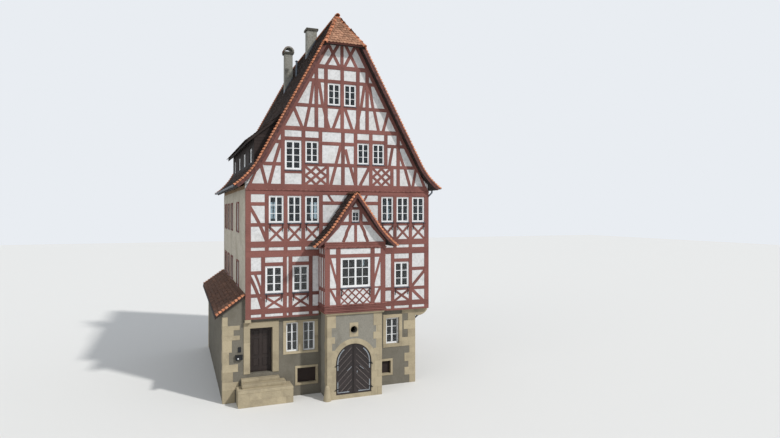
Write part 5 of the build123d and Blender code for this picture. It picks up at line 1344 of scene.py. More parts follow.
BAY_GABLE_WINDOW = ((-190, 190), (8530, 9020))
BAY_COLLAR = 9170
BAY_HEAD = 310
BAY_HEAD_TOP = 7550
BAY_POST = 865
BAY_OGEE = ((620, 0), (555, 0.18), (480, 0.36), (450, 0.52), (375, 0.7), (250, 0.96))
BAY_SIDE_POSTS = (-960, -480, -60)
WHOLE = (-HALF_WIDTH, HALF_WIDTH)
CORNER = HALF_WIDTH - CORNER_POST / 2
RAFTER_DEPTH = ROOF_THICKNESS + RAIL / 2
STOREYS = ((TIMBER_FOOT, STOREY_2_FOOT, STOREY_1_SPAN), (STOREY_2_FOOT, GABLE_FOOT, STOREY_2_SPAN))


def gaps(posts: Sequence[float], pairs: Sequence[tuple[int, int | None]]) -> list[Point]:
    """Clear spans between pairs of posts, or from the last post to the corner post."""
    ends = [HALF_WIDTH - CORNER_POST if b is None else posts[b] - POST / 2 for _, b in pairs]
    return [(posts[a] + POST / 2, end) for (a, _), end in zip(pairs, ends)]


def window_rails(span: Point) -> Point:
    """Middle heights of the rails under and over a row of windows."""
    return (span[0] - RAIL / 2, span[1] + RAIL / 2)


def storey_bars(
    levels: Point, spans: Sequence[Point], posts: Sequence[float], windows: Sequence[Point], beam: Point,
    z_span: Point,
) -> list[Bar]:
    """List the timbers that both front storeys share.

    Args:
        levels: The storey's foot and top.
        spans: Stretches of the wall that its beam and rail cross.
        posts: Middle lines of its posts.
        windows: Sides of its windows.
        beam: Foot and top of its beam.
        z_span: Foot and top of its windows.

    Returns:
        The timbers.
    """
    sill, head = window_rails(z_span)
    bars = [post(x, *levels) for x in posts]
    bars += [post(x, *levels, CORNER_POST) for x in (-CORNER, CORNER)]
    for span in spans:
        bars += [plate(*span, sum(beam) / 2, beam[1] - beam[0]), rail(*span, sill)]
    for span in windows:
        bars += [rail(*span, head), *crossed(span, (beam[1], sill - RAIL / 2))]
    return bars


def storey_1_bars() -> list[Bar]:
    """List the timbers of the first timber storey's front.

    Returns:
        The timbers.
    """
    low, high = TIMBER_FOOT, STOREY_2_FOOT
    first, last = STOREY_1_POSTS[0], STOREY_1_POSTS[-1]
    left_rail, right_rail = low + 2200, low + 2130
    sides = ((-HALF_WIDTH, BAY_CENTER - BAY_HALF), (BAY_CENTER + BAY_HALF, HALF_WIDTH))
    beam = (low + STOREY_1_BEAM, low + STOREY_1_BEAM + SILL_BEAM)
    windows = gaps(STOREY_1_POSTS, STOREY_1_WINDOWS)
    bars = storey_bars((low, high), sides, STOREY_1_POSTS, windows, beam, STOREY_1_SPAN)
    for side in sides:
        bars.append(plate(*side, high - TOP_PLATE / 2, TOP_PLATE))
        bars.append(plate(*side, low + STOREY_1_STRIP / 2, STOREY_1_STRIP))
    sill = STOREY_1_SPAN[0] - RAIL / 2
    foot = (first, sum(beam) / 2)
    return bars + [
        rail(-HALF_WIDTH, first, left_rail),
        rail(last, HALF_WIDTH, right_rail),
        bowed((-CORNER, left_rail), foot, 55),
        bowed((-CORNER + 2 * BRACE, left_rail), (first, foot[1] + 3 * BRACE), 55, SLIM_BRACE),
        brace((CORNER, right_rail), (last, sill)),
        brace((CORNER, beam[0]), (last, sill)),
    ]


def storey_2_bars() -> list[Bar]:
    """List the timbers of the second timber storey's front.

    Returns:
        The timbers.
    """
    low, high = STOREY_2_FOOT, GABLE_FOOT
    first, (left, right) = STOREY_2_POSTS[0], STOREY_2_POSTS[3:5]
    corner_rail, middle_rail = low + 2280, low + 2340
    beam = (low + STOREY_2_BEAM, low + STOREY_2_BEAM + FLOOR_BEAM)
    windows = gaps(STOREY_2_POSTS, STOREY_2_WINDOWS)
    bars = storey_bars((low, high), (WHOLE,), STOREY_2_POSTS, windows, beam, STOREY_2_SPAN)
    foot = STOREY_2_BEAM - JOIST_STRIP
    return bars + [
        plate(*WHOLE, high - SILL_BEAM / 2, SILL_BEAM),
        plate(*WHOLE, low + foot / 2, foot),
        rail(-HALF_WIDTH, first, corner_rail),
        rail(left, right, middle_rail),
        bowed((-CORNER, corner_rail), (first, beam[1]), 55),
        bowed((left + 250, high), (left + 660, middle_rail), -27, SLIM_BRACE),
        bowed((right - 600, high), (right - 930, middle_rail), 27, SLIM_BRACE),
    ]


def rafter_bars(top: float) -> list[Bar]:
    """List the right verge's rafter timbers.

    Args:
        top: Height where they end.

    Returns:
        The straight rafter and the flare's.
    """
    knee = MAIN_ROOF.flare_point(MAIN_ROOF.pitch, RAFTER_DEPTH)
    eave = MAIN_ROOF.flare_point(MAIN_ROOF.eave_pitch, RAFTER_DEPTH)
    head = (MAIN_ROOF.half_width(top, RAFTER_DEPTH), top)
    return [brace(knee, end, RAIL, Layer.PLATE) for end in (head, eave)]


GABLE_BRACES = (
    ((-3080, 12400), (-3420, 11310)), ((-3390, 11310), (-3650, 10300)), ((-4040, 11310), (-3780, 10300)),
    ((-4150, 11310), (-4560, 10300)), ((-80, 12400), (-350, 11350)), ((-350, 11300), (-620, 10300)),
    ((150, 12150), (340, 11350)), ((400, 11300), (700, 10300)), ((1400, 11250), (930, 10350)),
    ((2690, 12350), (2510, 11350)), ((2960, 12350), (3340, 11320)), ((3380, 11300), (3680, 10300)),
    ((4010, 11250), (3830, 10300)), ((4120, 11250), (4520, 10300)), ((-1480, 15500), (-1660, 14200)),
    ((-1220, 15500), (-1010, 14200)), ((1160, 15500), (970, 14250)), ((1410, 15500), (1630, 14250)),
    ((-2500, 14200), (-2030, 13100)), ((-1680, 14200), (-1920, 13100)), ((-980, 14200), (-690, 13100)),
    ((-100, 14200), (-510, 13100)), ((120, 14200), (520, 13100)), ((930, 14200), (690, 13100)),
    ((1670, 14250), (1930, 13100)), ((2480, 14250), (2150, 13100)), ((-880, GABLE_TOP), (-130, COLLAR_2)),
    ((-60, GABLE_TOP), (-880, COLLAR_2)), ((20, GABLE_TOP), (780, COLLAR_2)),
    ((800, GABLE_TOP), (60, COLLAR_2)),
)


def gable_bars() -> list[Bar]:
    """List the timbers of the gable, from its sill to the hip's eave.

    Returns:
        The timbers.
    """
    rafters = rafter_bars(GABLE_TOP)
    bars = rafters + mirrored(rafters)
    bars.append(plate(*WHOLE, GABLE_FOOT + SILL_BEAM / 2, SILL_BEAM))
    for z in (COLLAR_1, COLLAR_2):
        half = MAIN_ROOF.half_width(z, RAFTER_DEPTH)
        bars.append(plate(-half, half, z, COLLAR))
    bars.append(plate(-1200, 1200, GABLE_TOP - TOP_PLATE / 2, TOP_PLATE))
    for i, x in enumerate(ATTIC_POSTS):
        bars.append(post(x, ATTIC_RAIL if i in ATTIC_SHORT_POSTS else GABLE_FOOT, COLLAR_1))
    bars += [post(x, COLLAR_1, COLLAR_2) for x in TOP_POSTS]
    bars.append(post(-32, COLLAR_2, GABLE_TOP, 160))
    bars += [post(-765, GABLE_FOOT, ATTIC_RAIL, 130), post(2655, GABLE_FOOT, ATTIC_RAIL)]
    for x_span in ((-1895, -830), (1590, 2565)):
        bars += carved_lattice(x_span, (GABLE_FOOT + SILL_BEAM, ATTIC_RAIL - RAIL / 2))
    reach, upper_reach, head_half, sill_half = (
        MAIN_ROOF.half_width(z, RAFTER_DEPTH) for z in (*ATTIC_SPAN, *TOP_SPAN[::-1])
    )
    sill, head = window_rails(ATTIC_SPAN)
    top_sill, top_head = window_rails(TOP_SPAN)
    bars += [
        rail(-reach, ATTIC_POSTS[0], ATTIC_RAIL),
        rail(ATTIC_POSTS[0], ATTIC_POSTS[1], TALL_WINDOW_SILL - RAIL / 2),
        rail(ATTIC_POSTS[1], ATTIC_POSTS[5], sill),
        rail(ATTIC_POSTS[5], reach, ATTIC_RAIL),
        rail(-upper_reach, ATTIC_POSTS[0], ATTIC_HIGH_RAIL),
        rail(ATTIC_POSTS[0], ATTIC_POSTS[2], head),
        rail(ATTIC_POSTS[2], ATTIC_POSTS[4], ATTIC_HIGH_RAIL),
        rail(ATTIC_POSTS[4], ATTIC_POSTS[6], head),
        rail(ATTIC_POSTS[6], upper_reach, ATTIC_HIGH_RAIL),
        rail(-head_half, head_half, top_head),
        rail(-sill_half, sill_half, top_sill),
    ]
    return bars + [brace(start, end) for start, end in GABLE_BRACES]


def bay_bars() -> list[Bar]:
    """List the timbers of the bay's front and gable, about its own middle line.

    Returns:
        The timbers.
    """
    edge = BAY_ROOF.thickness + BRACE / 2
    knee = BAY_ROOF.flare_point(BAY_ROOF.pitch, edge)
    collar_half = BAY_ROOF.half_width(BAY_COLLAR, edge)
    low, high = BAY_WINDOW[1]
    gable_rail = BAY_GABLE_WINDOW[1][0] - RAIL / 2
    rise = gable_rail - BAY_HEAD_TOP
    side = BAY_HALF - CORNER_POST
    half = [
        brace(BAY_ROOF.apex(edge), knee, BRACE, Layer.PLATE),
        brace(knee, BAY_ROOF.flare_point(BAY_ROOF.eave_pitch, edge), BRACE, Layer.PLATE),
        post(BAY_HALF - CORNER_POST / 2, BAY_FOOT, BAY_HEAD_TOP, CORNER_POST),
        post(BAY_POST, BAY_FOOT, BAY_HEAD_TOP, 210),
        post(265, gable_rail, BAY_COLLAR, 150),
        brace((side, high), (BAY_POST, low), SLIM_BRACE),
        brace((side, low), (BAY_POST, BAY_SILL_TOP), SLIM_BRACE),
        (smooth([(x, BAY_HEAD_TOP + share * rise) for x, share in BAY_OGEE]), BRACE, Layer.BRACE),
    ]
    return [
        *half,
        *mirrored(half),
        plate(-BAY_HALF, BAY_HALF, (BAY_FOOT + BAY_SILL_TOP) / 2, BAY_SILL_TOP - BAY_FOOT),
        plate(-BAY_HALF, BAY_HALF, BAY_HEAD_TOP - BAY_HEAD / 2, BAY_HEAD),
        rail(-BAY_HALF, BAY_HALF, high + RAIL / 2),
        rail(-BAY_HALF, BAY_HALF, low - RAIL / 5, RAIL / 2.5),
        rail(-collar_half, collar_half, BAY_COLLAR, 120),
        rail(-BAY_HALF / 2, BAY_HALF / 2, gable_rail),
        post(0, BAY_HEAD_TOP, gable_rail, BRACE - 15),
        *diamonds(BAY_WINDOW[0], (BAY_SILL_TOP, low - RAIL / 2.5), 4, 2, 62),
    ]


def bay_side_bars() -> list[Bar]:
    """List the timbers of a side of the bay, along it from the main wall's face.

    Returns:
        The timbers.
    """
    low = BAY_FRONT - FRONT
    top = BAY_ROOF.height(BAY_HALF, BAY_ROOF.thickness)
    return [
        *(post(y, BAY_FOOT, top, BRACE) for y in BAY_SIDE_POSTS),
        plate(low, 0, (BAY_FOOT + BAY_SILL_TOP) / 2, BAY_SILL_TOP - BAY_FOOT),
        plate(low, 0, BAY_HEAD_TOP - BAY_HEAD / 2, BAY_HEAD),
        *(rail(low, 0, z) for z in window_rails(BAY_WINDOW[1])),
    ]


def right_bars() -> list[Bar]:
    """List the timbers of the plain side wall.

    Returns:
        The timbers.
    """
    ends = (FRONT + 120, BACK - 120)
    bars = []
    for foot, top, span in STOREYS:
        bars += [post(y, foot, top) for y in SIDE_POSTS]
        bars += [plate(*ends, z, SILL_BEAM) for z in (foot + SILL_BEAM / 2, top - SILL_BEAM / 2)]
        bars += [rail(*ends, z) for z in window_rails(span)]
        for start, end in (SIDE_POSTS[:2], SIDE_POSTS[:-3:-1]):
            bars.append(brace((start, span[1]), (end, foot)))
    return bars


def rear_bars() -> list[Bar]:
    """List the timbers of the rear wall, both storeys and the full gable.

    Returns:
        The timbers.
    """
    bars = []
    for low, high, span in STOREYS:
        beam = low + STOREY_2_BEAM
        foot = STOREY_2_BEAM - JOIST_STRIP
        bars += [post(x, low, high) for x in REAR_POSTS]
        bars += [post(x, low, high, CORNER_POST) for x in (-CORNER, CORNER)]
        bars.append(plate(*WHOLE, beam + FLOOR_BEAM / 2, FLOOR_BEAM))
        bars.append(plate(*WHOLE, low + foot / 2, foot))
        bars.append(plate(*WHOLE, high - SILL_BEAM / 2, SILL_BEAM))
        bars += [rail(*WHOLE, z) for z in window_rails(span)]
        braces = [brace((CORNER, span[1]), (REAR_POSTS[-1], beam + FLOOR_BEAM))]
        bars += braces + mirrored(braces)
    levels = (*window_rails(ATTIC_SPAN), *TOP_SPAN)
    for z, height in ((COLLAR_1, COLLAR), (COLLAR_2, COLLAR), *((level, RAIL) for level in levels)):
        half = MAIN_ROOF.half_width(z, RAFTER_DEPTH)
        bars.append(rail(-half, half, z, height))
    bars += [post(x, GABLE_FOOT, COLLAR_1) for x in REAR_GABLE_POSTS]
    bars += [post(x, COLLAR_1, COLLAR_2) for x in REAR_GABLE_POSTS[2:5]]
    bars.append(post(0, COLLAR_2, REAR_TOP))
    leaning = [
        *rafter_bars(REAR_TOP),
        brace((3800, ATTIC_SPAN[0]), (3300, GABLE_FOOT)),
        brace((1900, TOP_SPAN[0]), (1300, COLLAR_1)),
        brace((700, COLLAR_2), (150, 17200)),
    ]
    return [*bars, *leaning, *mirrored(leaning), plate(*WHOLE, GABLE_FOOT + SILL_BEAM / 2, SILL_BEAM)]


@dataclass
class TimberFrames:
    """The painted oak frames of every timbered wall."""

    depth: float = 40.0
    wobble: float = 5.0
    chamfer: float = 7.0
    widen: float = 4.0

    def roof_cuts(self) -> list[Triple]:
        """Cuts that keep timbers under the main slopes."""
        limit = MAIN_ROOF.apex(ROOF_THICKNESS - 25)[1]
        return [(MAIN_ROOF.slope, 1.0, limit), (-MAIN_ROOF.slope, 1.0, limit)]

    def side_cuts(self, half: float) -> list[Triple]:
        """Cuts that end timbers at a distance on either side of the middle line."""
        return [(1.0, 0.0, half), (-1.0, 0.0, half)]

    def dress(self, shape: Shape, wall: Wall, bars: Sequence[Bar], cuts: Sequence[Triple] = ()) -> None:
        """Add the timbers of one wall.

        Args:
            shape: Takes the timbers.
            wall: The wall that carries them.
            bars: The timbers.
            cuts: Weights and limits that clip the straight ones.
        """
        for path, width, layer in bars:
            front = layer.value + shape.random.uniform(-0.7, 0.7)
            back = front - self.depth
            if len(path) == 2:
                shape.bar(wall, *path, width + self.widen, back, front, self.chamfer, self.wobble, cuts)
            else:
                run = (path[-1][0] - path[0][0], path[-1][1] - path[0][1])
                shape.prism(wall, ribbon(path, width + self.widen), back, front, self.chamfer, run)

    def build(self) -> None:
        """Make every frame's piece."""
        span = self.side_cuts(HALF_WIDTH + 2)
        for name, wall, bars, cuts in (
            ("front_frame_1", FRONT_WALL, storey_1_bars(), [*span, (0, 1.0, STOREY_2_FOOT + 40)]),
            ("front_frame_2", FRONT_WALL, storey_2_bars(), span),
            ("front_gable_frame", FRONT_WALL, gable_bars(), [*span, *self.roof_cuts(), (0, 1.0, GABLE_TOP)]),
            ("bay_front_frame", BAY_WALL, bay_bars(), self.side_cuts(BAY_HALF)),
            ("right_frame", RIGHT_WALL, right_bars(), ()),
            ("rear_frame", REAR_WALL, mirrored(rear_bars()), span + self.roof_cuts()),
        ):
            shape = Shape(len(name) + len(bars))
            self.dress(shape, wall, bars, cuts)
            shape.place("oak_" + name, OAK, "red_timber", nodes=(name,))
        shape = Shape(5)
        self.dress(shape, BAY_RIGHT, bay_side_bars())
        self.dress(shape, BAY_LEFT, mirrored(bay_side_bars()))
        shape.place("oak_bay_side_frames", OAK, "red_timber", nodes=("bay_side_frames",))


# Windows
@dataclass(frozen=True)
class Window:
    """One glazed opening of a wall, its panes counted across both leaves and up."""

    wall: Wall
    x_span: Point
    z_span: Point
    columns: int = 2
    rows: int = 3
    setback: float = 30.0
    sill: bool = True
    leaves: int = 2


TWIN_LIGHTS = ((-2794, -2193.5), (-1963.5, -1363))
TWIN_SPAN = (2165, 3595)
RIGHT_LIGHT = (2400, 3130)
RIGHT_SPAN = (2120, 3480)
REAR_LIGHTS = ((-3300, -2300), (1200, 2200))
REAR_SPAN = (2000, 3400)
LEFT_WINDOWS = (3400, 6750, 8900, 10900)
LEFT_SPANS = ((5150, 6400), (7980, 9450))
DORMER_SPAN = (11480, 12200)
LEFT_WINDOW_HALF = 500
DORMER_WINDOW_HALF = 450
STONE_SETBACK = 100


def spread(middles: Sequence[float], half: float) -> list[Point]:
    """Spans on a wall that faces left, about places counted back from the front."""
    return [(-(FRONT + depth) - half, -(FRONT + depth) + half) for depth in middles]


@dataclass
class WindowJoinery:
    """Painted casings, sashes and glazing bars, with their sills.

    Attributes:
        casing: Width of a casing.
        sash: Width of a sash's members.
        bar: Width of a glazing bar.
        red_width: Width of the rendered wall's upright casings.
        full: Window width under which these widths shrink.
        windows: The windows.
        casings: Collects the red casings of the rendered wall.
    """

    casing: float = 62.0
    sash: float = 48.0
    bar: float = 34.0
    red_width: float = 90.0
    full: float = 900.0
    windows: list[Window] = field(default_factory=list)
    casings: Shape = field(default_factory=lambda: Shape(13))

    def red_casing(self, z_span: Point, middle: float) -> None:
        """Frame a window of the rendered side wall with red boards that stand proud.

        Args:
            z_span: The window's foot and top.
            middle: Its middle line on the wall.
        """
        low, high = z_span
        for s in (middle - LEFT_WINDOW_HALF - 25, middle + LEFT_WINDOW_HALF + 25):
            self.casings.bar(LEFT_WALL, (s, low - 50), (s, high + 80), self.red_width, -2, 42)
        half = LEFT_WINDOW_HALF - 20
        for z, height in ((high + 40, 80), (low - 20, 60)):
            self.casings.bar(LEFT_WALL, (middle - half, z), (middle + half, z), height, -2, 36)

    def collect(self) -> None:
        """List every window of the house."""
        for posts, pairs, span in (
            (STOREY_1_POSTS, STOREY_1_WINDOWS, STOREY_1_SPAN),
            (STOREY_2_POSTS, STOREY_2_WINDOWS, STOREY_2_SPAN),
            (ATTIC_POSTS, ATTIC_WINDOWS, ATTIC_SPAN),
            (TOP_POSTS, TOP_WINDOWS, TOP_SPAN),
        ):
            self.windows += [Window(FRONT_WALL, gap, span) for gap in gaps(posts, pairs)]
        tall = gaps(ATTIC_POSTS, ((0, 1),))[0]
        self.windows.append(Window(FRONT_WALL, tall, (TALL_WINDOW_SILL, ATTIC_SPAN[1]), rows=4))
        for light, span in (*((light, TWIN_SPAN) for light in TWIN_LIGHTS), (RIGHT_LIGHT, RIGHT_SPAN)):
            self.windows.append(Window(STONE_WALL, light, span, setback=STONE_SETBACK, sill=False))
        self.windows.append(Window(BAY_WALL, *BAY_WINDOW, columns=4, rows=3))
        self.windows.append(Window(BAY_WALL, *BAY_GABLE_WINDOW, rows=2, leaves=1))
        for posts, pairs, span in (
            (REAR_POSTS, REAR_WINDOWS, STOREY_1_SPAN),
            (REAR_POSTS, REAR_WINDOWS, STOREY_2_SPAN),
            (REAR_GABLE_POSTS, REAR_GABLE_WINDOWS, ATTIC_SPAN),
        ):
            self.windows += [Window(REAR_WALL, (-b, -a), span) for a, b in gaps(posts, pairs)]
        for a, b in REAR_LIGHTS:
            self.windows.append(Window(STONE_REAR, (-b, -a), REAR_SPAN, setback=STONE_SETBACK))
        for light in spread(LEFT_WINDOWS, LEFT_WINDOW_HALF):
            for span in LEFT_SPANS:
                self.windows.append(Window(LEFT_WALL, light, span))
                self.red_casing(span, sum(light) / 2)
        for gap in gaps(SIDE_POSTS, SIDE_WINDOWS):
            self.windows += [Window(RIGHT_WALL, gap, span) for span in (STOREY_1_SPAN, STOREY_2_SPAN)]
        for light in spread(DORMER_WINDOWS, DORMER_WINDOW_HALF):
            self.windows.append(Window(DORMER_WALL, light, DORMER_SPAN, rows=2))

    def frame(
        self, shape: Shape, wall: Wall, outline: tuple[Point, Point], width: float, depth: Point
    ) -> None:
        """Add a rectangular frame of four members.

        Args:
            shape: Takes the frame.
            wall: The wall that carries it.
            outline: Its sides, and its foot and top.
            width: Width of its members.
            depth: Where it starts and ends, out from the wall's face.
        """
        (a, b), (c, d) = outline
        half = width / 2
        for start, end in (
            ((a, c + half), (b, c + half)),
            ((a, d - half), (b, d - half)),
            ((a + half, c + width), (a + half, d - width)),
            ((b - half, c + width), (b - half, d - width)),
        ):
            shape.bar(wall, start, end, width, *depth, 5)

    def window(self, shape: Shape, window: Window) -> None:
        """Add one window's casing, sashes and bars.

        Args:
            shape: Takes the joinery.
            window: The window.
        """
        (left, right), (low, high) = window.x_span, window.z_span
        share = min(1.0, (right - left) / self.full)
        casing, sash, bar = (share * width for width in (self.casing, self.sash, self.bar))
        face, wall, leaves = -window.setback, window.wall, window.leaves
        back = face - 60
        self.frame(shape, wall, (window.x_span, window.z_span), casing, (back, face))
        start, width = left + casing, (right - left - 2 * casing) / leaves
        foot, top = low + casing, high - casing
        for leaf in range(leaves):
            span = (start + width * leaf, start + width * (leaf + 1))
            self.frame(shape, wall, (span, (foot, top)), sash, (back, face - 12))
            columns = window.columns // leaves
            for i in range(1, columns):
                x = span[0] + sash + (span[1] - span[0] - 2 * sash) * i / columns
                shape.bar(wall, (x, foot), (x, top), bar, face - 40, face - 16, 4)
            for i in range(1, window.rows):
                z = foot + (top - foot) * i / window.rows
                shape.bar(wall, (span[0], z), (span[1], z), bar, face - 40, face - 16, 4)
        if leaves == 2:
            middle = (left + right) / 2
            shape.bar(wall, (middle, foot), (middle, top), 44, face - 20, face - 4, 5)

    def sill(self, shape: Shape, window: Window) -> None:
        """Add one window's sheet sill, which falls outwards and turns down at its edge.

        Args:
            shape: Takes the sill.
            window: The window.
        """
        (left, right), low = window.x_span, window.z_span[0]
        back = -window.setback
        section = ((back + 4, low + 12), (38, low - 22), (38, low - 40), (back, low - 26))
        rings = [[window.wall.point(x, z, d) for d, z in section] for x in (left - 15, right + 15)]
        shape.loops(rings, tone=0)

    def build(self) -> None:
        """Make the joinery, the sills and the red casings of the rendered wall."""
        self.collect()
        joinery, sills = Shape(11), Shape(12)
        for window in self.windows:
            self.window(joinery, window)
            if window.sill:
                self.sill(sills, window)
        joinery.place("window_joinery", WHITE_PAINT, "white_paint", nodes=("window_casings",))
        self.casings.place("side_casings", OAK, "red_timber")
        sills.place("window_sills", ZINC, "dark_iron", nodes=("window_sills",))


# Roof covering
DORMER_COVER = (FRONT + 560, FRONT + 10940)
DORMER_REACH = (-4.2, 13.95)
STACK_HOLES = (((-0.64, -0.01), (-1.03, -0.4)), ((-1.53, -1.0), (1.27, 1.83)))
HIP_COLUMNS = 13
HIP_CAPS_END = 0.97
LEAN_TO_TOP = 5090
LEAN_TO_ROWS = (MASONRY_FRONT - 150, 12500)
DORMER_SLOPE = (2500, 4600)
DORMER_ROWS = (FRONT + 420, 10660)
BAY_ROWS = (BAY_FRONT - 250, 1470)
MAIN_ROWS = (HIP_EDGE + 20, BACK - FRONT + 2 * VERGE - 40)
VERGE_LINES = (HIP_EDGE + 60, BACK + VERGE - 86)
BAY_VERGE_LINE = BAY_FRONT - 205
LEAN_TO_VERGE_LINES = (MASONRY_FRONT - 90, BACK - 10)
LEAN_TO_VERGE = (-4790, -5945)


def over_hip(places: np.ndarray) -> np.ndarray:
    """Whether tiles of the main slopes lie over the half hip."""
    return places[:, 2] > (HIP_EAVE + (places[:, 1] / MM - HIP_EDGE) * HIP_SLOPE) * MM + 0.03


def off_hip(places: np.ndarray) -> np.ndarray:
    """Whether tiles of the half hip lie past its sides."""
    return np.abs(places[:, 0]) > (RIDGE * MM - places[:, 2]) / MAIN_ROOF.slope + 0.02


def in_main(places: np.ndarray) -> np.ndarray:
    """Whether tiles lie under the main slopes."""
    return places[:, 2] < RIDGE * MM - np.abs(places[:, 0]) * MAIN_ROOF.slope - 0.04


def in_dormer(places: np.ndarray) -> np.ndarray:
    """Find the left slope's tiles that make way for the dormer, a chimney or the hip.

    Args:
        places: Centres of the tiles.

    Returns:
        Whether each of them is left out.
    """
    x, y, z = places.T
    start, end = DORMER_COVER
    inside = (y > start * MM) & (y < end * MM) & (x > DORMER_REACH[0]) & (z < DORMER_REACH[1])
    for xs, ys in STACK_HOLES:
        inside |= (x > xs[0]) & (x < xs[1]) & (y > ys[0]) & (y < ys[1])
    return inside | over_hip(places)


@dataclass
class TiledRoofs:
    """Clay tiles on every slope, with their caps and verges.

    Attributes:
        course: Distance between courses, in metres.
        width: Distance between tiles of a course, in metres.
        stagger: Shift of every other course, as a share of the width.
        jitter: Largest tilt of a tile in radians.
        cap_step: Distance between ridge caps, in metres.
        hip_cap_step: Distance between hip caps, in metres.
        bead_step: Distance between verge tiles, in metres.
        verge_end: Share of the eave's last stretch that the verge tiles cover.
        cap_drop: Depth of the caps' centres below the ridge, in metres.
        eave_back: How far the courses end before the eave, in metres.
        tile: Mesh of a plain tile.
        cap: Mesh of a ridge cap.
        hip_cap: Mesh of a hip cap.
        bead: Mesh of a verge tile.
    """

    course: float = 0.185
    width: float = 0.18
    stagger: float = 0.5
    jitter: float = 0.012
    cap_step: float = 0.27
    hip_cap_step: float = 0.33
    bead_step: float = 0.157
    verge_end: float = 0.73
    cap_drop: float = 0.05
    eave_back: float = 0.065
    tile: Mesh = field(default_factory=plain_tile)
    cap: Mesh = field(default_factory=lambda: cap_tile(0.34, 0.125))
    hip_cap: Mesh = field(default_factory=lambda: cap_tile(0.4, 0.125, 0.55, 0.03, 9))
    bead: Mesh = field(default_factory=lambda: cap_tile(0.19, 0.115, 0.42, 0.03, 9))

    def rows(self, path: Sequence[Vector], across: Vector, columns: int, seed: int) -> Courses:
        """Courses of plain tiles down a path."""
        measures = (self.width, columns, self.stagger, self.jitter, seed)
        return Courses(path, self.tile, self.course, across, *measures)

    def slope(
        self, name: str, line: Sequence[Point], span: Point, drop: Drop | None, seed: int,
        turn: bool = False, finish: Finish = CLAY_TILE,
    ) -> Mesh:
        """Lay tiles down a section line in x and z, in millimetres.

        Args:
            name: Name of the mesh.
            line: The slope from top to eave.
            span: Where the rows start in y, and their length.
            drop: Which tiles to leave out, by their centres.
            seed: Seed of the tilts and tones.
            turn: Whether the slope falls to the other side, by a half turn about Z.
            finish: Finish of the tiles.

        Returns:
            The mesh.
        """
        start, run = span
        first = -(start + run) if turn else start
        path = [Vector((x, first, z)) * MM for x, z in line]
        path[-1] -= (path[-1] - path[-2]).normalized() * self.eave_back

        def dropped(centers: np.ndarray) -> np.ndarray:
            """Whether tiles lie past the rows' ends or are to be left out.

            Args:
                centers: Centres of the tiles.

            Returns:
                Whether each of them is left out.
            """
            places = centers * np.array((-1, -1, 1)) if turn else centers
            outside = (places[:, 1] < start * MM + 0.04) | (places[:, 1] > (start + run) * MM - 0.04)
            return outside | drop(places) if drop is not None else outside

        columns = round(run * MM / self.width) + 1
        mesh = self.rows(path, Vector((0, 1, 0)), columns, seed).build(name, finish, dropped)
        if turn:
            mesh.transform(Matrix.Rotation(pi, 4, "Z"))
        return mesh

    def main(self) -> None:
        """Tile the two main slopes."""
        line = MAIN_ROOF.line(0, 8)
        right = self.slope("tiles_right", line, MAIN_ROWS, over_hip, 3)
        place_piece("tiles_right", right, CLAY_TILE)
        # The left slope takes the tiles darkened as painted shade
        left = self.slope("tiles_left", line, MAIN_ROWS, in_dormer, 4, turn=True, finish=SHADED_SLOPE_TILE)
        place_piece("tiles_left", left, SHADED_SLOPE_TILE)

    def hip(self) -> None:
        """Tile the half hip over the front gable, with caps on its hips and the ridge."""
        tip = Vector((0, HIP_EDGE + HIP_RUN, RIDGE)) * MM
        foot = Vector((0, HIP_EDGE, HIP_EAVE)) * MM
        path = [Vector((-self.width * (HIP_COLUMNS - 1) / 2, 0, 0)) + p for p in (tip, foot)]
        # The half hip takes the tiles lightened as painted sunlight
        tiles = self.rows(path, ALONG_X, HIP_COLUMNS, 8).build("tiles_hip", SUNLIT_HIP_TILE, off_hip)
        place_piece("tiles_hip", tiles, SUNLIT_HIP_TILE)
        caps = []
        reach = MAIN_ROOF.half_width(HIP_EAVE) * MM
        drop = UP * self.cap_drop
        for side in (-1, 1):
            corner = tip.lerp(Vector((side * reach, HIP_EDGE * MM, HIP_EAVE * MM)), HIP_CAPS_END)
            line, across = [tip - drop, corner - drop], UP.cross(corner - tip)
            rows = Courses(line, self.hip_cap, self.hip_cap_step, across, seed=20 + side)
            caps.append(rows.build("hip_caps", FRESH_TILE))
        ridge_end = Vector((0, (BACK + VERGE - 85) * MM, RIDGE * MM))
        rows = Courses([ridge_end - drop, tip - drop], self.cap, self.cap_step, ALONG_X, seed=9)
        caps.append(rows.build("ridge_caps", CLAY_TILE))
        name = "ridge_and_hip_caps"
        place_piece(name, joined(name, caps), FRESH_TILE, nodes=("ridge_caps",))

    def verges(self) -> None:
        """Lay the rounded verge tiles along every gable edge."""
        beads = []
        for side in (-1, 1):
            for y in VERGE_LINES:
                line = [(side * x, y, z) for x, z in MAIN_ROOF.line(-15, 10)]
                if y < 0:
                    top = (side * MAIN_ROOF.half_width(HIP_EAVE, -15), y, HIP_EAVE)
                    line = [top] + [p for p in line if p[2] < HIP_EAVE]
                line[-1] = tuple(a + (b - a) * self.verge_end for a, b in zip(line[-2], line[-1]))
                beads.append((line, side))
            line = [(BAY_CENTER + side * x, BAY_VERGE_LINE, z) for x, z in BAY_ROOF.line(-12, 8)]
            beads.append((line, side))
        fall = tan(radians(LEAN_TO_PITCH))
        for y in LEAN_TO_VERGE_LINES:
            line = [(x, y, LEAN_TO_TOP - 10 + (x + HALF_WIDTH) * fall) for x in LEAN_TO_VERGE]
            beads.append((line, -1))
        meshes = []
        for line, side in beads:
            path = [Vector(p) * MM for p in line]
            across = Vector((0, side, 0))
            rows = Courses(path, self.bead, self.bead_step, across, jitter=0.02, seed=len(meshes) + 30)
            meshes.append(rows.build("verge", FRESH_TILE))
        place_piece("verge_tiles", joined("verge_tiles", meshes), FRESH_TILE)

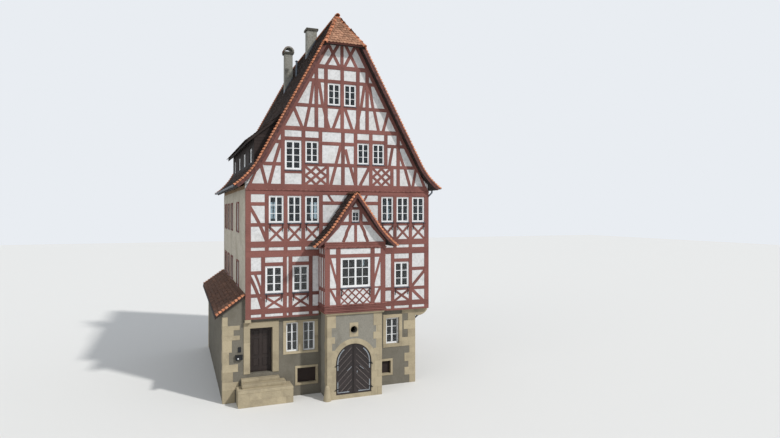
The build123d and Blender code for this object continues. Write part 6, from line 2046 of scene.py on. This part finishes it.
    def small_roofs(self) -> None:
        """Tile the bay, the dormer and the lean-to."""
        line = BAY_ROOF.line(0, 8)
        right = self.slope("tiles_bay_right", line, BAY_ROWS, None, 5)
        # The bay's left slope takes the tiles darkened as painted shade
        left = self.slope("tiles_bay_left", line, BAY_ROWS, None, 6, turn=True, finish=SHADED_SLOPE_TILE)
        for mesh in (right, left):
            mesh.transform(Matrix.Translation((BAY_CENTER * MM, 0, 0)))
        ridge = [Vector((BAY_CENTER, y, BAY_ROOF.ridge)) * MM for y in (FRONT, BAY_FRONT - 70)]
        caps = Courses(ridge, self.cap, self.cap_step, ALONG_X, seed=12).build("bay_caps", CLAY_TILE)
        place_piece("tiles_bay_left", left, SHADED_SLOPE_TILE)
        place_piece("tiles_bay", joined("tiles_bay", [right, caps]), CLAY_TILE)
        top, eave = DORMER_SLOPE
        line = [(top, DORMER_EAVE + (eave - top) * tan(radians(DORMER_PITCH))), (eave, DORMER_EAVE)]
        # The dormer's slope takes the tiles darkened as painted shade
        dormer = self.slope("tiles_dormer", line, DORMER_ROWS, in_main, 7, turn=True, finish=SHADED_SLOPE_TILE)
        place_piece("tiles_dormer", dormer, SHADED_SLOPE_TILE)
        fall = tan(radians(LEAN_TO_PITCH))
        line = [(HALF_WIDTH + reach, LEAN_TO_TOP - reach * fall) for reach in (10, 1220)]
        lean = self.slope("tiles_lean_to", line, LEAN_TO_ROWS, None, 10, turn=True)
        place_piece("tiles_lean_to", lean, CLAY_TILE)

    def build(self) -> None:
        """Make every covering."""
        self.main()
        self.hip()
        self.verges()
        self.small_roofs()


# Stone dressings
@dataclass(frozen=True)
class Surround:
    """Sizes of one opening's stone surround and of its lights, along the wall and up."""

    x_span: Point
    z_span: Point
    lights: tuple[Point, ...]
    light_z: Point


SURROUNDS = (
    Surround((-4815, -3154), (1290, 3750), ((-4515, -3454),), (1290, 3450)),
    Surround((-2944, -1213), (2060, 3700), TWIN_LIGHTS, TWIN_SPAN),
    Surround((2230, 3300), (1950, 3650), (RIGHT_LIGHT,), RIGHT_SPAN),
    Surround((-2360, -1210), (500, 1450), ((-2250, -1320),), (610, 1340)),
    Surround((1710, 2760), (500, 1360), ((1820, 2650),), (610, 1250)),
)
AISLE_STONES = (
    (620, 560, 380), (360, 730, 330), (470, 470, 620), (360, 700, 300), (570, 290, 560), (570, 420, 300),
    (210, 780, 480), (260, 500, 300), (210, 780, 450), (420, 230, 380),
)
TREADS = ((-4930, -3180), (-4930, -2900), STEPS_SPAN)
TREAD_TOP = 1115
TREAD_RISE = 175
TREAD_RUN = 300
OCULUS_BLOCK = (2960, 3640)
OCULUS_BLOCK_HALF = 215


@dataclass
class StoneDressings:
    """Jointed sandstone: surrounds, corner stones, the gate's arch and the steps' treads.

    Attributes:
        joint: Half the chamfer that shows a joint.
        proud: How far corner stones stand before the render.
        depth: Where surrounds start and end, out from the wall's face.
        arch_depth: Where the gate's arch starts and ends.
        arch_stones: Wedge stones of the gate's arch.
    """

    joint: float = 7.0
    proud: float = 12.0
    depth: Point = (-270, 30)
    arch_depth: Point = (-450, 8)
    arch_stones: int = 11

    def surround(self, shape: Shape, sizes: Surround) -> None:
        """Build one surround of a lintel, a sill, jambs and mullions.

        Args:
            shape: Takes the stones.
            sizes: Sizes of the surround.
        """
        (foot, top), (low, high) = sizes.z_span, sizes.light_z
        if foot < low:
            shape.prism(STONE_WALL, rectangle(sizes.x_span, (foot, low)), *self.depth, self.joint, (1, 0))
        shape.prism(STONE_WALL, rectangle(sizes.x_span, (high, top)), *self.depth, self.joint, (1, 0))
        edges = [sizes.x_span[0], *(x for light in sizes.lights for x in light), sizes.x_span[1]]
        for span in zip(edges[::2], edges[1::2]):
            self.stack(shape, STONE_WALL, span, sizes.light_z, self.depth)

    def stack(self, shape: Shape, wall: Wall, x_span: Point, z_span: Point, depth: Point) -> None:
        """Build an upright strip of stones of uneven height.

        Args:
            shape: Takes the stones.
            wall: The wall that carries them.
            x_span: Sides of the strip.
            z_span: Its foot and top.
            depth: Where it starts and ends, out from the wall's face.
        """
        low, high = z_span
        count = max(1, round((high - low) / 620))
        cuts = []
        for i in range(count + 1):
            stray = shape.random.uniform(-0.15, 0.15) * (0 < i < count)
            cuts.append(low + (high - low) * (i + stray) / count)
        for cut in zip(cuts, cuts[1:]):
            shape.prism(wall, rectangle(x_span, cut), *depth, self.joint, (1, 0))

    def corner(self, shape: Shape, place: Point, ways: Point, stones: Sequence[Triple]) -> None:
        """Build corner stones up from the ground.

        Args:
            shape: Takes the stones.
            place: The corner in x and y.
            ways: Signs that point from the corner along x and y into the walls.
            stones: Height, reach along x and reach along y of each stone.
        """
        z = 0.0
        for height, *reach in stones:
            near = [place[i] - ways[i] * self.proud for i in range(2)]
            far = [place[i] + ways[i] * reach[i] for i in range(2)]
            low, high = (list(map(pick, near, far)) for pick in (min, max))
            shape.box((*low, z), (*high, z + height), self.joint)
            z += height

    def long_and_short(self, shape: Shape, top: float, reach: float) -> list[Triple]:
        """Choose corner stones of which every other one is long.

        Args:
            shape: Gives the random numbers.
            top: Height that they fill.
            reach: Reach along x of a long stone.

        Returns:
            Height, reach along x and reach along y of each stone.
        """
        stones, z = [], 0.0
        while z < top - 1:
            height = min(shape.random.uniform(300, 470), top - z)
            height = top - z if top - z - height < 200 else height
            reaches = (reach, 300) if len(stones) % 2 else (reach * 0.55, 520)
            stones.append((height, *(r * shape.random.uniform(0.85, 1.1) for r in reaches)))
            z += height
        return stones

    def corners(self, shape: Shape) -> None:
        """Build the stones of the aisle, of the masonry's right corner and of the porch.

        Args:
            shape: Takes the stones.
        """
        self.corner(shape, (AISLE_LEFT, MASONRY_FRONT), (1, 1), AISLE_STONES)
        self.corner(shape, (AISLE_LEFT, MASONRY_BACK), (1, -1), AISLE_STONES)
        for place, ways, top, reach in (
            ((MASONRY_RIGHT, MASONRY_FRONT), (-1, 1), TIMBER_FOOT, 700),
            ((MASONRY_RIGHT, MASONRY_BACK), (-1, -1), TIMBER_FOOT, 700),
            ((PORCH_SPAN[0], PORCH_FRONT), (1, 1), PORCH_TOP, 420),
            ((PORCH_SPAN[1], PORCH_FRONT), (-1, 1), PORCH_TOP, 420),
        ):
            self.corner(shape, place, ways, self.long_and_short(shape, top, reach))

    def arch(self, shape: Shape) -> None:
        """Build the gate's ring of wedge stones on stacked jambs, and the block round the small round window.

        Args:
            shape: Takes the stones.
        """
        inner, outer = GATE_HALF, GATE_HALF + GATE_RING
        center = (GATE_CENTER, GATE_SPRING)
        for i in range(self.arch_stones):
            turns = (180 * i / self.arch_stones, 180 * (i + 1) / self.arch_stones)
            outline = arc(center, outer, *turns, 4) + arc(center, inner, *turns[::-1], 4)
            shape.prism(PORCH_WALL, outline, *self.arch_depth, self.joint, (1, 0))
        for side in (-1, 1):
            span = sorted((GATE_CENTER + side * inner, GATE_CENTER + side * outer))
            self.stack(shape, PORCH_WALL, span, (0, GATE_SPRING), self.arch_depth)
        low, high = OCULUS_BLOCK
        for side in (-1, 1):
            edge = GATE_CENTER + side * OCULUS_BLOCK_HALF
            outline = [(GATE_CENTER, low), (edge, low), (edge, high), (GATE_CENTER, high)]
            outline += arc(OCULUS_CENTER, 172, 90, 90 - side * 180, 10)
            shape.prism(PORCH_WALL, outline, -20, 12, 0, (1, 0))
        shape.ring(PORCH_WALL, OCULUS_CENTER, (172, 205), (-10, 22))

    def treads(self, shape: Shape) -> None:
        """Lay the steps' slabs, each a little over the one below, on two courses of stones.

        Args:
            shape: Takes the stones.
        """
        for i, (left, right) in enumerate(TREADS):
            near, top = MASONRY_FRONT - TREAD_RUN * (i + 1), TREAD_TOP - TREAD_RISE * i
            joint = left + (right - left) * (0.45 + 0.1 * (i % 2))
            for a, b in ((left - 14, joint), (joint, right + 14)):
                shape.box((a, near - 14, top - 130), (b, near + 330, top + 6), 14)
        (left, right), near, out = STEPS_SPAN, MASONRY_FRONT - STEPS_DEPTH, self.proud
        for course in range(2):
            low, high = 310 * course, 310 * (course + 1)
            x = left - out
            while x < right:
                wide = shape.random.uniform(420, 700)
                end = right + out if x + wide > right - 250 else x + wide
                shape.box((x, near - out, low), (end, near + 90, high), self.joint)
                x = end
            for x in (left, right):
                for y in (near + 90, near + 495):
                    shape.box((x - out, y, low), (x + out, y + 405, high), self.joint)

    def build(self) -> None:
        """Make the stone pieces."""
        shape = Shape(41)
        for sizes in SURROUNDS:
            self.surround(shape, sizes)
        shape.place("stone_surrounds", SANDSTONE, "sandstone", nodes=("entry_surround", "window_surrounds"))
        shape = Shape(42)
        self.arch(shape)
        shape.place("stone_gate_arch", SANDSTONE, "sandstone", nodes=("gate_arch", "gate_jambs"))
        shape = Shape(43)
        self.corners(shape)
        self.treads(shape)
        shape.place("stone_corners_and_treads", SANDSTONE, "sandstone")


# Hinged leaves
STRAP_SHAPE = ((0.0, 30), (0.62, 21), (0.8, 17), (0.86, 32), (1.0, 3))
STRAP_NAILS = (0.15, 0.4, 0.7)
GATE_LEDGES = ((480, 75), (1450, 75), (2120, 260))
GATE_HINGES = (450, 1600)
GATE_GRIPS = {-1: ((330, 1340), (123, 1520)), 1: ((494, 1355), (300, 1515))}
GATE_FACE = PORCH_FRONT + 20
GATE_PIN_Y = PORCH_FRONT - 30
GATE_GAP = 9
DOOR_FACE = -5825
DOOR_SPAN = (-4540, -3429)
DOOR_HEIGHTS = (1300, 3475)
DOOR_HINGES = (1500, 3150)
HANDLE_HEIGHT = 2370


@dataclass
class Leaves:
    """The gate's two boarded leaves and the panelled entry door, with their ironwork.

    Attributes:
        strap: Height and thickness of a strap.
        gate_reach: How far a strap lies over the gate.
        door_reach: How far a strap lies over the door.
        eye: Inner and outer radius of a hinge's eye.
        crank: Length of a hinge's root.
        board: Width of the gate's boards.
        bead: Width of the beads between them.
        band: Width of the steel bands.
        band_inset: Distance from the leaf's edge to a band's middle line.
        clearance: Gap between the gate's leaves and their arch.
        foot: Height of the gate's foot.
        border: Width of the gate's edge without beads.
        stile: Width of the door's outer stiles.
    """

    strap: Point = (60.0, 10.0)
    gate_reach: float = 175.0
    door_reach: float = 520.0
    eye: Point = (11.0, 20.0)
    crank: float = 28.0
    board: float = 109.0
    bead: float = 14.0
    band: float = 50
    band_inset: float = 85
    clearance: float = 8
    foot: float = 216
    border: float = 105
    stile: float = 165

    def hinge(self, shape: Shape, pivot: Point, face: float, way: int, level: float, reach: float) -> None:
        """Add a strap hinge: a hollow eye round the pin, a cranked root and a strap with a pointed tip.

        Args:
            shape: Takes the ironwork.
            pivot: The pin in x and y.
            face: The leaf's face in y.
            way: Sign of x that points over the leaf.
            level: Height of the pin's foot.
            reach: How far the strap lies over the leaf.
        """
        x, y = pivot
        height, thick = self.strap
        low, middle = level + 2, level + 2 + height / 2
        shape.eye(Vector((x, y, low)) * MM, (self.eye[0] * MM, self.eye[1] * MM), height * MM)
        near = x + way * 12
        root = sorted((near, x + way * (10 + self.crank)))
        depth = sorted((y, face))
        shape.box((root[0], depth[0], low), (root[1], depth[1], low + height), 2)
        wall, turn = (rear_facing(face), -1) if y > face else (front_facing(face), 1)
        outline = [(turn * (near + way * (reach - 12) * share), half) for share, half in STRAP_SHAPE]
        ring = [(s, middle + half) for s, half in outline] + [(s, middle - half) for s, half in outline[::-1]]
        shape.prism(wall, ring, 0, thick, 2, (1, 0))
        for share in STRAP_NAILS:
            s = turn * (near + way * (reach - 12) * share)
            shape.tube([wall.point(s, middle, thick - 2), wall.point(s, middle, thick + 5)], [0.011, 0.006])

    def boards(self, wood: Shape, beads: Shape, wall: Wall, outline: list[Point], side: int) -> None:
        """Board one leaf of the gate on the slant, with a bead over every other joint.

        Args:
            wood: Takes the boards.
            beads: Takes the beads.
            wall: The leaf's face.
            outline: The leaf's corners.
            side: Sign of x on which it hangs.
        """
        slant = (side * 0.7071, 0.7071)
        run = (slant[1], -slant[0])
        reach = [slant[0] * x + slant[1] * z for x, z in outline]
        inner = inset(outline if area(outline) > 0 else outline[::-1], self.border)
        start, half, beaded = min(reach), self.bead / 2, False
        while start < max(reach):
            strip = clip(clip(outline, *slant, start + self.board), -slant[0], -slant[1], -start)
            if len(strip) > 2 and abs(area(strip)) > 500:
                wood.prism(wall, strip, -12, 0, 3, run)
            strip = clip(clip(inner, *slant, start + half), -slant[0], -slant[1], half - start)
            if beaded and len(strip) > 2 and abs(area(strip)) > 500:
                beads.prism(wall, strip, -4, 6, 3, run)
            beaded = not beaded
            start += self.board

    def bands(self, shape: Shape, wall: Wall, side: int) -> None:
        """Add the steel bands, the grip and the keyhole plate of one leaf of the gate.

        Args:
            shape: Takes them.
            wall: The leaf's face.
            side: Sign of x on which it hangs.
        """
        radius = GATE_HALF - self.clearance - self.band_inset
        near = GATE_CENTER + side * radius
        start = 90 + 90 * -side
        upper = [(near, 1370), *arc((GATE_CENTER, GATE_SPRING), radius, start, 90 - side * 37, 9)]
        lower = [(near - side * 570, self.foot + 95), (near, self.foot + 95), (near, 820)]
        for path in (upper, lower):
            shape.prism(wall, ribbon(path, self.band), -2, 7, 1)
        a, b = ((GATE_CENTER + side * s, z) for s, z in GATE_GRIPS[side])
        path = ((a, -2), (a, 34), (b, 34), (b, -2))
        shape.tube([wall.point(*place, depth) for place, depth in path], 0.014)
        if side > 0:
            shape.prism(wall, rectangle((GATE_CENTER + 150, GATE_CENTER + 190), (1200, 1290)), -1, 7, 1)

    def gate(self, side: int) -> None:
        """Build one leaf of the gate.

        Args:
            side: Sign of x on which it hangs.
        """
        wall = front_facing(GATE_FACE)
        radius = GATE_HALF - self.clearance
        edge, meet = GATE_CENTER + side * radius, GATE_CENTER + side * GATE_GAP
        crown = GATE_SPRING + (radius**2 - GATE_GAP**2) ** 0.5
        curve = arc((GATE_CENTER, GATE_SPRING), radius, 90 + 90 * -side, 90 - side * 0.6, 14)
        outline = [(meet, self.foot), (edge, self.foot), *curve[:-1], (meet, crown)]
        wood, beads = Shape(50 + side), Shape(56)
        wood.prism(wall, outline, -50, -9, 0)
        self.boards(wood, beads, wall, outline, side)
        for z, reach in GATE_LEDGES:
            wood.bar(wall, (meet + side * 70, z), (edge - side * reach, z), 130, -76, -48)
        # The left leaf's meeting strip takes the darkest tone, as painted shade for the gap between the
        # leaves
        if side < 0:
            wood.bar(wall, (meet - 36, self.foot), (meet - 36, crown - 3), 72, -2, 14, tone=-1.0)
        name = "left" if side < 0 else "right"
        body = "gate_leaf_" + name
        wood.place("gate_boards_" + name, GATE_OAK, "gate_wood", body, (body,))
        # The beads' pale paint is a painted highlight along the joints
        beads.place("gate_beads_" + name, GATE_BEAD, "gate_wood", body)
        bands, iron = Shape(53), Shape(54)
        self.bands(bands, wall, side)
        bands.place("gate_bands_" + name, STEEL_BAND, "dark_iron", body)
        for level in GATE_HINGES:
            self.hinge(iron, (edge, GATE_PIN_Y), GATE_FACE, -side, level, self.gate_reach)
        iron.place("gate_ironwork_" + name, IRON, "dark_iron", body)

    def panels(self, wood: Shape, wall: Wall) -> None:
        """Frame the door and fill its six panels.

        Args:
            wood: Takes the joinery.
            wall: The door's face.
        """
        (left, right), (low, high) = DOOR_SPAN, DOOR_HEIGHTS
        stiles = (left, left + self.stile, -4050, -3919, right - self.stile, right)
        for a, b in zip(stiles[::2], stiles[1::2]):
            wood.bar(wall, ((a + b) / 2, low), ((a + b) / 2, high), b - a, -50, 0, 3)
        rails = (low, low + 230, 1960, 2090, 2890, 3010, high - 150, high)
        for a, b in zip(stiles[1:5:2], stiles[2:5:2]):
            for c, d in zip(rails[::2], rails[1::2]):
                wood.bar(wall, (a, (c + d) / 2), (b, (c + d) / 2), d - c, -50, -1, 3)
            for c, d in zip(rails[1:-1:2], rails[2:-1:2]):
                wood.prism(wall, rectangle((a, b), (c, d)), -46, -18, 0)
                wood.prism(wall, rectangle((a + 34, b - 34), (c + 34, d - 34)), -20, -6, 16)
                for p, q in (((a, c), (b, c)), ((a, d), (b, d)), ((a, c), (a, d)), ((b, c), (b, d))):
                    wood.bar(wall, p, q, 22, -20, 5)

    def door(self) -> None:
        """Build the framed and panelled entry door, with its hinges and handle."""
        wall = front_facing(DOOR_FACE)
        wood, iron = Shape(61), Shape(62)
        self.panels(wood, wall)
        wood.place("door_panels", DOOR_OAK, "door_wood", "entry_door", ("entry_door",))
        for level in DOOR_HINGES:
            pivot = (DOOR_SPAN[0], DOOR_FACE + 80)
            self.hinge(iron, pivot, DOOR_FACE + 50, 1, level, self.door_reach)
        x = DOOR_SPAN[1] - 95
        iron.prism(wall, rectangle((x - 24, x + 24), (HANDLE_HEIGHT - 160, HANDLE_HEIGHT + 80)), 0, 5, 2)
        iron.tube([wall.point(x, HANDLE_HEIGHT, d) for d in (0, 52)], 0.011, 10)
        lever = ((x, HANDLE_HEIGHT, 50), (x - 60, HANDLE_HEIGHT + 4, 54), (x - 120, HANDLE_HEIGHT - 4, 50))
        iron.tube([wall.point(*place) for place in lever], [0.011, 0.010, 0.007], 10)
        iron.place("door_ironwork", IRON, "dark_iron", "entry_door")

    def build(self) -> None:
        """Build all three leaves."""
        self.gate(-1)
        self.gate(1)
        self.door()


# Small fittings
BAY_BEADS = ((4185, 24, 12), (4262, 34, 26), (4330, 16, 8), (4402, 20, 14), (7425, 18, 8), (7520, 22, 12))
CHIMNEYS = (((-610, -40), (-1000, -430), 19700), ((-1500, -1030), (1300, 1800), 18850))
CHIMNEY_ARCH = (-1265, 18976)
CHIMNEY_ARCH_RADIUS = 306
LETTER_BOX = (
    ((-5190, -125, 2010), (-4870, 0, 2235), 12),
    ((-5200, -140, 2215), (-4860, 2, 2247), 8),
    ((-5150, -131, 2150), (-4910, -120, 2172), 3),
    ((-5070, -45, 2370), (-4930, 0, 2610), 10),
)


@dataclass
class Fittings:
    """Ironwork, mouldings, pegs and other small parts fixed to the walls and roofs."""

    bracket_out: float = 230.0
    bracket_drop: float = 330.0
    peg: float = 13.0
    gutter: float = 79
    hangers: int = 15
    board: float = 172

    def bracket(self, shape: Shape, wall: Wall, s: float, z: float) -> None:
        """Add a forged bracket: an arm, a curved stay and a curl.

        Args:
            shape: Takes the ironwork.
            wall: The wall that carries it.
            s: Its place along the wall.
            z: Height of its arm.
        """
        out, drop = self.bracket_out, self.bracket_drop
        shape.tube([wall.point(s, z, d) for d in (-4, out)], 0.009, 6)
        low, high = (0.25 * out, z - 0.62 * drop), (0.62 * out, z - 0.3 * drop)
        stay = smooth([(4, z - drop), low, high, (out - 6, z)], 4)
        shape.tube([wall.point(s, height, d) for d, height in stay], 0.008, 6)
        turns = [0.5 * i - 1.5 for i in range(9)]
        curl = [wall.point(s, z + 34 * sin(t) + 34, out - 6 - 30 * cos(t) * (1 - t / 9)) for t in turns]
        shape.tube(curl, [0.008 - 0.0005 * i for i in range(9)], 6)
        shape.prism(wall, rectangle((s - 16, s + 16), (z - drop - 20, z + 20)), -2, 6, 2)

    def brackets(self) -> None:
        """Hang the brackets under the windows of the front."""
        shape = Shape(71)
        for wall, spans, sill, inward in (
            (FRONT_WALL, gaps(STOREY_2_POSTS, STOREY_2_WINDOWS), STOREY_2_SPAN[0], 60),
            (FRONT_WALL, gaps(STOREY_1_POSTS, STOREY_1_WINDOWS), STOREY_1_SPAN[0], 60),
            (BAY_WALL, BAY_WINDOW[:1], BAY_WINDOW[1][0], 50),
        ):
            for left, right in spans:
                for s in (left + inward, right - inward):
                    self.bracket(shape, wall, s, sill - 60)
        shape.place("window_brackets", IRON, "dark_iron")

    def pegs_of(self, shape: Shape, wall: Wall, bars: Sequence[Bar]) -> None:
        """Drive two oak pegs through each joint of a rail or plate with a post.

        Args:
            shape: Takes the pegs.
            wall: The wall that carries the timbers.
            bars: The timbers.
        """
        posts = [bar for bar in bars if bar[2] is Layer.POST]
        level = [
            (path, height, layer) for path, height, layer in bars
            if layer in (Layer.RAIL, Layer.PLATE) and len(path) == 2 and path[0][1] == path[1][1]
        ]
        for ((x, low), (_, high)), width, _ in posts:
            for ((left, z), (right, _)), height, layer in level:
                if low - 10 < z < high + 10 and left - 60 < x < right + 60:
                    front = max(layer.value, Layer.POST.value)
                    for k in (-1, 1):
                        place = (x + k * width * 0.22, z - k * height * 0.18)
                        ends = [wall.point(*place, d) for d in (front - 6, front + 7)]
                        shape.tube(ends, [self.peg * MM, self.peg * 0.8 * MM], 6)

    def pegs(self) -> None:
        """Peg the front's timbers."""
        shape = Shape(72)
        for bars in (storey_1_bars(), storey_2_bars(), gable_bars()):
            self.pegs_of(shape, FRONT_WALL, bars)
        self.pegs_of(shape, BAY_WALL, bay_bars())
        shape.place("oak_pegs", OAK, "red_timber")

    def mouldings(self) -> None:
        """Run the beads of the bay's foot and eaves, and the line under the hip."""
        shape = Shape(73)
        for height, radius, out in BAY_BEADS:
            left, right, near = BAY_CENTER - BAY_HALF - out, BAY_CENTER + BAY_HALF + out, BAY_FRONT - out
            corners = ((left, FRONT), (left, near), (right, near), (right, FRONT))
            shape.tube([Vector((x, y, height)) * MM for x, y in corners], radius * MM, 10)
        shape.place("oak_beads", OAK, "red_timber")
        shape = Shape(74)
        reach = MAIN_ROOF.half_width(HIP_EAVE)
        outline = rectangle((-reach, reach), (HIP_EAVE - 175, HIP_EAVE - 70))
        shape.prism(front_facing(HIP_EDGE - 6), outline, -20, 8, 4, (1, 0))
        shape.place("hip_eave_board", OAK, "red_timber")

    def wall_boxes(self) -> None:
        """Fix the letter box and the bell box beside the entry."""
        shape, label, face = Shape(75), Shape(76), MASONRY_FRONT
        for (x0, y0, z0), (x1, y1, z1), chamfer in LETTER_BOX:
            shape.box((x0, face + y0, z0), (x1, face + y1, z1), chamfer)
        shape.place("letter_box", IRON, "dark_iron")
        label.box((-5105, face - 130, 2060), (-5035, face - 120, 2110), 2)
        label.place("letter_box_label", WHITE_PAINT, "white_paint")

    def gutter_hangers(self) -> None:
        """Hang the gutters from a strap every so often."""
        shape = Shape(77)
        x, z = MAIN_ROOF.flare_point(MAIN_ROOF.eave_pitch)
        run = BACK - FRONT + 2 * VERGE - 500
        hoop = arc((x + 75, z), self.gutter, 180, 324, 8)
        for side in (-1, 1):
            for i in range(self.hangers):
                y = HIP_EDGE + 250 + i * run / (self.hangers - 1)
                for path, radius in ((hoop, 0.008), (((x - 4, z + 2), (x + 146, z + 2)), 0.003)):
                    shape.tube([Vector((side * a, y, b)) * MM for a, b in path], radius, 6)
        shape.place("gutter_hangers", ZINC, "dark_iron")

    def chimney_fittings(self) -> None:
        """Dress the chimneys with sheet flashings, slab edges and the tiles of the arched cap."""
        zinc, tiles, slab = Shape(78), Shape(79), Shape(80)
        for (x0, x1), (y0, y1), top in CHIMNEYS:
            low, high = (RIDGE + MAIN_ROOF.slope * x for x in (x0, x1))
            for wall, turn in ((front_facing(y0), 1), (rear_facing(y1), -1)):
                outline = [(x0, low - 20), (x1, high - 20), (x1, high + 190), (x0, low + 190)]
                zinc.prism(wall, [(turn * x, z) for x, z in outline], 0, 6, 0)
            zinc.prism(left_facing(x0), rectangle((-y1 - 8, -y0 + 8), (low - 60, low + 230)), 0, 7, 2)
            slab.box((x0 - 74, y0 - 74, top - 2), (x1 + 74, y1 + 74, top + 119.5), 12)
        for i in range(5):
            for x, z in arc(CHIMNEY_ARCH, CHIMNEY_ARCH_RADIUS, 4, 176, 6):
                center = Vector((x, 1296 + i * 130, z)) * MM
                run = Vector((CHIMNEY_ARCH[1] - z, 0, x - CHIMNEY_ARCH[0])) / CHIMNEY_ARCH_RADIUS * 0.085
                tiles.tube([center - run, center + run], 0.026, 6)
        zinc.place("chimney_flashings", ZINC, "dark_iron")
        slab.place("chimney_slabs", SLAB_STONE, "stone_render")
        tiles.place("chimney_arch_tiles", CLAY_TILE, "clay_tile")

    def dormer_boards(self) -> None:
        """Board the dormer's wall upright and its near cheek level, with dark frames round the windows."""
        shape = Shape(81)
        y = DORMER_START
        openings = spread(DORMER_WINDOWS, 510)
        while y < DORMER_START + 10440:
            inside = any(a < -y - 82.5 < b for a, b in openings)
            for span in ((11080, 11470), (12210, 12560)) if inside else ((11080, 12560),):
                shape.prism(DORMER_WALL, rectangle((-(y + 165), -y), span), -8, 14, 4)
            y += self.board
        cheek = front_facing(DORMER_START)
        z = 11300
        while z < 14000:
            left = max(DORMER_LEFT, -4600 + (z + 200 - DORMER_EAVE) / tan(radians(DORMER_PITCH)))
            right = -(RIDGE - z + 60) / MAIN_ROOF.slope if z > 11500 else -4120
            if right - left > 120:
                shape.prism(cheek, rectangle((left, right), (z, z + 158)), -8, 12, 4, (1, 0))
            z += 164
        shape.place("dormer_boarding", STAINED_BOARD, "dark_boards")

    def build(self) -> None:
        """Make every fitting."""
        self.brackets()
        self.pegs()
        self.mouldings()
        self.wall_boxes()
        self.gutter_hangers()
        self.chimney_fittings()
        self.dormer_boards()


# Solids that stay in view
CARRIED = {
    PLASTER: (
        "bay_front_infill", "bay_side_infill", "front_gable_infill", "front_infill_1", "front_infill_2",
        "rear_infill", "right_infill",
    ),
    # The left wall's plaster, darkened as painted shade
    SHADED_CREAM_PLASTER: ("left_wall",),
    # The stone storey's render, darkened as painted shade
    SHADED_ROUGH_RENDER: (
        "front_wall_left", "front_wall_middle", "front_wall_right", "ground_side_walls", "rear_ground_wall",
        "door_plinth", "front_lintels", "base_slab",
    ),
    PORCH_RENDER: ("porch_side_walls", "porch_arch_wall"),
    SANDSTONE: ("porch_cornice", "stone_consoles", "gate_threshold", "entry_steps", "porch_piers"),
    STAINED_BOARD: (
        "roof_left", "roof_right", "roof_hip", "bay_roof", "dormer_roof", "dormer_walls", "lean_to_roof",
        "cellar_hatches",
    ),
    FLOORBOARD: ("attic_floors", "storey_floors", "ground_floor", "bay_floor", "aisle_girder"),
    CHIMNEY_RENDER: ("chimneys",),
    ZINC: ("gutters", "vent_pipe"),
    OAK_MOULDING: ("front_mouldings",),
    # The verge boards take the red paint darkened as painted shade
    SHADED_VERGE_BOARD: ("verge_boards",),
    IRON: ("hinge_pins",),
    PANE: ("window_panes",),
}


def dress_solids() -> None:
    """Give each solid that stays in view its finish."""
    for finish, names in CARRIED.items():
        for name in names:
            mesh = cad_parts[name].data
            mesh.materials.clear()
            mesh.materials.append(PALETTE.get(finish))
            LOG.info("%s: %s", name, finish.name)


# Studio
@dataclass
class Studio:
    """Plain pale floor, soft light and the camera, in metres and degrees, its lens in millimetres."""

    floor_half: float = 150.0
    floor_color: str = "#d9d7d2"
    sky_light: tuple[str, float] = ("#dfe6f0", 0.75)
    sky_seen: tuple[str, float] = ("#e9edf2", 1.0)
    suns: tuple[tuple[str, float, Triple, float], ...] = (
        ("key_sun", 2.7, (48, 0, 38), 3.0),
        ("fill_sun", 0.3, (60, 0, -60), 40.0),
    )
    camera_place: Triple = (-7.7655, -33.1465, 8.95)
    camera_yaw: float = 21.011
    lens: float = 25.615
    shift: float = -0.0077

    def floor(self) -> None:
        """Lay the floor."""
        half = self.floor_half
        corners = [(x, y, 0) for x, y in rectangle((-half, half), (-half, half))]
        mesh = plain_mesh("studio_floor", corners, [range(4)])
        material = bpy.data.materials.new("studio_floor")
        material.use_nodes = True
        shader = material.node_tree.nodes["Principled BSDF"]
        shader.inputs["Base Color"].default_value = linear(self.floor_color)
        shader.inputs["Roughness"].default_value = 0.9
        mesh.materials.append(material)
        add_object("studio_floor", mesh)

    def light(self) -> None:
        """Light the scene, with a plain backdrop behind it and its glass."""
        world = bpy.data.worlds.new("studio")
        bpy.context.scene.world = world
        world.use_nodes = True
        tree = world.node_tree
        tree.nodes.clear()
        path = add_node(tree, "ShaderNodeLightPath").outputs
        rays = {0: path["Is Camera Ray"], 1: path["Is Transmission Ray"]}
        seen = add_node(tree, "ShaderNodeMath", rays, operation="MAXIMUM")
        light, show = (
            add_node(tree, "ShaderNodeBackground", {"Color": linear(color), "Strength": strength}).outputs[0]
            for color, strength in (self.sky_light, self.sky_seen)
        )
        mix = add_node(tree, "ShaderNodeMixShader", {0: seen.outputs[0], 1: light, 2: show})
        add_node(tree, "ShaderNodeOutputWorld", {"Surface": mix.outputs[0]})
        for name, energy, turn, angle in self.suns:
            data = bpy.data.lights.new(name, "SUN")
            data.energy = energy
            data.angle = radians(angle)
            add_object(name, data).rotation_euler = [radians(v) for v in turn]

    def camera(self) -> None:
        """Set up the camera."""
        data = bpy.data.cameras.new("front_camera")
        data.lens = self.lens
        data.sensor_width = 36
        data.shift_y = self.shift
        data.clip_end = 500
        camera = add_object("front_camera", data)
        camera.location = self.camera_place
        camera.rotation_euler = (radians(90), 0, -radians(self.camera_yaw))
        bpy.context.scene.camera = camera
        bpy.context.scene.view_settings.view_transform = "Standard"

    def build(self) -> None:
        """Set up the floor, the lights and the camera."""
        self.floor()
        self.light()
        self.camera()


def main() -> None:
    """Build the house's looks and the studio in order."""
    logging.basicConfig(level=logging.INFO, format="%(name)s %(message)s")
    dress_solids()
    TimberFrames().build()
    WindowJoinery().build()
    TiledRoofs().build()
    StoneDressings().build()
    Leaves().build()
    Fittings().build()
    Studio().build()


if __name__ == "__main__":
    main()
